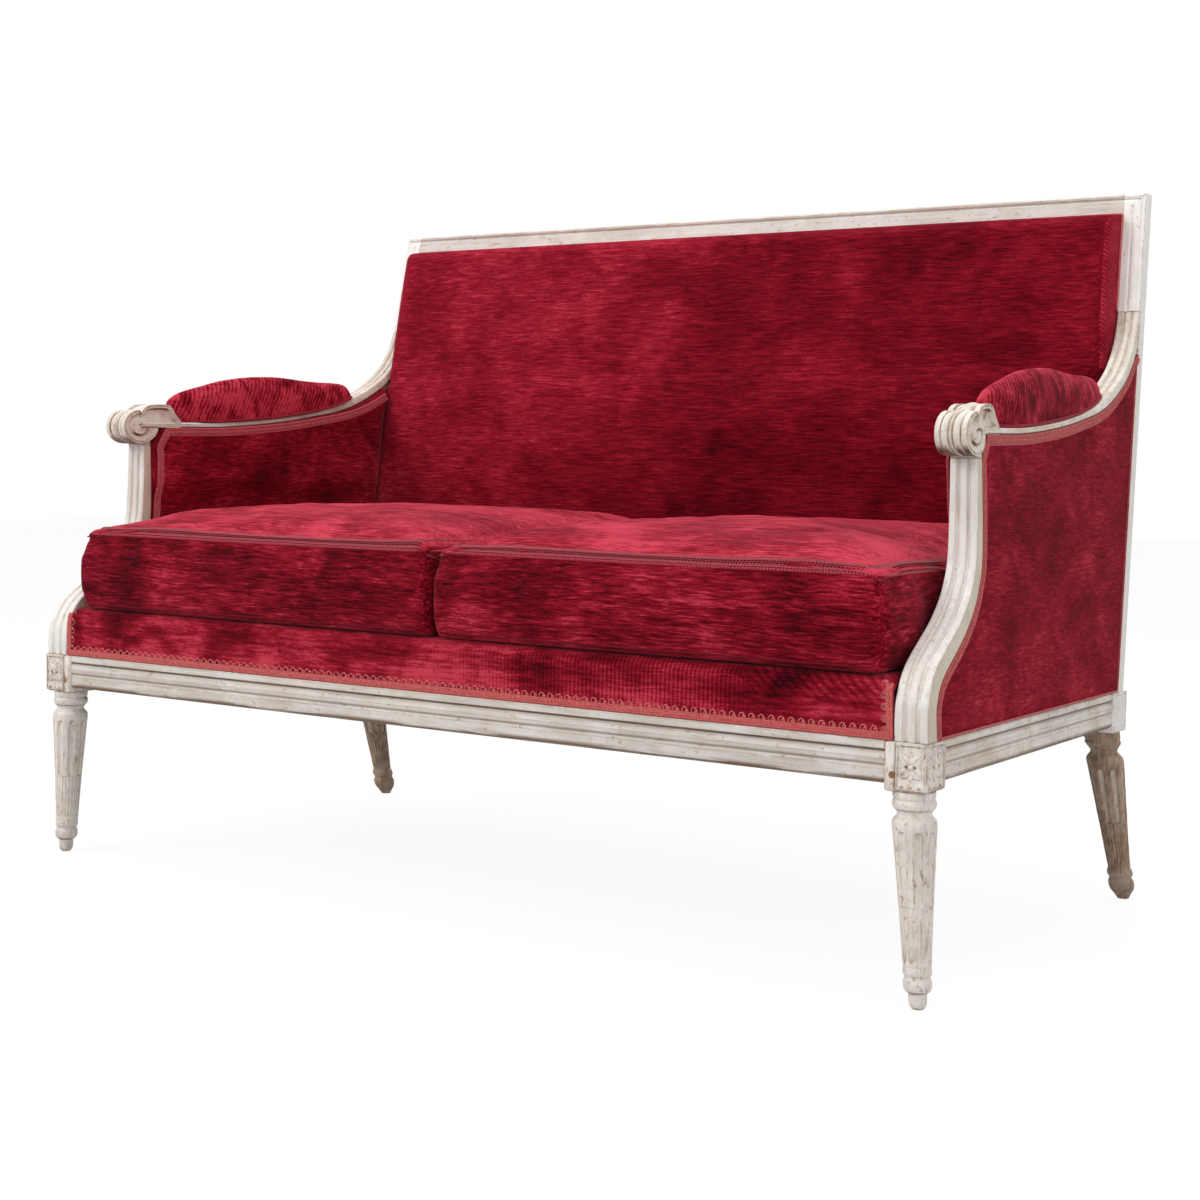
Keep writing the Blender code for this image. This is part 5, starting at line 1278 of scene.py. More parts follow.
def volute_outline():
    """Outline of the scroll and its cap from the side, round the scroll's centre from its rear."""
    cy, cz = FRONT + SCROLL_DEPTH, SCROLL_HEIGHT
    foot = cz - 0.0004
    radius = DRUM_RADIUS * 0.99
    top = [(y, z) for y, z in cap_top() if y < cy + 0.076 and (y > cy or z > cz + radius)][::-1]
    outline = [(top[0][0], foot)] + top
    start = math.atan2(top[-1][1] - cz, (top[-1][0] - cy) / DRUM_STRETCH) + 0.10
    turns = [blend(start, 2 * math.pi - 0.02, k / 90) for k in range(91)]
    return outline + [(cy + radius * DRUM_STRETCH * math.cos(a), cz + radius * math.sin(a)) for a in turns]


def volute_relief(dy, dz, edge):
    """Depth carved at a place of the scroll's side, given its place from the centre and from the outline."""
    dy = dy / DRUM_STRETCH
    r, turn = math.hypot(dy, dz) * 0.0228 / DRUM_RADIUS, math.degrees(math.atan2(dz, dy)) % 360
    depth = 0.0
    for lap in (turn, turn + 360):
        if 84 <= lap <= 485:
            middle, half = table_value(VOLUTE_GROOVE, lap), table_value(VOLUTE_WIDTH, lap)
            off = abs(r - middle) / half
            if off < 1:
                depth = max(depth, math.cos(off * math.pi / 2) ** 0.6)
    if turn < 90 or turn > 352:
        inside = smooth_step((r - blend(0.0165, 0.0122, turn / 90 if turn < 90 else 0)) / 0.003)
        depth = max(depth, 1.25 * inside * smooth_step((edge - 0.0052) / 0.003))
    rim = 0.0011 * (1 - bump_shape(0.0012 - edge, 0.0012)) if edge < 0.0012 else 0.0
    return 0.0042 * depth + rim + 0.0011 * bump_shape(edge - 0.0026, 0.0009) * (edge < 0.0035)


def add_volutes(mesh, side):
    """The carved cheeks on both sides of the scroll and its cap."""
    cy, cz = FRONT + SCROLL_DEPTH, SCROLL_HEIGHT
    outline = volute_outline()
    rings, depths = [], []
    steps = 46
    for k in range(1, steps + 1):
        share = math.sin(math.pi / 2 * k / steps) ** 0.9
        ring = [(blend(cy, y, share), blend(cz, z, share)) for y, z in outline]
        rings.append(ring)
        row = []
        for y, z in ring:
            edge = 1.0 if share < 0.35 else min(
                near_segment((y, z), a, b) for a, b in zip(outline, outline[1:] + outline[:1])
            )
            row.append(volute_relief(y - cy, z - cz, edge))
        depths.append(row)
    outer = side_x(cy, cz, -DRUM_OVERHANG)
    for x, out, inset in ((outer, 1, 0.0040), (outer - DRUM_WIDTH, -1, DRUM_WIDTH - ARM_WIDTH - DRUM_OVERHANG)):
        def place(y, z, depth):
            lean = inset * smooth_step((y - cy - DRUM_RADIUS * 0.6) / 0.024)
            return side * (x - TAPER_BACK * (y - cy) - out * (depth + lean)), y, z
        front = [[place(y, z, depth) for (y, z), depth in zip(ring, row)] for ring, row in zip(rings, depths)]
        corners = add_grid(mesh, front, round_rows=True)
        middle = mesh.verts.new(place(cy, cz, volute_relief(0, 0, 1)))
        inner = [mesh.verts.new(place(y, z, CHEEK + 0.0006)) for y, z in rings[-1]]
        count = len(outline)
        for i in range(count):
            n = (i + 1) % count
            mesh.faces.new((middle, corners[0][i], corners[0][n]))
            mesh.faces.new((corners[-1][i], corners[-1][n], inner[n], inner[i]))
        mesh.faces.new(inner)


def near_segment(point, a, b):
    (px, py), (ax, ay), (bx, by) = point, a, b
    dx, dy = bx - ax, by - ay
    size = dx * dx + dy * dy
    t = min(max(((px - ax) * dx + (py - ay) * dy) / size, 0), 1) if size else 0
    return math.hypot(px - ax - t * dx, py - ay - t * dy)


def add_scroll(mesh, side):
    """The scroll at the arm's front."""
    cy, cz = FRONT + SCROLL_DEPTH, SCROLL_HEIGHT
    outer = side_x(cy, cz, -DRUM_OVERHANG)
    around = 72
    loops = []
    for k in range(65):
        share = k / 64
        x = side * (outer - blend(DRUM_WIDTH - CHEEK, CHEEK, share))
        loops.append([
            (
                x, cy + DRUM_STRETCH * scroll_radius(share) * math.cos(2 * math.pi * i / around),
                cz + scroll_radius(share) * math.sin(2 * math.pi * i / around),
            )
            for i in range(around)
        ])
    add_loft(mesh, loops)


def add_cap(mesh, side):
    """The cap from the scroll back to the pad, with a worn leaf carved on its top."""
    loops = []
    low = ARM_FRONT_TOP - CAP_HEIGHT * 0.16
    for y, z in cap_top(8):
        along = (y - FRONT - SCROLL_DEPTH) / CAP_LENGTH
        behind = smooth_step((y - FRONT - SCROLL_DEPTH - DRUM_RADIUS * 0.6) / 0.024)
        inner = ARM_WIDTH - CAP_INSET - (ARM_WIDTH + DRUM_OVERHANG - DRUM_WIDTH) * (1 - behind)
        loop = []
        for k in range(33):
            share = k / 32
            off = 2 * share - 1
            drop = 0.0035 * off * off
            rim = min(share, 1 - share) / 0.07
            if rim < 1:
                drop += min(0.0022, (z - low) * 0.3) * (1 - bump_shape(1 - rim, 1))
            elif rim < 1.5:
                drop += 0.0008
            leaf = max(1 - abs(along - 0.56) / 0.14, 0) * max(1 - abs(off) / 0.75, 0)
            drop -= 0.0024 * leaf ** 0.5 * (0.45 + 0.55 * abs(math.sin(9 * off + 26 * abs(along - 0.5))))
            loop.append((side * side_x(y, z, blend(inner, CAP_INSET, share)), y, max(z - drop, low + 0.001)))
        loop.append((side * side_x(y, low, CAP_INSET), y, low))
        loop.append((side * side_x(y, low, inner), y, low))
        loops.append(loop)
    add_loft(mesh, loops)


def add_neck(mesh, side):
    front = FRONT + POST_TOP_FRONT + FIT
    rear = front + POST_TOP_THICKNESS - 2 * FIT
    top = ARM_FRONT_TOP - ARM_EDGE / 2
    loops = []
    for k in range(9):
        t = k / 8
        z = blend(POST_TOP, top, t)
        back = rear + NECK_SWEEP * t ** 2.2
        x0, x1 = side * side_x(front, z, STILE_INSET), side * side_x(front, z, POST_TOP_WIDTH - STILE_INSET)
        loops.append([(x0, front, z), (x1, front, z), (x1, back, z), (x0, back, z)])
    add_loft(mesh, loops)


def arm(side, word):
    curve, turned = arm_curve()
    edges = arm_edges(curve, turned)
    steps = 4
    fine = smooth_curve([(*point, *turn, *edge) for point, turn, edge in zip(curve, turned, edges)], steps)
    mesh = bmesh.new()
    loops = []
    for y, z, dy, dz, edge, core in fine:
        reach = (y - curve[0][0]) / (curve[-1][0] - curve[0][0])
        width = blend(ARM_WIDTH, ARM_END_WIDTH, min(reach * 1.2, 1))
        loops.append(fine_section(side, y, z, dy, dz, width, edge, core))
    add_loft(mesh, loops)
    add_scroll(mesh, side)
    add_volutes(mesh, side)
    add_neck(mesh, side)
    add_cap(mesh, side)
    rail = finished("arm_wood_" + word, mesh, [WORN_PAINT_LONG])
    hold(rail, "arm_" + word, slot="painted_wood")


# Upholstery

def coons(bottom, top, left, right, across, up):
    """A grid of (y, z) points between four edges, from the lower left corner."""
    bottom, top = even(bottom, across + 1), even(top, across + 1)
    left, right = even(left, up + 1), even(right, up + 1)
    rows = []
    for j in range(up + 1):
        t = j / up
        row = []
        for i in range(across + 1):
            s = i / across
            row.append(tuple(
                (1 - t) * bottom[i][k] + t * top[i][k] + (1 - s) * left[j][k] + s * right[j][k]
                - (1 - s) * (1 - t) * bottom[0][k] - s * (1 - t) * bottom[-1][k]
                - (1 - s) * t * top[0][k] - s * t * top[-1][k]
                for k in (0, 1)
            ))
        rows.append(row)
    return rows


def arm_opening(bottom, gap, cut=None):
    """The four edges of the arm's opening: rail, under the arm, post, back frame."""
    edge, foot = panel_edges(bottom, gap)
    if cut:
        outline = up_to_back(edge, bottom)
        joint = max(range(len(outline)), key=lambda i: outline[i][1])
        edge, rear = outline[:joint + 1], outline[joint:]
    else:
        rear = [edge[-1], foot]
    corner = max(
        range(1, len(edge) - 1),
        key=lambda i: turn_angle(edge[i - 1], edge[i], edge[i + 1]) if edge[i][0] < FRONT + 0.2 else 0,
    )
    left = refine(edge[:corner + 1], 3, 60)
    top = refine(edge[corner:], 3, 60)
    right = rear[::-1]
    return [left[0], right[0]], top, left, right


def turn_angle(a, b, c):
    first = (b[0] - a[0], b[1] - a[1])
    second = (c[0] - b[0], c[1] - b[1])
    size = math.hypot(*first) * math.hypot(*second)
    return math.acos(max(min((first[0] * second[0] + first[1] * second[1]) / size, 1), -1)) if size else 0


def puffed(rows, place, rise, edge):
    """Rows of (y, z) put in space, standing out by a rise that fades to the edges."""
    up, across = len(rows) - 1, len(rows[0]) - 1
    grid = []
    for j, row in enumerate(rows):
        grid.append([])
        for i, (y, z) in enumerate(row):
            near = min(i / across, 1 - i / across, j / up, 1 - j / up) / edge
            full = 1 if near >= 1 else math.sqrt(1 - (1 - near) ** 2)
            grid[-1].append(place(y, z, rise * full))
    return grid


def slab_piece(name, node, slot, look, front, rear, angle=60):
    """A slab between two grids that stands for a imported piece."""
    mesh = bmesh.new()
    add_slab(mesh, front, rear)
    return hold(finished(name, mesh, [look], angle), node, slot=slot)


def outside_arm(side, word):
    """Velvet stretched over the outside of the arm."""
    rows = coons(*arm_opening(SEAT_TOP + FIT, FIT), 90, 80)

    def place(y, z, rise):
        ripple = 0.0005 * rippled((y, z, 0), 0.09, side) * min(rise / 0.0015, 1)
        return side * side_x(y, z, OUTER_COVER_INSET + 0.0006 - rise - ripple), y, z

    front = puffed(rows, place, 0.0018, 0.16)
    rear = [[(side * side_x(y, z, OUTER_COVER_INSET + OUTER_COVER_THICKNESS), y, z) for y, z in row] for row in rows]
    cover = slab_piece(
        "outside_arm_velvet_" + word, "outside_arm_cover_" + word, "crimson_velvet", SIDE_VELVET, front, rear, 35
    )
    declare_sheet(cover)


def declare_sheet(piece):
    """Works out the size that a stretched cloth's piece was cut to; nothing is done with it."""
    data = piece.data
    area = sum(face.area for face in data.polygons) / 2
    corners = [vertex.co for vertex in data.vertices]
    spans = sorted((max(c[k] for c in corners) - min(c[k] for c in corners) for k in range(3)), reverse=True)
    wide, high = spans[0], spans[1]
    if area > wide * high:
        high = area / wide


def inner_face(y, z, side):
    """Depth of the inside arm cover's face behind the side plane, which swells above the cushions."""
    swell = ARM_SWELL[side] * smooth_step((z - CUSHION_TOP) / 0.035) * smooth_step((ARM_JOINT - 0.03 - z) / 0.06)
    return inner_cover_face(y) + swell


def inside_arm(side, word):
    """Velvet over thin padding on the inside of the arm."""
    rows = coons(*arm_opening(SEAT_TOP + INNER_COVER_LIFT, FIT, cut=True), 90, 70)

    def place(y, z, rise):
        full = min(rise / 0.004, 1)
        ripple = 0.0014 * rippled((y * 2, z, 0), 0.12, side + 3) + 0.0006 * rippled((y * 5, z, 0), 0.12, side + 5)
        depth = blend(inner_cover_face(y) - 0.004, inner_face(y, z, side), full) + ripple * full
        return side * side_x(y, z, depth), y, z

    front = puffed(rows, place, 0.004, 0.075)
    rear = [[(side * side_x(y, z, INNER_COVER_START), y, z) for y, z in row] for row in rows]
    cover = slab_piece(
        "inside_arm_velvet_" + word, "inside_arm_cover_" + word, "crimson_velvet", ARM_VELVET, front, rear
    )


def pad_sections(steps=6):
    """Fine stations along the arm's pad: place, direction down, half width, height and lean."""
    curve, turned = arm_curve()
    shares = smooth_curve(FULL_PAD, steps)
    sections = []
    for along, wide, high, lean in shares:
        y = blend(FRONT + PAD_START, FRONT + PAD_END, min(max(along, 0), 1))
        sections.append((*on_arm(curve, turned, y), PAD_HALF_WIDTH * wide, PAD_HEIGHT * high, lean))
    return sections


def arm_pad(side, word):
    """The stuffed pad on the arm, leaning over the cap at its front."""
    around = 48
    rows = []
    for y, z, dy, dz, half, height, lean in pad_sections():
        foot = PAD_BRAID_THICKNESS + 2 * FIT
        section = [(half * 0.96, 0)]
        for k in range(around + 1):
            angle = math.pi * k / around
            round_in = math.sin(angle) ** 0.74
            section.append((half * math.cos(angle), foot + max(height - foot, foot) * round_in))
        section.append((-half * 0.96, 0))
        row = []
        for across, rise in section:
            forward = max(rise - foot, 0) * lean
            py = y - dy * (FIT + rise) + dz * forward
            pz = z - dz * (FIT + rise) - dy * forward
            row.append((side * side_x(py, pz, ARM_WIDTH / 2 + across), py, pz))
        rows.append(row)
    mesh = bmesh.new()
    add_loft(mesh, rows)
    low = {tuple(round(c, 5) for c in point) for row in rows for point in row[:3] + row[-3:]}
    pad = finished("arm_pad_velvet_" + word, mesh, [PAD_VELVET], 70)
    points = [vertex.co.copy() for vertex in pad.data.vertices]
    held = [0.0 if tuple(round(c, 5) for c in point) not in low else 1.0 for point in points]
    puff_out(pad, held, 0.0030, 3.0)
    hold(pad, "arm_pad_" + word, slot="crimson_velvet")


def puff_out(piece, held, reach, pressure):
    """Lets the piece's cloth swell and wrinkle under its filling, held at its seams and by no more than a reach."""
    scene = bpy.context.scene
    group = piece.vertex_groups.new(name="seams")
    for index, weight in enumerate(held):
        if weight:
            group.add([index], weight, "REPLACE")
    swell = piece.modifiers.new("filling", "CLOTH")
    cloth = swell.settings
    cloth.quality = 4
    cloth.mass = 0.25
    cloth.tension_stiffness = cloth.compression_stiffness = 14
    cloth.shear_stiffness = 6
    cloth.bending_stiffness = 0.4
    cloth.use_pressure = True
    cloth.uniform_pressure_force = pressure
    cloth.shrink_min = -0.02
    cloth.vertex_group_mass = "seams"
    cloth.effector_weights.gravity = 0
    swell.collision_settings.use_collision = False
    swell.point_cache.frame_start, swell.point_cache.frame_end = 1, 20
    for frame_number in range(1, 21):
        scene.frame_set(frame_number)
    graph = bpy.context.evaluated_depsgraph_get()
    moved = piece.evaluated_get(graph).to_mesh()
    shifts = [after.co - before.co for after, before in zip(moved.vertices, piece.data.vertices)]
    piece.evaluated_get(graph).to_mesh_clear()
    piece.modifiers.remove(swell)
    piece.vertex_groups.remove(group)
    beside = [[] for shift in shifts]
    for edge in piece.data.edges:
        a, b = edge.vertices
        beside[a].append(b)
        beside[b].append(a)
    for index, vertex in enumerate(piece.data.vertices):
        inward = min(shifts[index].dot(vertex.normal), 0)
        shifts[index] = shifts[index] - vertex.normal * inward * 0.85
    for turn in range(5):
        shifts = [
            (shift + sum((shifts[k] for k in near), Vector())) / (len(near) + 1) for shift, near in zip(shifts, beside)
        ]
    for vertex, shift in zip(piece.data.vertices, shifts):
        far = shift.length
        if far > 1e-9:
            vertex.co += shift * (reach * math.tanh(far / reach) / far)
    scene.frame_set(1)


def cushion_form(side, smaller=0.0):
    """Rows round one cushion from the middle of its underside to the middle of its top."""
    count = 2 * int(1.25 / CUSHION_STEP / 2) * 2
    stack = smooth_curve([row for row in CUSHION_STACK_SHARES], 3)
    plan0 = cushion_plan(side, 0)
    x_mid = (min(x for x, y in plan0) + max(x for x, y in plan0)) / 2
    y_mid = FRONT + (CUSHION_FRONT + CUSHION_REAR) / 2
    rows = []
    for height, seams, bulges, inward in stack:
        inset = CUSHION_SEAM * seams - CUSHION_BULGE * bulges + smaller * (0.5 < height)
        coarse = cushion_plan(side, inset)
        ring = even(coarse + coarse[:1], count + 1)[:-1]
        z = DECK_TOP + FIT + (CUSHION_HEIGHT - smaller) * height
        rows.append([(blend(x, x_mid, inward), blend(y, y_mid, inward), z) for x, y in ring])
    return rows


def seam_ring(side, height, inset, count=420):
    """The line of a cushion's seam at a share of its height."""
    coarse = cushion_plan(side, inset)
    z = DECK_TOP + FIT + CUSHION_HEIGHT * height
    return [(x, y, z) for x, y in even(coarse + coarse[:1], count + 1)]


def seat_cushion(side, word):
    """A boxed loose cushion with a crowned top, its seams corded and a braid sewn along its edges."""
    mesh = bmesh.new()
    rows = cushion_form(side, 0.004)
    corners = add_grid(mesh, rows, round_rows=True)
    for ring, lift in ((corners[0], 0), (corners[-1], 0.0015)):
        previous = ring
        count = len(ring)
        middle = sum((corner.co for corner in ring), Vector()) / count
        for step in range(1, 14):
            t = step / 14
            up = Vector((0, 0, lift * math.sin(t * math.pi / 2)))
            new = [mesh.verts.new(corner.co.lerp(middle, t) + up) for corner in ring]
            for i in range(count):
                n = (i + 1) % count
                mesh.faces.new((previous[i], previous[n], new[n], new[i]))
            previous = new
        mesh.faces.new(previous)
    cushion = finished("seat_cushion_velvet_" + word, mesh, [CUSHION_VELVET], 60)
    remake = cushion.modifiers.new("even_cloth", "REMESH")
    remake.mode = "VOXEL"
    remake.voxel_size = CUSHION_VOXEL
    settle(cushion)
    low = DECK_TOP + FIT
    seam = low + CUSHION_HEIGHT * CUSHION_SEAM_HEIGHT
    edge = seam_ring(side, CUSHION_SEAM_HEIGHT, 0.001, 160)
    held = []
    for vertex in cushion.data.vertices:
        x, y, z = vertex.co
        near = abs(z - seam) < 0.0045 and min(math.hypot(x - a, y - b) for a, b, c in edge) < 0.0065
        held.append(1.0 if z < low + 0.006 or near else 0.0)
    puff_out(cushion, held, CUSHION_SWELL, 3.2)
    top = seam + 0.004
    for vertex in cushion.data.vertices:
        x, y, z = vertex.co
        rise = smooth_step((z - top) / 0.02)
        drag = 0.0022 * rippled((x + 0.5 * y, y * 2.2, 0), 0.085, side)
        drag += 0.0011 * rippled((x, y * 2.5, 1), 0.034, side + 2)
        fuller = 0.006 * smooth_step((y - FRONT - 0.35) / 0.25) * smooth_step((z - top - 0.01) / 0.02)
        vertex.co.z += rise * (drag + fuller)
        if z > low + 0.006:
            vertex.co.z += 0.0006 * rippled((x, y, z * 2), 0.05, 4)
        up = z + CUSHION_LIFT
        over = side * x - side_x(y, up, inner_face(y, up, side)) + ARM_ROOM
        vertex.co.x -= side * max(over, 0) * smooth_step((y - FRONT - 0.086) / 0.04)
    cushion.modifiers.new("even_cloth", "SUBSURF").levels = 1
    cushion.modifiers["even_cloth"].render_levels = 1
    settle(cushion)
    cushion.data.shade_smooth()
    surface = BVHTree.FromPolygons(
        [vertex.co for vertex in cushion.data.vertices], [tuple(face.vertices) for face in cushion.data.polygons]
    )
    trims = [cushion, cushion_welts(side, word, surface), *cushion_braid(side, surface)]
    cushion = joined("seat_cushion_velvet_" + word, trims)
    hold(cushion, "seat_cushion_" + word, slot="crimson_velvet", body="cushion_" + word)
    return cushion


def cushion_braid(side, surface):
    """A chained braid sewn on the cushion's top inside its edge, left off along the back."""
    lines = []
    count = 420
    for inset in CUSHION_BRAID_LINES:
        ring = seam_ring(side, 1.0, inset, count)[:-1]
        heights = [surface.ray_cast(Vector((x, y, z + 0.1)), Vector((0, 0, -1)))[0].z for x, y, z in ring]
        level = [sum(heights[(i + k) % count] for k in range(-5, 6)) / 11 for i in range(count)]
        lines.append([(x, y, max(a, b) + 0.0004) for (x, y, z), a, b in zip(ring, heights, level)])
    rear = FRONT + CUSHION_REAR - 0.045
    start = next(i for i in range(count) if lines[0][i - 1][1] >= rear > lines[0][i][1])
    kept = [(start + k) % count for k in range(count) if lines[0][(start + k) % count][1] < rear]
    near, middle, far = ([line[i] for i in kept] for line in lines)
    mesh = bmesh.new()
    out = Vector((0, 0, 1))
    ribbon(mesh, near, far, out, 0.0011)
    parts = [finished("cushion_band", mesh, [CHAIN_BAND], 50)]
    for a, b, size, pitch in ((0.42, 0, 0.0015, 0.0048), (0.62, 0.5, 0.0015, 0.0048), (0.02, 0, 0.0011, 0.0040)):
        path = [tuple(blend(p, q, a) for p, q in zip(one, two)) for one, two in zip(near, far)]
        run = running_length(path)
        path = even(path, int(run[-1] / 0.004))
        if b:
            path = [point for point, along in zip(path, running_length(path)) if along > pitch * b]
        parts.append(loop_row("cushion_chain", raised(path, out, 0.0010), out, size, pitch, DARK_CORD, 0.45))
    return parts


def cushion_welts(side, word, surface):
    """Cords in the seams between a cushion's panels and its boxing."""
    mesh = bmesh.new()
    # The lower cord takes the dark cord, much darker than the upper welt's cloth: painted shade low under the cushion.
    for look, height, inset, radius in ((0, CUSHION_SEAM_HEIGHT, 0.001, 0.0018), (1, 0.045, 0.0015, 0.0014)):
        ring = []
        for point in seam_ring(side, height, inset)[:-1]:
            place, normal, face, gap = surface.find_nearest(Vector(point))
            level = Vector((normal.x, normal.y, 0)).normalized()
            ring.append(place - level * radius * 0.25)
        count = len(ring)
        soft = [sum((ring[(i + k) % count] for k in range(-3, 4)), Vector()) / 7 for i in range(count)]
        add_hoop(mesh, [tuple(point) for point in soft], radius, look)
    return finished("cushion_welts", mesh, [WELT_CLOTH, DARK_CORD], 60)


def cord_ring(middle, across, up, radius, around):
    """Points round a cord."""
    turns = [2 * math.pi * k / around for k in range(around)]
    return [tuple(middle + (across * math.cos(turn) + up * math.sin(turn)) * radius) for turn in turns]


def add_hoop(mesh, points, radius, look, around=8):
    """A closed round cord through points."""
    loops = []
    count = len(points)
    for i in range(count):
        a, b = Vector(points[i - 1]), Vector(points[(i + 1) % count])
        along = (b - a).normalized()
        up = Vector((0, 0, 1))
        loops.append(cord_ring(Vector(points[i]), along.cross(up).normalized(), up, radius, around))
    add_grid(mesh, loops, round_rows=True, round_columns=True, look=look)


def settle(piece):
    """Makes the mesh with its modifiers the piece's own mesh."""
    graph = bpy.context.evaluated_depsgraph_get()
    made = bpy.data.meshes.new_from_object(piece.evaluated_get(graph))
    old = piece.data
    piece.modifiers.clear()
    piece.data = made
    bpy.data.meshes.remove(old)
    if not made.materials:
        made.materials.append(CUSHION_VELVET)
    made.shade_smooth()


def back_wall():
    """The inside back's wall up from its foot: inset and share of the fullness."""
    return [
        (BACK_WALL_LEAN * leans + BACK_EDGE_ROUNDING * roundings, share)
        for leans, roundings, share in BACK_WALL_SHARES
    ]


def back_heights():
    """Rows up the inside back and over the wall at its top: height and share of the fullness."""
    rows = smooth_curve(back_rows(), 5)
    top = [(opening_top() - inset, share) for inset, share in reversed(back_wall())]
    rounding = smooth_curve([rows[-1], *top[:2]], 5)[1:]
    return rows + rounding + smooth_curve(top[1:], 4)[1:]


def inside_back():
    """The padded inside back with its walls at the sides and the top."""
    face = STILE_DEPTH_UPPER + BACK_PROUD
    margin = INNER_COVER_REAR - STILE_INSET - STILE_WIDTH
    wall_start = back_rows()[BACK_WALL_ROW][0]
    wall_rim = smooth_curve(back_wall() + [(BACK_EDGE_ROUNDING, 1.0)], 5)[:-1]
    low_rim = smooth_curve([
        (0, BACK_EDGE_SHARE), (margin / 2, (BACK_EDGE_SHARE + BACK_MARGIN_SHARE) / 2), (margin, BACK_MARGIN_SHARE),
        (margin + BACK_EDGE_ROUNDING, 1.0),
    ], 5)[:-1]
    across = 120
    front, rear = [], []
    for z, full in back_heights():
        walled = min(max((z - wall_start + 0.016) / 0.016, 0), 1)
        half = opening_half(min(z, opening_top())) - FIT
        rim = [tuple(blend(p, q, walled) for p, q in zip(a, b)) for a, b in zip(low_rim, wall_rim)]
        inner = half - BACK_EDGE_ROUNDING - margin * (1 - walled)
        edges = [(half - inset, share) for inset, share in rim]
        middle = [
            (blend(-inner, inner, k / across), 1 + BACK_CROWN / BACK_FULLNESS * (1 - (2 * k / across - 1) ** 4))
            for k in range(across + 1)
        ]
        columns = [(-x, share) for x, share in edges] + middle + [(x, share) for x, share in reversed(edges)]
        front.append([])
        rear.append([])
        for x, share in columns:
            depth = face + BACK_FULLNESS * full * share
            if full * share <= 0.001:
                depth = STILE_DEPTH_UPPER - BACK_TUCK
            ripple = 0.0018 * rippled((x, z, 0), 0.16, 7) + 0.0005 * rippled((x * 0.4, z, 2), 0.05, 7)
            depth += ripple * min(full * share, 1) ** 2
            front[-1].append((x, back_y(z, depth), z))
            rear[-1].append((x, back_y(z, max(depth - 0.0022, STILE_DEPTH_UPPER - BACK_TUCK - 0.002)), z))
    mesh = bmesh.new()
    add_slab(mesh, front, rear)
    cover = finished("inside_back_velvet", mesh, [BACK_VELVET, LIT_WALL_VELVET], 60)
    # Faces turned to the side take the lighter wall velvet: painted light.
    for face in cover.data.polygons:
        if abs(face.normal.x) > 0.55 and face.center.z > wall_start:
            face.material_index = 1
    hold(cover, "inside_back_cover", slot="crimson_velvet")


def platform_profile(inset, bottom):
    """Fine outline of the seat's platform from its front band over the rounded edge to its back."""
    coarse = deck_outline(inset, bottom)
    radius = DECK_EDGE_RADIUS - inset
    centre_y, centre_z = FRONT + DECK_FRONT + DECK_EDGE_RADIUS, DECK_TOP - DECK_EDGE_RADIUS
    front = [(FRONT + DECK_FRONT + inset, blend(bottom, centre_z, k / 12)) for k in range(12)]
    turn = [
        (centre_y + radius * math.cos(math.pi - math.pi / 2 * k / 12),
         centre_z + radius * math.sin(math.pi - math.pi / 2 * k / 12))
        for k in range(13)
    ]
    far = coarse[8]
    top = [(blend(turn[-1][0], far[0], k / 30), far[1]) for k in range(1, 31)]
    return front + turn + top + coarse[9:]


def deck_outline(inset, bottom):
    """Front, rounded edge, top and back of the seat's platform, so far inside its cover."""
    radius = DECK_EDGE_RADIUS - inset
    centre_y = FRONT + DECK_FRONT + DECK_EDGE_RADIUS
    centre_z = DECK_TOP - DECK_EDGE_RADIUS
    outline = [(FRONT + DECK_FRONT + inset, bottom)]
    for k in range(7):
        angle = math.pi - math.pi / 2 * k / 6
        outline.append((centre_y + radius * math.cos(angle), centre_z + radius * math.sin(angle)))
    under_stay = SEAT_TOP + STAY_RAIL_BOTTOM - FIT - inset
    tail = FRONT + SEAT_DEPTH - WEB_FRONT + FIT
    return outline + [
        (deck_rear() - inset, DECK_TOP - inset), (deck_rear() - inset, under_stay),
        (tail - inset, under_stay), (tail - inset, low_stuffing()),
    ]


def platform_grid(inset, bottom, across=160):
    outline = platform_profile(inset, bottom)
    rows = []
    for y, z in outline:
        row = []
        for k in range(across + 1):
            s = 2 * k / across - 1
            near = (1 - abs(s)) * deck_x(y, z)
            drop = 0.0
            if z > DECK_TOP - DECK_EDGE_RADIUS and near < PLATFORM_END_ROUNDING:
                fall = 1 - math.sqrt(max(1 - (1 - near / PLATFORM_END_ROUNDING) ** 2, 0))
                drop = PLATFORM_END_ROUNDING * 0.5 * fall * min((z - DECK_TOP + DECK_EDGE_RADIUS) / DECK_EDGE_RADIUS, 1)
            row.append((s * deck_x(y, z), y + drop * 0.4 if y < FRONT + 0.03 else y, z - drop))
        rows.append(row)
    return rows


def seat_platform():
    """Velvet over the platform's stuffing, and the stuffing under it."""
    cover = slab_piece(
        "seat_platform_velvet", "seat_platform_cover", "crimson_velvet", APRON_VELVET,
        platform_grid(0, SEAT_TOP + FIT), platform_grid(COVER_THICKNESS, SEAT_TOP + FIT),
    )
    mesh = bmesh.new()
    outline = deck_outline(COVER_THICKNESS + 3 * FIT, low_stuffing())
    add_loft(mesh, [[(s * (deck_x(y, z) - PLATFORM_END_ROUNDING * 0.5), y, z) for y, z in outline] for s in (-1, 1)])
    stuffing = finished("seat_horsehair", mesh, [HORSEHAIR], 40)
    hold(stuffing, "seat_stuffing", slot="horsehair_pad")


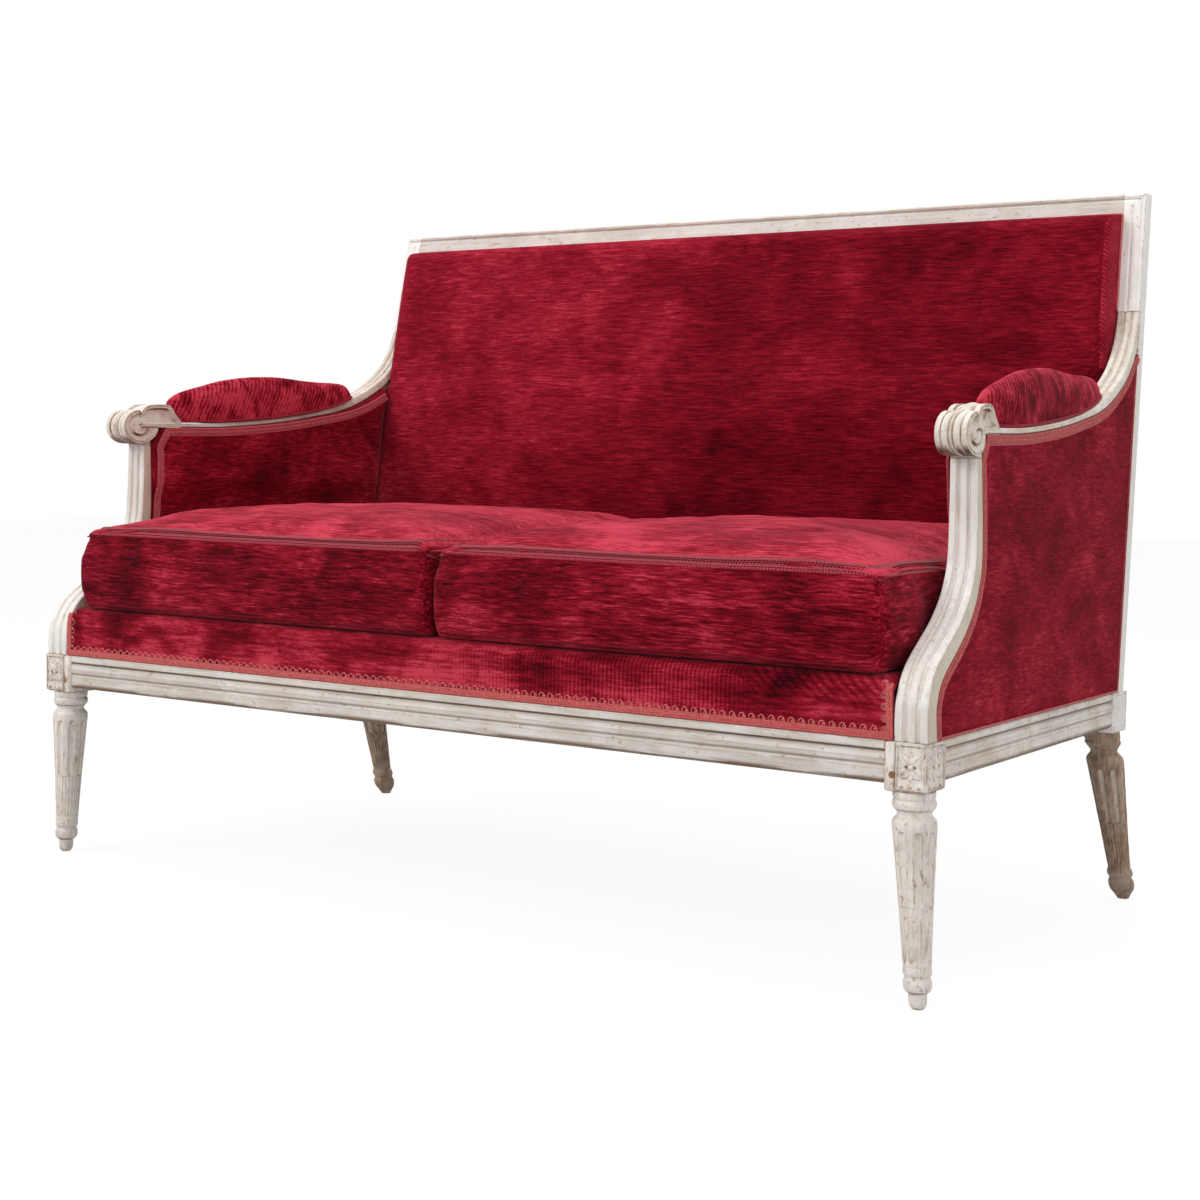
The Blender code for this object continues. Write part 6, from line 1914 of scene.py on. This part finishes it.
def back_sheet(name, node, rear, thickness, look, slot, puff=0.0):
    """Cloth stretched on the back frame, its middle out of the frame by a puff."""
    across, up = 60, 30
    grids = [], []
    for j in range(up + 1):
        z = blend(opening_bottom() + FIT, opening_top() - FIT, j / up)
        for grid, depth in zip(grids, (rear + thickness, rear)):
            row = []
            for i in range(across + 1):
                s = 2 * i / across - 1
                near = min(1 - abs(s), 2 * min(j / up, 1 - j / up)) / 0.1
                row.append((s * (opening_half(z) - FIT), back_y(z, depth - puff * min(near, 1)), z))
            grid.append(row)
    declare_sheet(slab_piece(name, node, slot, look, *grids))


def back_stuffing():
    cloth = WEB_DEPTH + WEB_THICKNESS + CLOTH_THICKNESS + 2 * FIT
    face = STILE_DEPTH_UPPER + BACK_PROUD
    margin = INNER_COVER_REAR - STILE_INSET - STILE_WIDTH
    front_rows, rear_rows = [], []
    for z, full in smooth_curve(back_rows(), 2):
        half = opening_half(z) - margin - BACK_EDGE_ROUNDING / 2
        front, rear = [], []
        for i in range(31):
            s = 2 * i / 30 - 1
            share = 1 + BACK_CROWN / BACK_FULLNESS * (1 - s ** 4)
            edge = min((1 - abs(s)) / 0.05, 1)
            depth = face + (BACK_FULLNESS * full * share - 0.007) * (0.7 + 0.3 * edge)
            front.append((s * half, back_y(z, max(depth, cloth + 0.002)), z))
            rear.append((s * half, back_y(z, cloth), z))
        front_rows.append(front)
        rear_rows.append(rear)
    stuffing = slab_piece(
        "back_horsehair", "back_stuffing", "horsehair_pad", HORSEHAIR, front_rows, rear_rows, 40
    )


def seat_cloth():
    """Hessian over the seat's webbing."""
    low = SEAT_TOP + WEB_THICKNESS + 2 * FIT
    front, rear = FRONT + WEB_FRONT, FRONT + SEAT_DEPTH - WEB_FRONT
    places = [blend(front, rear, j / 20) for j in range(21)]
    grids = [
        [[(deck_x(y, low) * (2 * i / 30 - 1), y, z) for i in range(31)] for y in places]
        for z in (low + CLOTH_THICKNESS, low)
    ]
    cloth = slab_piece("seat_hessian_cloth", "seat_hessian", "jute_cloth", HESSIAN, *grids)
    declare_sheet(cloth)


def arm_cloth(side, word):
    """Hessian on the inside of the arm, under the padding."""
    rows = coons(*arm_opening(SEAT_TOP + INNER_COVER_LIFT, FIT), 30, 26)
    grids = [
        [[(side * side_x(y, z, CORE_INNER + FIT + extra), y, z) for y, z in row] for row in rows]
        for extra in (0, CLOTH_THICKNESS)
    ]
    cloth = slab_piece("arm_hessian_cloth_" + word, "arm_hessian_" + word, "jute_cloth", HESSIAN, *grids)
    declare_sheet(cloth)


def under_cloth():
    """The thin black cloth under the seat, notched at the blocks, sagging a little between the rails."""
    y0, y1 = FRONT + WEB_FRONT, FRONT + SEAT_DEPTH - WEB_FRONT
    notch0, notch1 = FRONT + BLOCK_SIDE + WEB_FRONT, FRONT + SEAT_DEPTH - BLOCK_SIDE - WEB_FRONT
    front_x, rear_x = WIDTH / 2 - BLOCK_SIDE - WEB_FRONT, REAR_WIDTH / 2 - BLOCK_SIDE - WEB_FRONT
    plan = [(blend(y0, notch0, k / 3), front_x) for k in range(4)]
    for k in range(25):
        y = blend(notch0, notch1, k / 24)
        plan.append((y, rail_side_x(y, WEB_LANDING)))
    plan += [(blend(notch1, y1, k / 3), rear_x) for k in range(4)]
    grids = []
    for top in (RAIL_BOTTOM - FIT, RAIL_BOTTOM - FIT - DUST_COVER_THICKNESS):
        grid = []
        for y, reach in plan:
            row = []
            for i in range(61):
                s = 2 * i / 60 - 1
                near = min((1 - abs(s)) * 4, (y - y0) / 0.15, (y1 - y) / 0.15, 1)
                row.append((s * reach, y, top - UNDER_CLOTH_SAG * max(near, 0) ** 1.5))
            grid.append(row)
        grids.append(grid)
    cloth = slab_piece("under_cloth", "dust_cover", "black_cloth", BLACK_CLOTH, *grids)
    declare_sheet(cloth)


# Webbing, laid strap over strap

def woven_straps(name, node, starts, ends, other_starts, other_ends, out, slot, look):
    """Two sets of straps, each going over and under the other set."""
    mesh = bmesh.new()
    for first, last, rows, phase in ((starts, ends, other_starts, 0), (other_starts, other_ends, starts, 1)):
        crossings = len(rows)
        for index, (a, b) in enumerate(zip(first, last)):
            a, b = Vector(a), Vector(b)
            along = (b - a).normalized()
            across = along.cross(out).normalized() * WEB_WIDTH / 2
            fronts, rears = [], []
            steps = 12 * (crossings + 1)
            for k in range(steps + 1):
                t = k / steps
                place = a.lerp(b, t)
                swing = math.cos(math.pi * (t * (crossings + 1) + index + phase))
                near_end = min(t, 1 - t) * (crossings + 1) / 0.6
                lift = 0.0005 * swing * min(near_end, 1)
                middle = place + out * (WEB_THICKNESS / 2 + lift)
                fronts.append([tuple(middle + across * s + out * 0.00045) for s in (-1, -0.96, 0, 0.96, 1)])
                rears.append([tuple(middle + across * s - out * 0.00045) for s in (-1, -0.96, 0, 0.96, 1)])
            add_slab(mesh, fronts, rears)
    straps = finished(name, mesh, [look], 50, closed=False)
    hold(straps, node, slot=slot)


def seat_straps():
    start, end = FRONT + WEB_FRONT, FRONT + SEAT_DEPTH - WEB_FRONT
    half = rail_side_x(FRONT, WEB_LANDING)
    z = SEAT_TOP + FIT
    a, b, c, d = [], [], [], []
    for share in SEAT_STRAPS_ACROSS_SHARES:
        x = half * share
        a.append((x * rail_side_x(start, WEB_LANDING) / half, start, z))
        b.append((x * rail_side_x(end, WEB_LANDING) / half, end, z))
    for share in SEAT_STRAPS_ALONG_SHARES:
        y = blend(start, end, share)
        reach = rail_side_x(y, WEB_LANDING)
        c.append((-reach, y, z))
        d.append((reach, y, z))
    woven_straps("seat_straps", "seat_webbing", a, b, c, d, Vector((0, 0, 1)), "jute_cloth", WEBBING)


def back_straps():
    bottom, top = opening_bottom(), opening_top()
    half = opening_half(bottom)
    out = Vector((0, -1, LEAN)).normalized()
    a, b, c, d = [], [], [], []
    for share in BACK_STRAPS_UP_SHARES:
        x = half * share
        a.append((x, back_y(bottom, WEB_DEPTH), bottom))
        b.append((x * opening_half(top) / half, back_y(top, WEB_DEPTH), top))
    for share in BACK_STRAPS_ACROSS_SHARES:
        z = blend(bottom, top, share)
        reach = opening_half(z)
        c.append((-reach, back_y(z, WEB_DEPTH), z))
        d.append((reach, back_y(z, WEB_DEPTH), z))
    woven_straps("back_straps", "back_webbing", a, b, c, d, out, "jute_cloth", WEBBING)


# Gimp: a woven band with a row of small loops along the velvet

def ribbon(mesh, near, far, out, thickness, across=6):
    """A flat braid between two lines, slightly domed, with its thickness along a direction."""
    fronts, rears = [], []
    for a, b in zip(near, far):
        places = [Vector(a).lerp(Vector(b), k / across) for k in range(across + 1)]
        domes = [thickness * (0.72 + 0.28 * math.sin(math.pi * k / across)) for k in range(across + 1)]
        fronts.append([tuple(place + out * dome) for place, dome in zip(places, domes)])
        rears.append([tuple(place) for place in places])
    add_slab(mesh, fronts, rears)


def loop_row(name, line, out, size, pitch, look, thread=0.30):
    """Small loops of thread set side by side along a line, made with Geometry Nodes into a plain mesh."""
    path = bpy.data.meshes.new(name + "_path")
    path.from_pydata(line, [(i, i + 1) for i in range(len(line) - 1)], [])
    source = bpy.data.objects.new(name, path)
    bpy.context.collection.objects.link(source)
    change = source.modifiers.new("thread_loops", "NODES")
    change.node_group = thread_loops_tree()
    values = {"Pitch": pitch, "Loop size": size, "Thread": size * thread, "Out": tuple(out), "Material": look}
    for item in change.node_group.interface.items_tree:
        if item.in_out == "INPUT" and item.name in values:
            change[item.identifier] = values[item.name]
    graph = bpy.context.evaluated_depsgraph_get()
    source.data = bpy.data.meshes.new_from_object(source.evaluated_get(graph))
    source.modifiers.remove(change)
    bpy.data.meshes.remove(path)
    return source


def thread_loops_tree():
    """Loops of thread along a path: pitch, loop size, thread thickness, the way out and the material."""
    found = bpy.data.node_groups.get("thread_loops")
    if found:
        return found
    tree = bpy.data.node_groups.new("thread_loops", "GeometryNodeTree")
    for name, kind in (("Geometry", "Geometry"), ("Pitch", "Float"), ("Loop size", "Float"), ("Thread", "Float"),
                       ("Out", "Vector"), ("Material", "Material")):
        tree.interface.new_socket(name, in_out="INPUT", socket_type="NodeSocket" + kind)
    tree.interface.new_socket("Geometry", in_out="OUTPUT", socket_type="NodeSocketGeometry")

    def add(kind, output, sockets, **settings):
        return add_node(tree, kind, output, sockets, **settings)

    given = tree.nodes.new("NodeGroupInput").outputs
    curve = add("GeometryNodeMeshToCurve", "Curve", {"Mesh": given["Geometry"]})
    curve = add("GeometryNodeResampleCurve", "Curve", {"Curve": curve, "Length": given["Pitch"]}, mode="LENGTH")
    keep = tree.nodes.new("GeometryNodeCaptureAttribute")
    keep.capture_items.new("VECTOR", "Tangent")
    plug(keep, {"Geometry": curve, "Tangent": add("GeometryNodeInputTangent", "Tangent", {})})
    points = add("GeometryNodeCurveToPoints", "Points", {"Curve": keep.outputs["Geometry"]}, mode="EVALUATED")
    ring = add("GeometryNodeCurvePrimitiveCircle", "Curve", {"Resolution": 10, "Radius": given["Loop size"]})
    wire = add("GeometryNodeCurvePrimitiveCircle", "Curve", {"Resolution": 4, "Radius": given["Thread"]})
    tube = add("GeometryNodeCurveToMesh", "Mesh", {"Curve": ring, "Profile Curve": wire})
    turn = add("FunctionNodeAlignRotationToVector", "Rotation", {"Vector": given["Out"]}, axis="Z")
    turn = add(
        "FunctionNodeAlignRotationToVector", "Rotation", {"Rotation": turn, "Vector": keep.outputs["Tangent"]},
        axis="X", pivot_axis="Z",
    )
    shape = add("GeometryNodeInstanceOnPoints", 0, {"Points": points, "Instance": tube, "Rotation": turn})
    shape = add("GeometryNodeRealizeInstances", 0, {"Geometry": shape})
    shape = add("GeometryNodeSetShadeSmooth", 0, {"Geometry": shape})
    shape = add("GeometryNodeSetMaterial", 0, {"Geometry": shape, "Material": given["Material"]})
    plug(tree.nodes.new("NodeGroupOutput"), {"Geometry": shape})
    return tree


def joined(name, parts):
    """Several mesh objects as one."""
    mesh = bmesh.new()
    looks = []
    for part in parts:
        start = len(mesh.faces)
        mesh.from_mesh(part.data)
        mesh.faces.ensure_lookup_table()
        for face in mesh.faces[start:]:
            look = part.data.materials[face.material_index] if part.data.materials else None
            if look not in looks:
                looks.append(look)
            face.material_index = looks.index(look)
        old = part.data
        bpy.data.objects.remove(part, do_unlink=True)
        bpy.data.meshes.remove(old)
    data = bpy.data.meshes.new(name)
    mesh.to_mesh(data)
    mesh.free()
    for look in looks:
        data.materials.append(look)
    made = bpy.data.objects.new(name, data)
    bpy.context.collection.objects.link(made)
    return made


def seat_front_gimp():
    """Braid along the bottom of the seat's front band and up both of its ends."""
    y = FRONT + DECK_FRONT - FIT
    bottom = SEAT_TOP + FIT + GIMP_EDGE
    top = DECK_TOP - DECK_EDGE_RADIUS + FRONT_GIMP_RISE
    band = FRONT_GIMP_WIDTH * BAND_SHARE
    out = Vector((0, -1, 0))

    def line(inset):
        low, high = bottom + inset, top
        a, b = deck_x(y, bottom) - GIMP_EDGE - inset, deck_x(y, top) - GIMP_EDGE - inset

        def lean(z):
            over = max(z - (DECK_TOP - DECK_EDGE_RADIUS), 0)
            return y + DECK_EDGE_RADIUS - math.sqrt(max(DECK_EDGE_RADIUS ** 2 - over ** 2, 0))

        shares = [k / 12 for k in range(12, 0, -1)]
        left = [(-blend(a, b, s), lean(blend(low, high, s)), blend(low, high, s)) for s in shares]
        middle = [(blend(-a, a, k / 240), y, low) for k in range(241)]
        return left + middle + [(-x, ahead, z) for x, ahead, z in left[::-1]]

    mesh = bmesh.new()
    ribbon(mesh, line(0), line(band), out, GIMP_THICKNESS * 0.9)
    band_piece = finished("front_band", mesh, [ROSE_BAND], 50)
    trims = gimp_threads("front", line, band, out, 0.0036, 0.0126, 0.0004, ROSE_THREAD)
    braid = joined("seat_front_braid", [band_piece, *trims])
    hold(braid, "seat_front_gimp", slot="rose_gimp")


def gimp_threads(name, line, band, out, size, pitch, inset, thread, thick=0.21, twist=0.0024):
    """The gimp's scalloped loops with a small knot between each two, and the twisted threads along the band's edges."""
    scallops = line(band + size * 0.55)
    run = running_length(scallops)
    half = [point for point, along in zip(scallops, run) if along > pitch / 2]
    knots = line(band + size * 0.3)[len(scallops) - len(half):]
    return [
        loop_row(name + "_scallops", scallops, out, size, pitch, thread, thick),
        loop_row(name + "_knots", knots, out, size * 0.5, pitch, thread, 0.5),
        loop_row(name + "_edge", raised(line(inset + 0.0012), out, 0.0011), out, 0.0011, twist, thread, 0.45),
        loop_row(name + "_seam", raised(line(band - 0.0014), out, 0.0012), out, 0.0010, twist, thread, 0.45),
    ]


def raised(line, out, rise):
    return [tuple(Vector(point) + out * rise) for point in line]


def side_braid(name, node, side, edge_path, out_x, looped, looks, cord_path=None):
    """Braid along a path of (y, z) points on the side of the arm; out_x gives its x from its depth."""
    out = Vector((side * looped, 0, 0))

    def line(inset, lift=0.0):
        moved = inset_path(edge_path, [inset] * (len(edge_path) - 1))
        return [(out_x(y, z, lift), y, z) for y, z in even(refine(moved, 4), 400)]

    mesh = bmesh.new()
    ribbon(mesh, line(GIMP_EDGE), line(GIMP_EDGE + SIDE_BAND), out, GIMP_THICKNESS * 0.8)
    if cord_path:
        points = [(out_x(y, z, 0), y, z) for y, z in even(refine(cord_path, 3), 200)]
        add_cord(mesh, points, CORD_WIDTH / 2 * 0.8, out)
    band_piece = finished(name + "_band", mesh, [looks[0]], 50, closed=False)
    trims = gimp_threads(
        name, lambda inset: line(GIMP_EDGE + inset, 0.0009), SIDE_BAND, out, 0.0027, 0.0050, 0.0, looks[1], 0.27
    )
    braid = joined(name, [band_piece, *trims])
    hold(braid, node, slot="rose_gimp")


def add_cord(mesh, points, radius, out, around=8):
    """A round cord along points, its middle a radius out from them."""
    loops = []
    for i, point in enumerate(points):
        a, b = Vector(points[max(i - 1, 0)]), Vector(points[min(i + 1, len(points) - 1)])
        along = (b - a).normalized()
        across = along.cross(out).normalized()
        up = across.cross(along).normalized()
        middle = Vector(point) + out * radius
        loops.append(cord_ring(middle, across, up, radius, around))
    add_loft(mesh, loops)


def arm_braids(side, word):
    edge, foot = panel_edges(SEAT_TOP + FIT, FIT)
    end = (edge[0][0] + GIMP_WIDTH + 2 * GIMP_EDGE, edge[0][1])
    cord = inset_path([edge[-1], foot, end], [GIMP_EDGE + CORD_WIDTH / 2] * 2)
    side_braid(
        "outside_arm_braid_" + word, "outside_arm_gimp_" + word, side, edge,
        lambda y, z, lift: side * side_x(y, z, OUTER_COVER_INSET - FIT - lift), 1, (ROSE_BAND, ROSE_THREAD), cord,
    )
    edge, foot = panel_edges(DECK_TOP, FIT)
    edge = [(y, z) for y, z in edge if z > DECK_TOP + CUSHION_HEIGHT / 4 and y < back_meets_arm(z) - GIMP_WIDTH]
    side_braid(
        "inside_arm_braid_" + word, "inside_arm_gimp_" + word, side, edge,
        lambda y, z, lift: side * side_x(y, z, blend(inner_cover_face(y), inner_face(y, z, side), 0.75) + lift), -1,
        (PINK_BAND, PINK_THREAD),
    )


def pad_braid(side, word):
    """A double cord on the arm round the foot of its pad."""
    mesh = bmesh.new()
    for ring in (0, 1):
        points = []
        sections = pad_sections(4)
        for sign, row in ((1, sections), (-1, sections[::-1])):
            for y, z, dy, dz, half, height, lean in row:
                rise = FIT + 0.0001 + ring * 0.0016
                reach = half + 0.0013 - ring * 0.0006
                py, pz = y - dy * rise, z - dz * rise
                points.append((side * side_x(py, pz, ARM_WIDTH / 2 + sign * reach), py, pz))
        points.append(points[0])
        add_cord(mesh, even(points, 260), 0.0011, Vector((0, 0, 1)), 6)
    braid = finished("arm_pad_braid_" + word, mesh, [WINE_THREAD], 60, closed=False)
    hold(braid, "arm_pad_gimp_" + word, slot="rose_gimp")


def back_braid():
    """Thin braid on the frame round the walls of the inside back."""
    low, top = back_rows()[BACK_GIMP_ROW][0], opening_top() + FIT
    depth = STILE_DEPTH_UPPER - MOULDING_GROOVE * FRAME_FACE_SHARES[0][1] + FIT
    points = []
    for k in range(61):
        z = blend(low, top, k / 60)
        points.append((-opening_half(z) - 0.0005, back_y(z, depth), z))
    for k in range(1, 200):
        x = blend(-opening_half(top), opening_half(top), k / 200)
        points.append((x, back_y(top, depth), top + 0.0005))
    points += [(-x, y, z) for x, y, z in points[:61][::-1]]
    mesh = bmesh.new()
    out = Vector((0, -1, LEAN)).normalized()
    add_cord(mesh, points, 0.0012, out, 6)
    cord = finished("back_cord", mesh, [ROSE_THREAD], 60)
    loops = loop_row("back_loops", points, out, 0.0013, 0.0024, ROSE_THREAD)
    braid = joined("inside_back_braid", [cord, loops])
    hold(braid, "inside_back_gimp", slot="rose_gimp")


def outside_back_braid():
    rear = OUTSIDE_DEPTH - FIT
    out = Vector((0, 1, -LEAN)).normalized()
    low, high = opening_bottom() + GIMP_EDGE, opening_top() - GIMP_EDGE
    band = GIMP_WIDTH * BAND_SHARE

    def line(inset):
        z0, z1 = low + inset, high - inset
        x0, x1 = opening_half(z0) - GIMP_EDGE - inset, opening_half(z1) - GIMP_EDGE - inset
        corners = [(-x0, z0), (x0, z0), (x1, z1), (-x1, z1), (-x0, z0)]
        points = []
        for (ax, az), (bx, bz) in zip(corners, corners[1:]):
            for k in range(80):
                z = blend(az, bz, k / 80)
                points.append((blend(ax, bx, k / 80), back_y(z, rear), z))
        return points

    mesh = bmesh.new()
    near, far = line(0), line(band)
    fronts, rears = [], []
    for a, b in zip(near, far):
        places = [Vector(a).lerp(Vector(b), k / 5) for k in range(6)]
        domes = [GIMP_THICKNESS * (0.7 + 0.2 * math.sin(math.pi * k / 5)) for k in range(6)]
        fronts.append([tuple(place + out * dome) for place, dome in zip(places, domes)])
        rears.append([tuple(place) for place in places[::-1]])
    add_grid(mesh, [front + rear for front, rear in zip(fronts, rears)], round_rows=True, round_columns=True)
    band_piece = finished("outside_back_band", mesh, [ROSE_BAND], 50)
    trims = gimp_threads("outside_back", line, band, out, 0.0025, 0.0108, 0.0, ROSE_THREAD, twist=0.0046)
    braid = joined("outside_back_braid", [band_piece, *trims])
    hold(braid, "outside_back_gimp", slot="rose_gimp")


# Studio

def camera():
    """A camera at the photographed angle, with a slight roll."""
    turn, tilt, roll = CAMERA_TURN, CAMERA_TILT, CAMERA_ROLL
    ahead = Vector((-math.sin(turn) * math.cos(tilt), math.cos(turn) * math.cos(tilt), math.sin(tilt)))
    right = Vector((math.cos(turn), math.sin(turn), 0))
    up = right.cross(ahead)
    across = right * math.cos(roll) + up * math.sin(roll)
    upright = up * math.cos(roll) - right * math.sin(roll)
    data = bpy.data.cameras.new("camera")
    data.sensor_width = 36
    data.lens = CAMERA_LENS
    data.clip_start = 0.05
    data.clip_end = 100
    made = bpy.data.objects.new("camera", data)
    bpy.context.collection.objects.link(made)
    place = Matrix.Identity(4)
    for i in range(3):
        place[i][0], place[i][1], place[i][2], place[i][3] = across[i], upright[i], -ahead[i], CAMERA_PLACE[i]
    made.matrix_world = place
    bpy.context.scene.camera = made


def lamp(name, place, aim, size, power, colour=(1, 1, 1)):
    data = bpy.data.lights.new(name, "AREA")
    data.shape = "RECTANGLE"
    data.size, data.size_y = size
    data.energy = power
    data.color = colour
    made = bpy.data.objects.new(name, data)
    bpy.context.collection.objects.link(made)
    made.location = place
    made.rotation_euler = (Vector(aim) - Vector(place)).to_track_quat("-Z", "Y").to_euler()


def lit_and_seen(tree, lit, seen):
    """One shader for the light that a thing gives, another where the camera or a reflection sees it."""
    rays = tree.nodes.new("ShaderNodeLightPath").outputs
    direct = {0: rays["Is Camera Ray"], 1: rays["Is Glossy Ray"]}
    share = add_node(tree, "ShaderNodeMath", 0, direct, operation="MAXIMUM")
    return add_node(tree, "ShaderNodeMixShader", 0, {0: share, 1: lit, 2: seen})


def studio():
    """A pale floor and backdrop with soft light, in which plain colours come out as they are."""
    scene = bpy.context.scene
    scene.view_settings.view_transform = "Standard"
    scene.world = bpy.data.worlds.new("studio")
    scene.world.use_nodes = True
    tree = scene.world.node_tree
    white = (1, 1, 1, 1)
    plug(tree.nodes["Background"], {"Color": white, "Strength": SURROUND_LIGHT})
    seen = add_node(tree, "ShaderNodeBackground", 0, {"Color": white, "Strength": 1})
    plug(tree.nodes["World Output"], {"Surface": lit_and_seen(tree, tree.nodes["Background"].outputs[0], seen)})

    data = bpy.data.meshes.new("floor")
    data.from_pydata([(-12, -12, 0), (12, -12, 0), (12, 14, 0), (-12, 14, 0)], [], [(0, 1, 2, 3)])
    floor = bpy.data.objects.new("floor", data)
    bpy.context.collection.objects.link(floor)
    paper = Finish("pale_floor", 1)
    plug(paper.shader, {"Base Color": (0.10, 0.10, 0.10, 1), "Specular IOR Level": 0})
    glow = paper.node("Emission", 0, {"Strength": FLOOR_GLOW})
    seen = paper.node("AddShader", 0, {0: paper.shader.outputs[0], 1: glow})
    plain = paper.node("BsdfDiffuse", 0, {"Color": (0.62, 0.62, 0.62, 1)})
    plug(paper.tree.nodes["Material Output"], {"Surface": lit_and_seen(paper.tree, plain, seen)})
    data.materials.append(paper.material)
    lamp("key", (-2.6, -3.6, 3.2), (0, 0, 0.5), (2.6, 2.0), KEY_LIGHT)
    lamp("fill", (3.4, -2.4, 1.8), (0, 0, 0.5), (2.4, 2.4), FILL_LIGHT)
    lamp("top", (0.2, 0.2, 3.6), (0, 0, 0.4), (3.0, 2.4), TOP_LIGHT)
    lamp("behind", (0.5, 4.0, 2.2), (0, 0, 0.5), (3.0, 2.0), REAR_LIGHT)


def refinish():
    """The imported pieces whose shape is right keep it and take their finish."""
    looks = {
        "front_seat_rail": WORN_PAINT_ACROSS, "top_rail": WORN_PAINT_ACROSS, "rear_seat_rail": WORN_PAINT_ACROSS,
        "side_seat_rail_left": WORN_PAINT_DEEP, "side_seat_rail_right": WORN_PAINT_DEEP,
    }
    for node in (
        "corner_block_front_left", "corner_block_front_right", "corner_block_rear_left", "corner_block_rear_right",
        "seat_cross_brace", "back_stay_rail", "rail_peg_left", "rail_peg_right", "post_peg_left", "post_peg_right",
    ):
        looks[node] = BARE_WOOD
    for node, look in looks.items():
        for place in bpy.data.objects[node].material_slots:
            place.material = look


def main():
    camera()
    studio()
    refinish()
    for side, word in ((-1, "right"), (1, "left")):
        for build in (front_leg, rear_post, arm_post, arm, outside_arm, inside_arm, arm_cloth, arm_pad, pad_braid,
                      arm_braids, seat_cushion):
            build(side, word)
    inside_back()
    back_stuffing()
    depth = WEB_DEPTH + WEB_THICKNESS + FIT
    back_sheet("back_hessian_cloth", "back_hessian", depth, CLOTH_THICKNESS, HESSIAN, "jute_cloth")
    back_sheet(
        "outside_back_velvet", "outside_back_cover", OUTSIDE_DEPTH, COVER_THICKNESS, BACK_VELVET, "crimson_velvet",
        OUTSIDE_PUFF,
    )
    for build in (back_straps, seat_straps, seat_cloth, seat_platform, under_cloth, seat_front_gimp, back_braid,
                  outside_back_braid):
        build()


main()
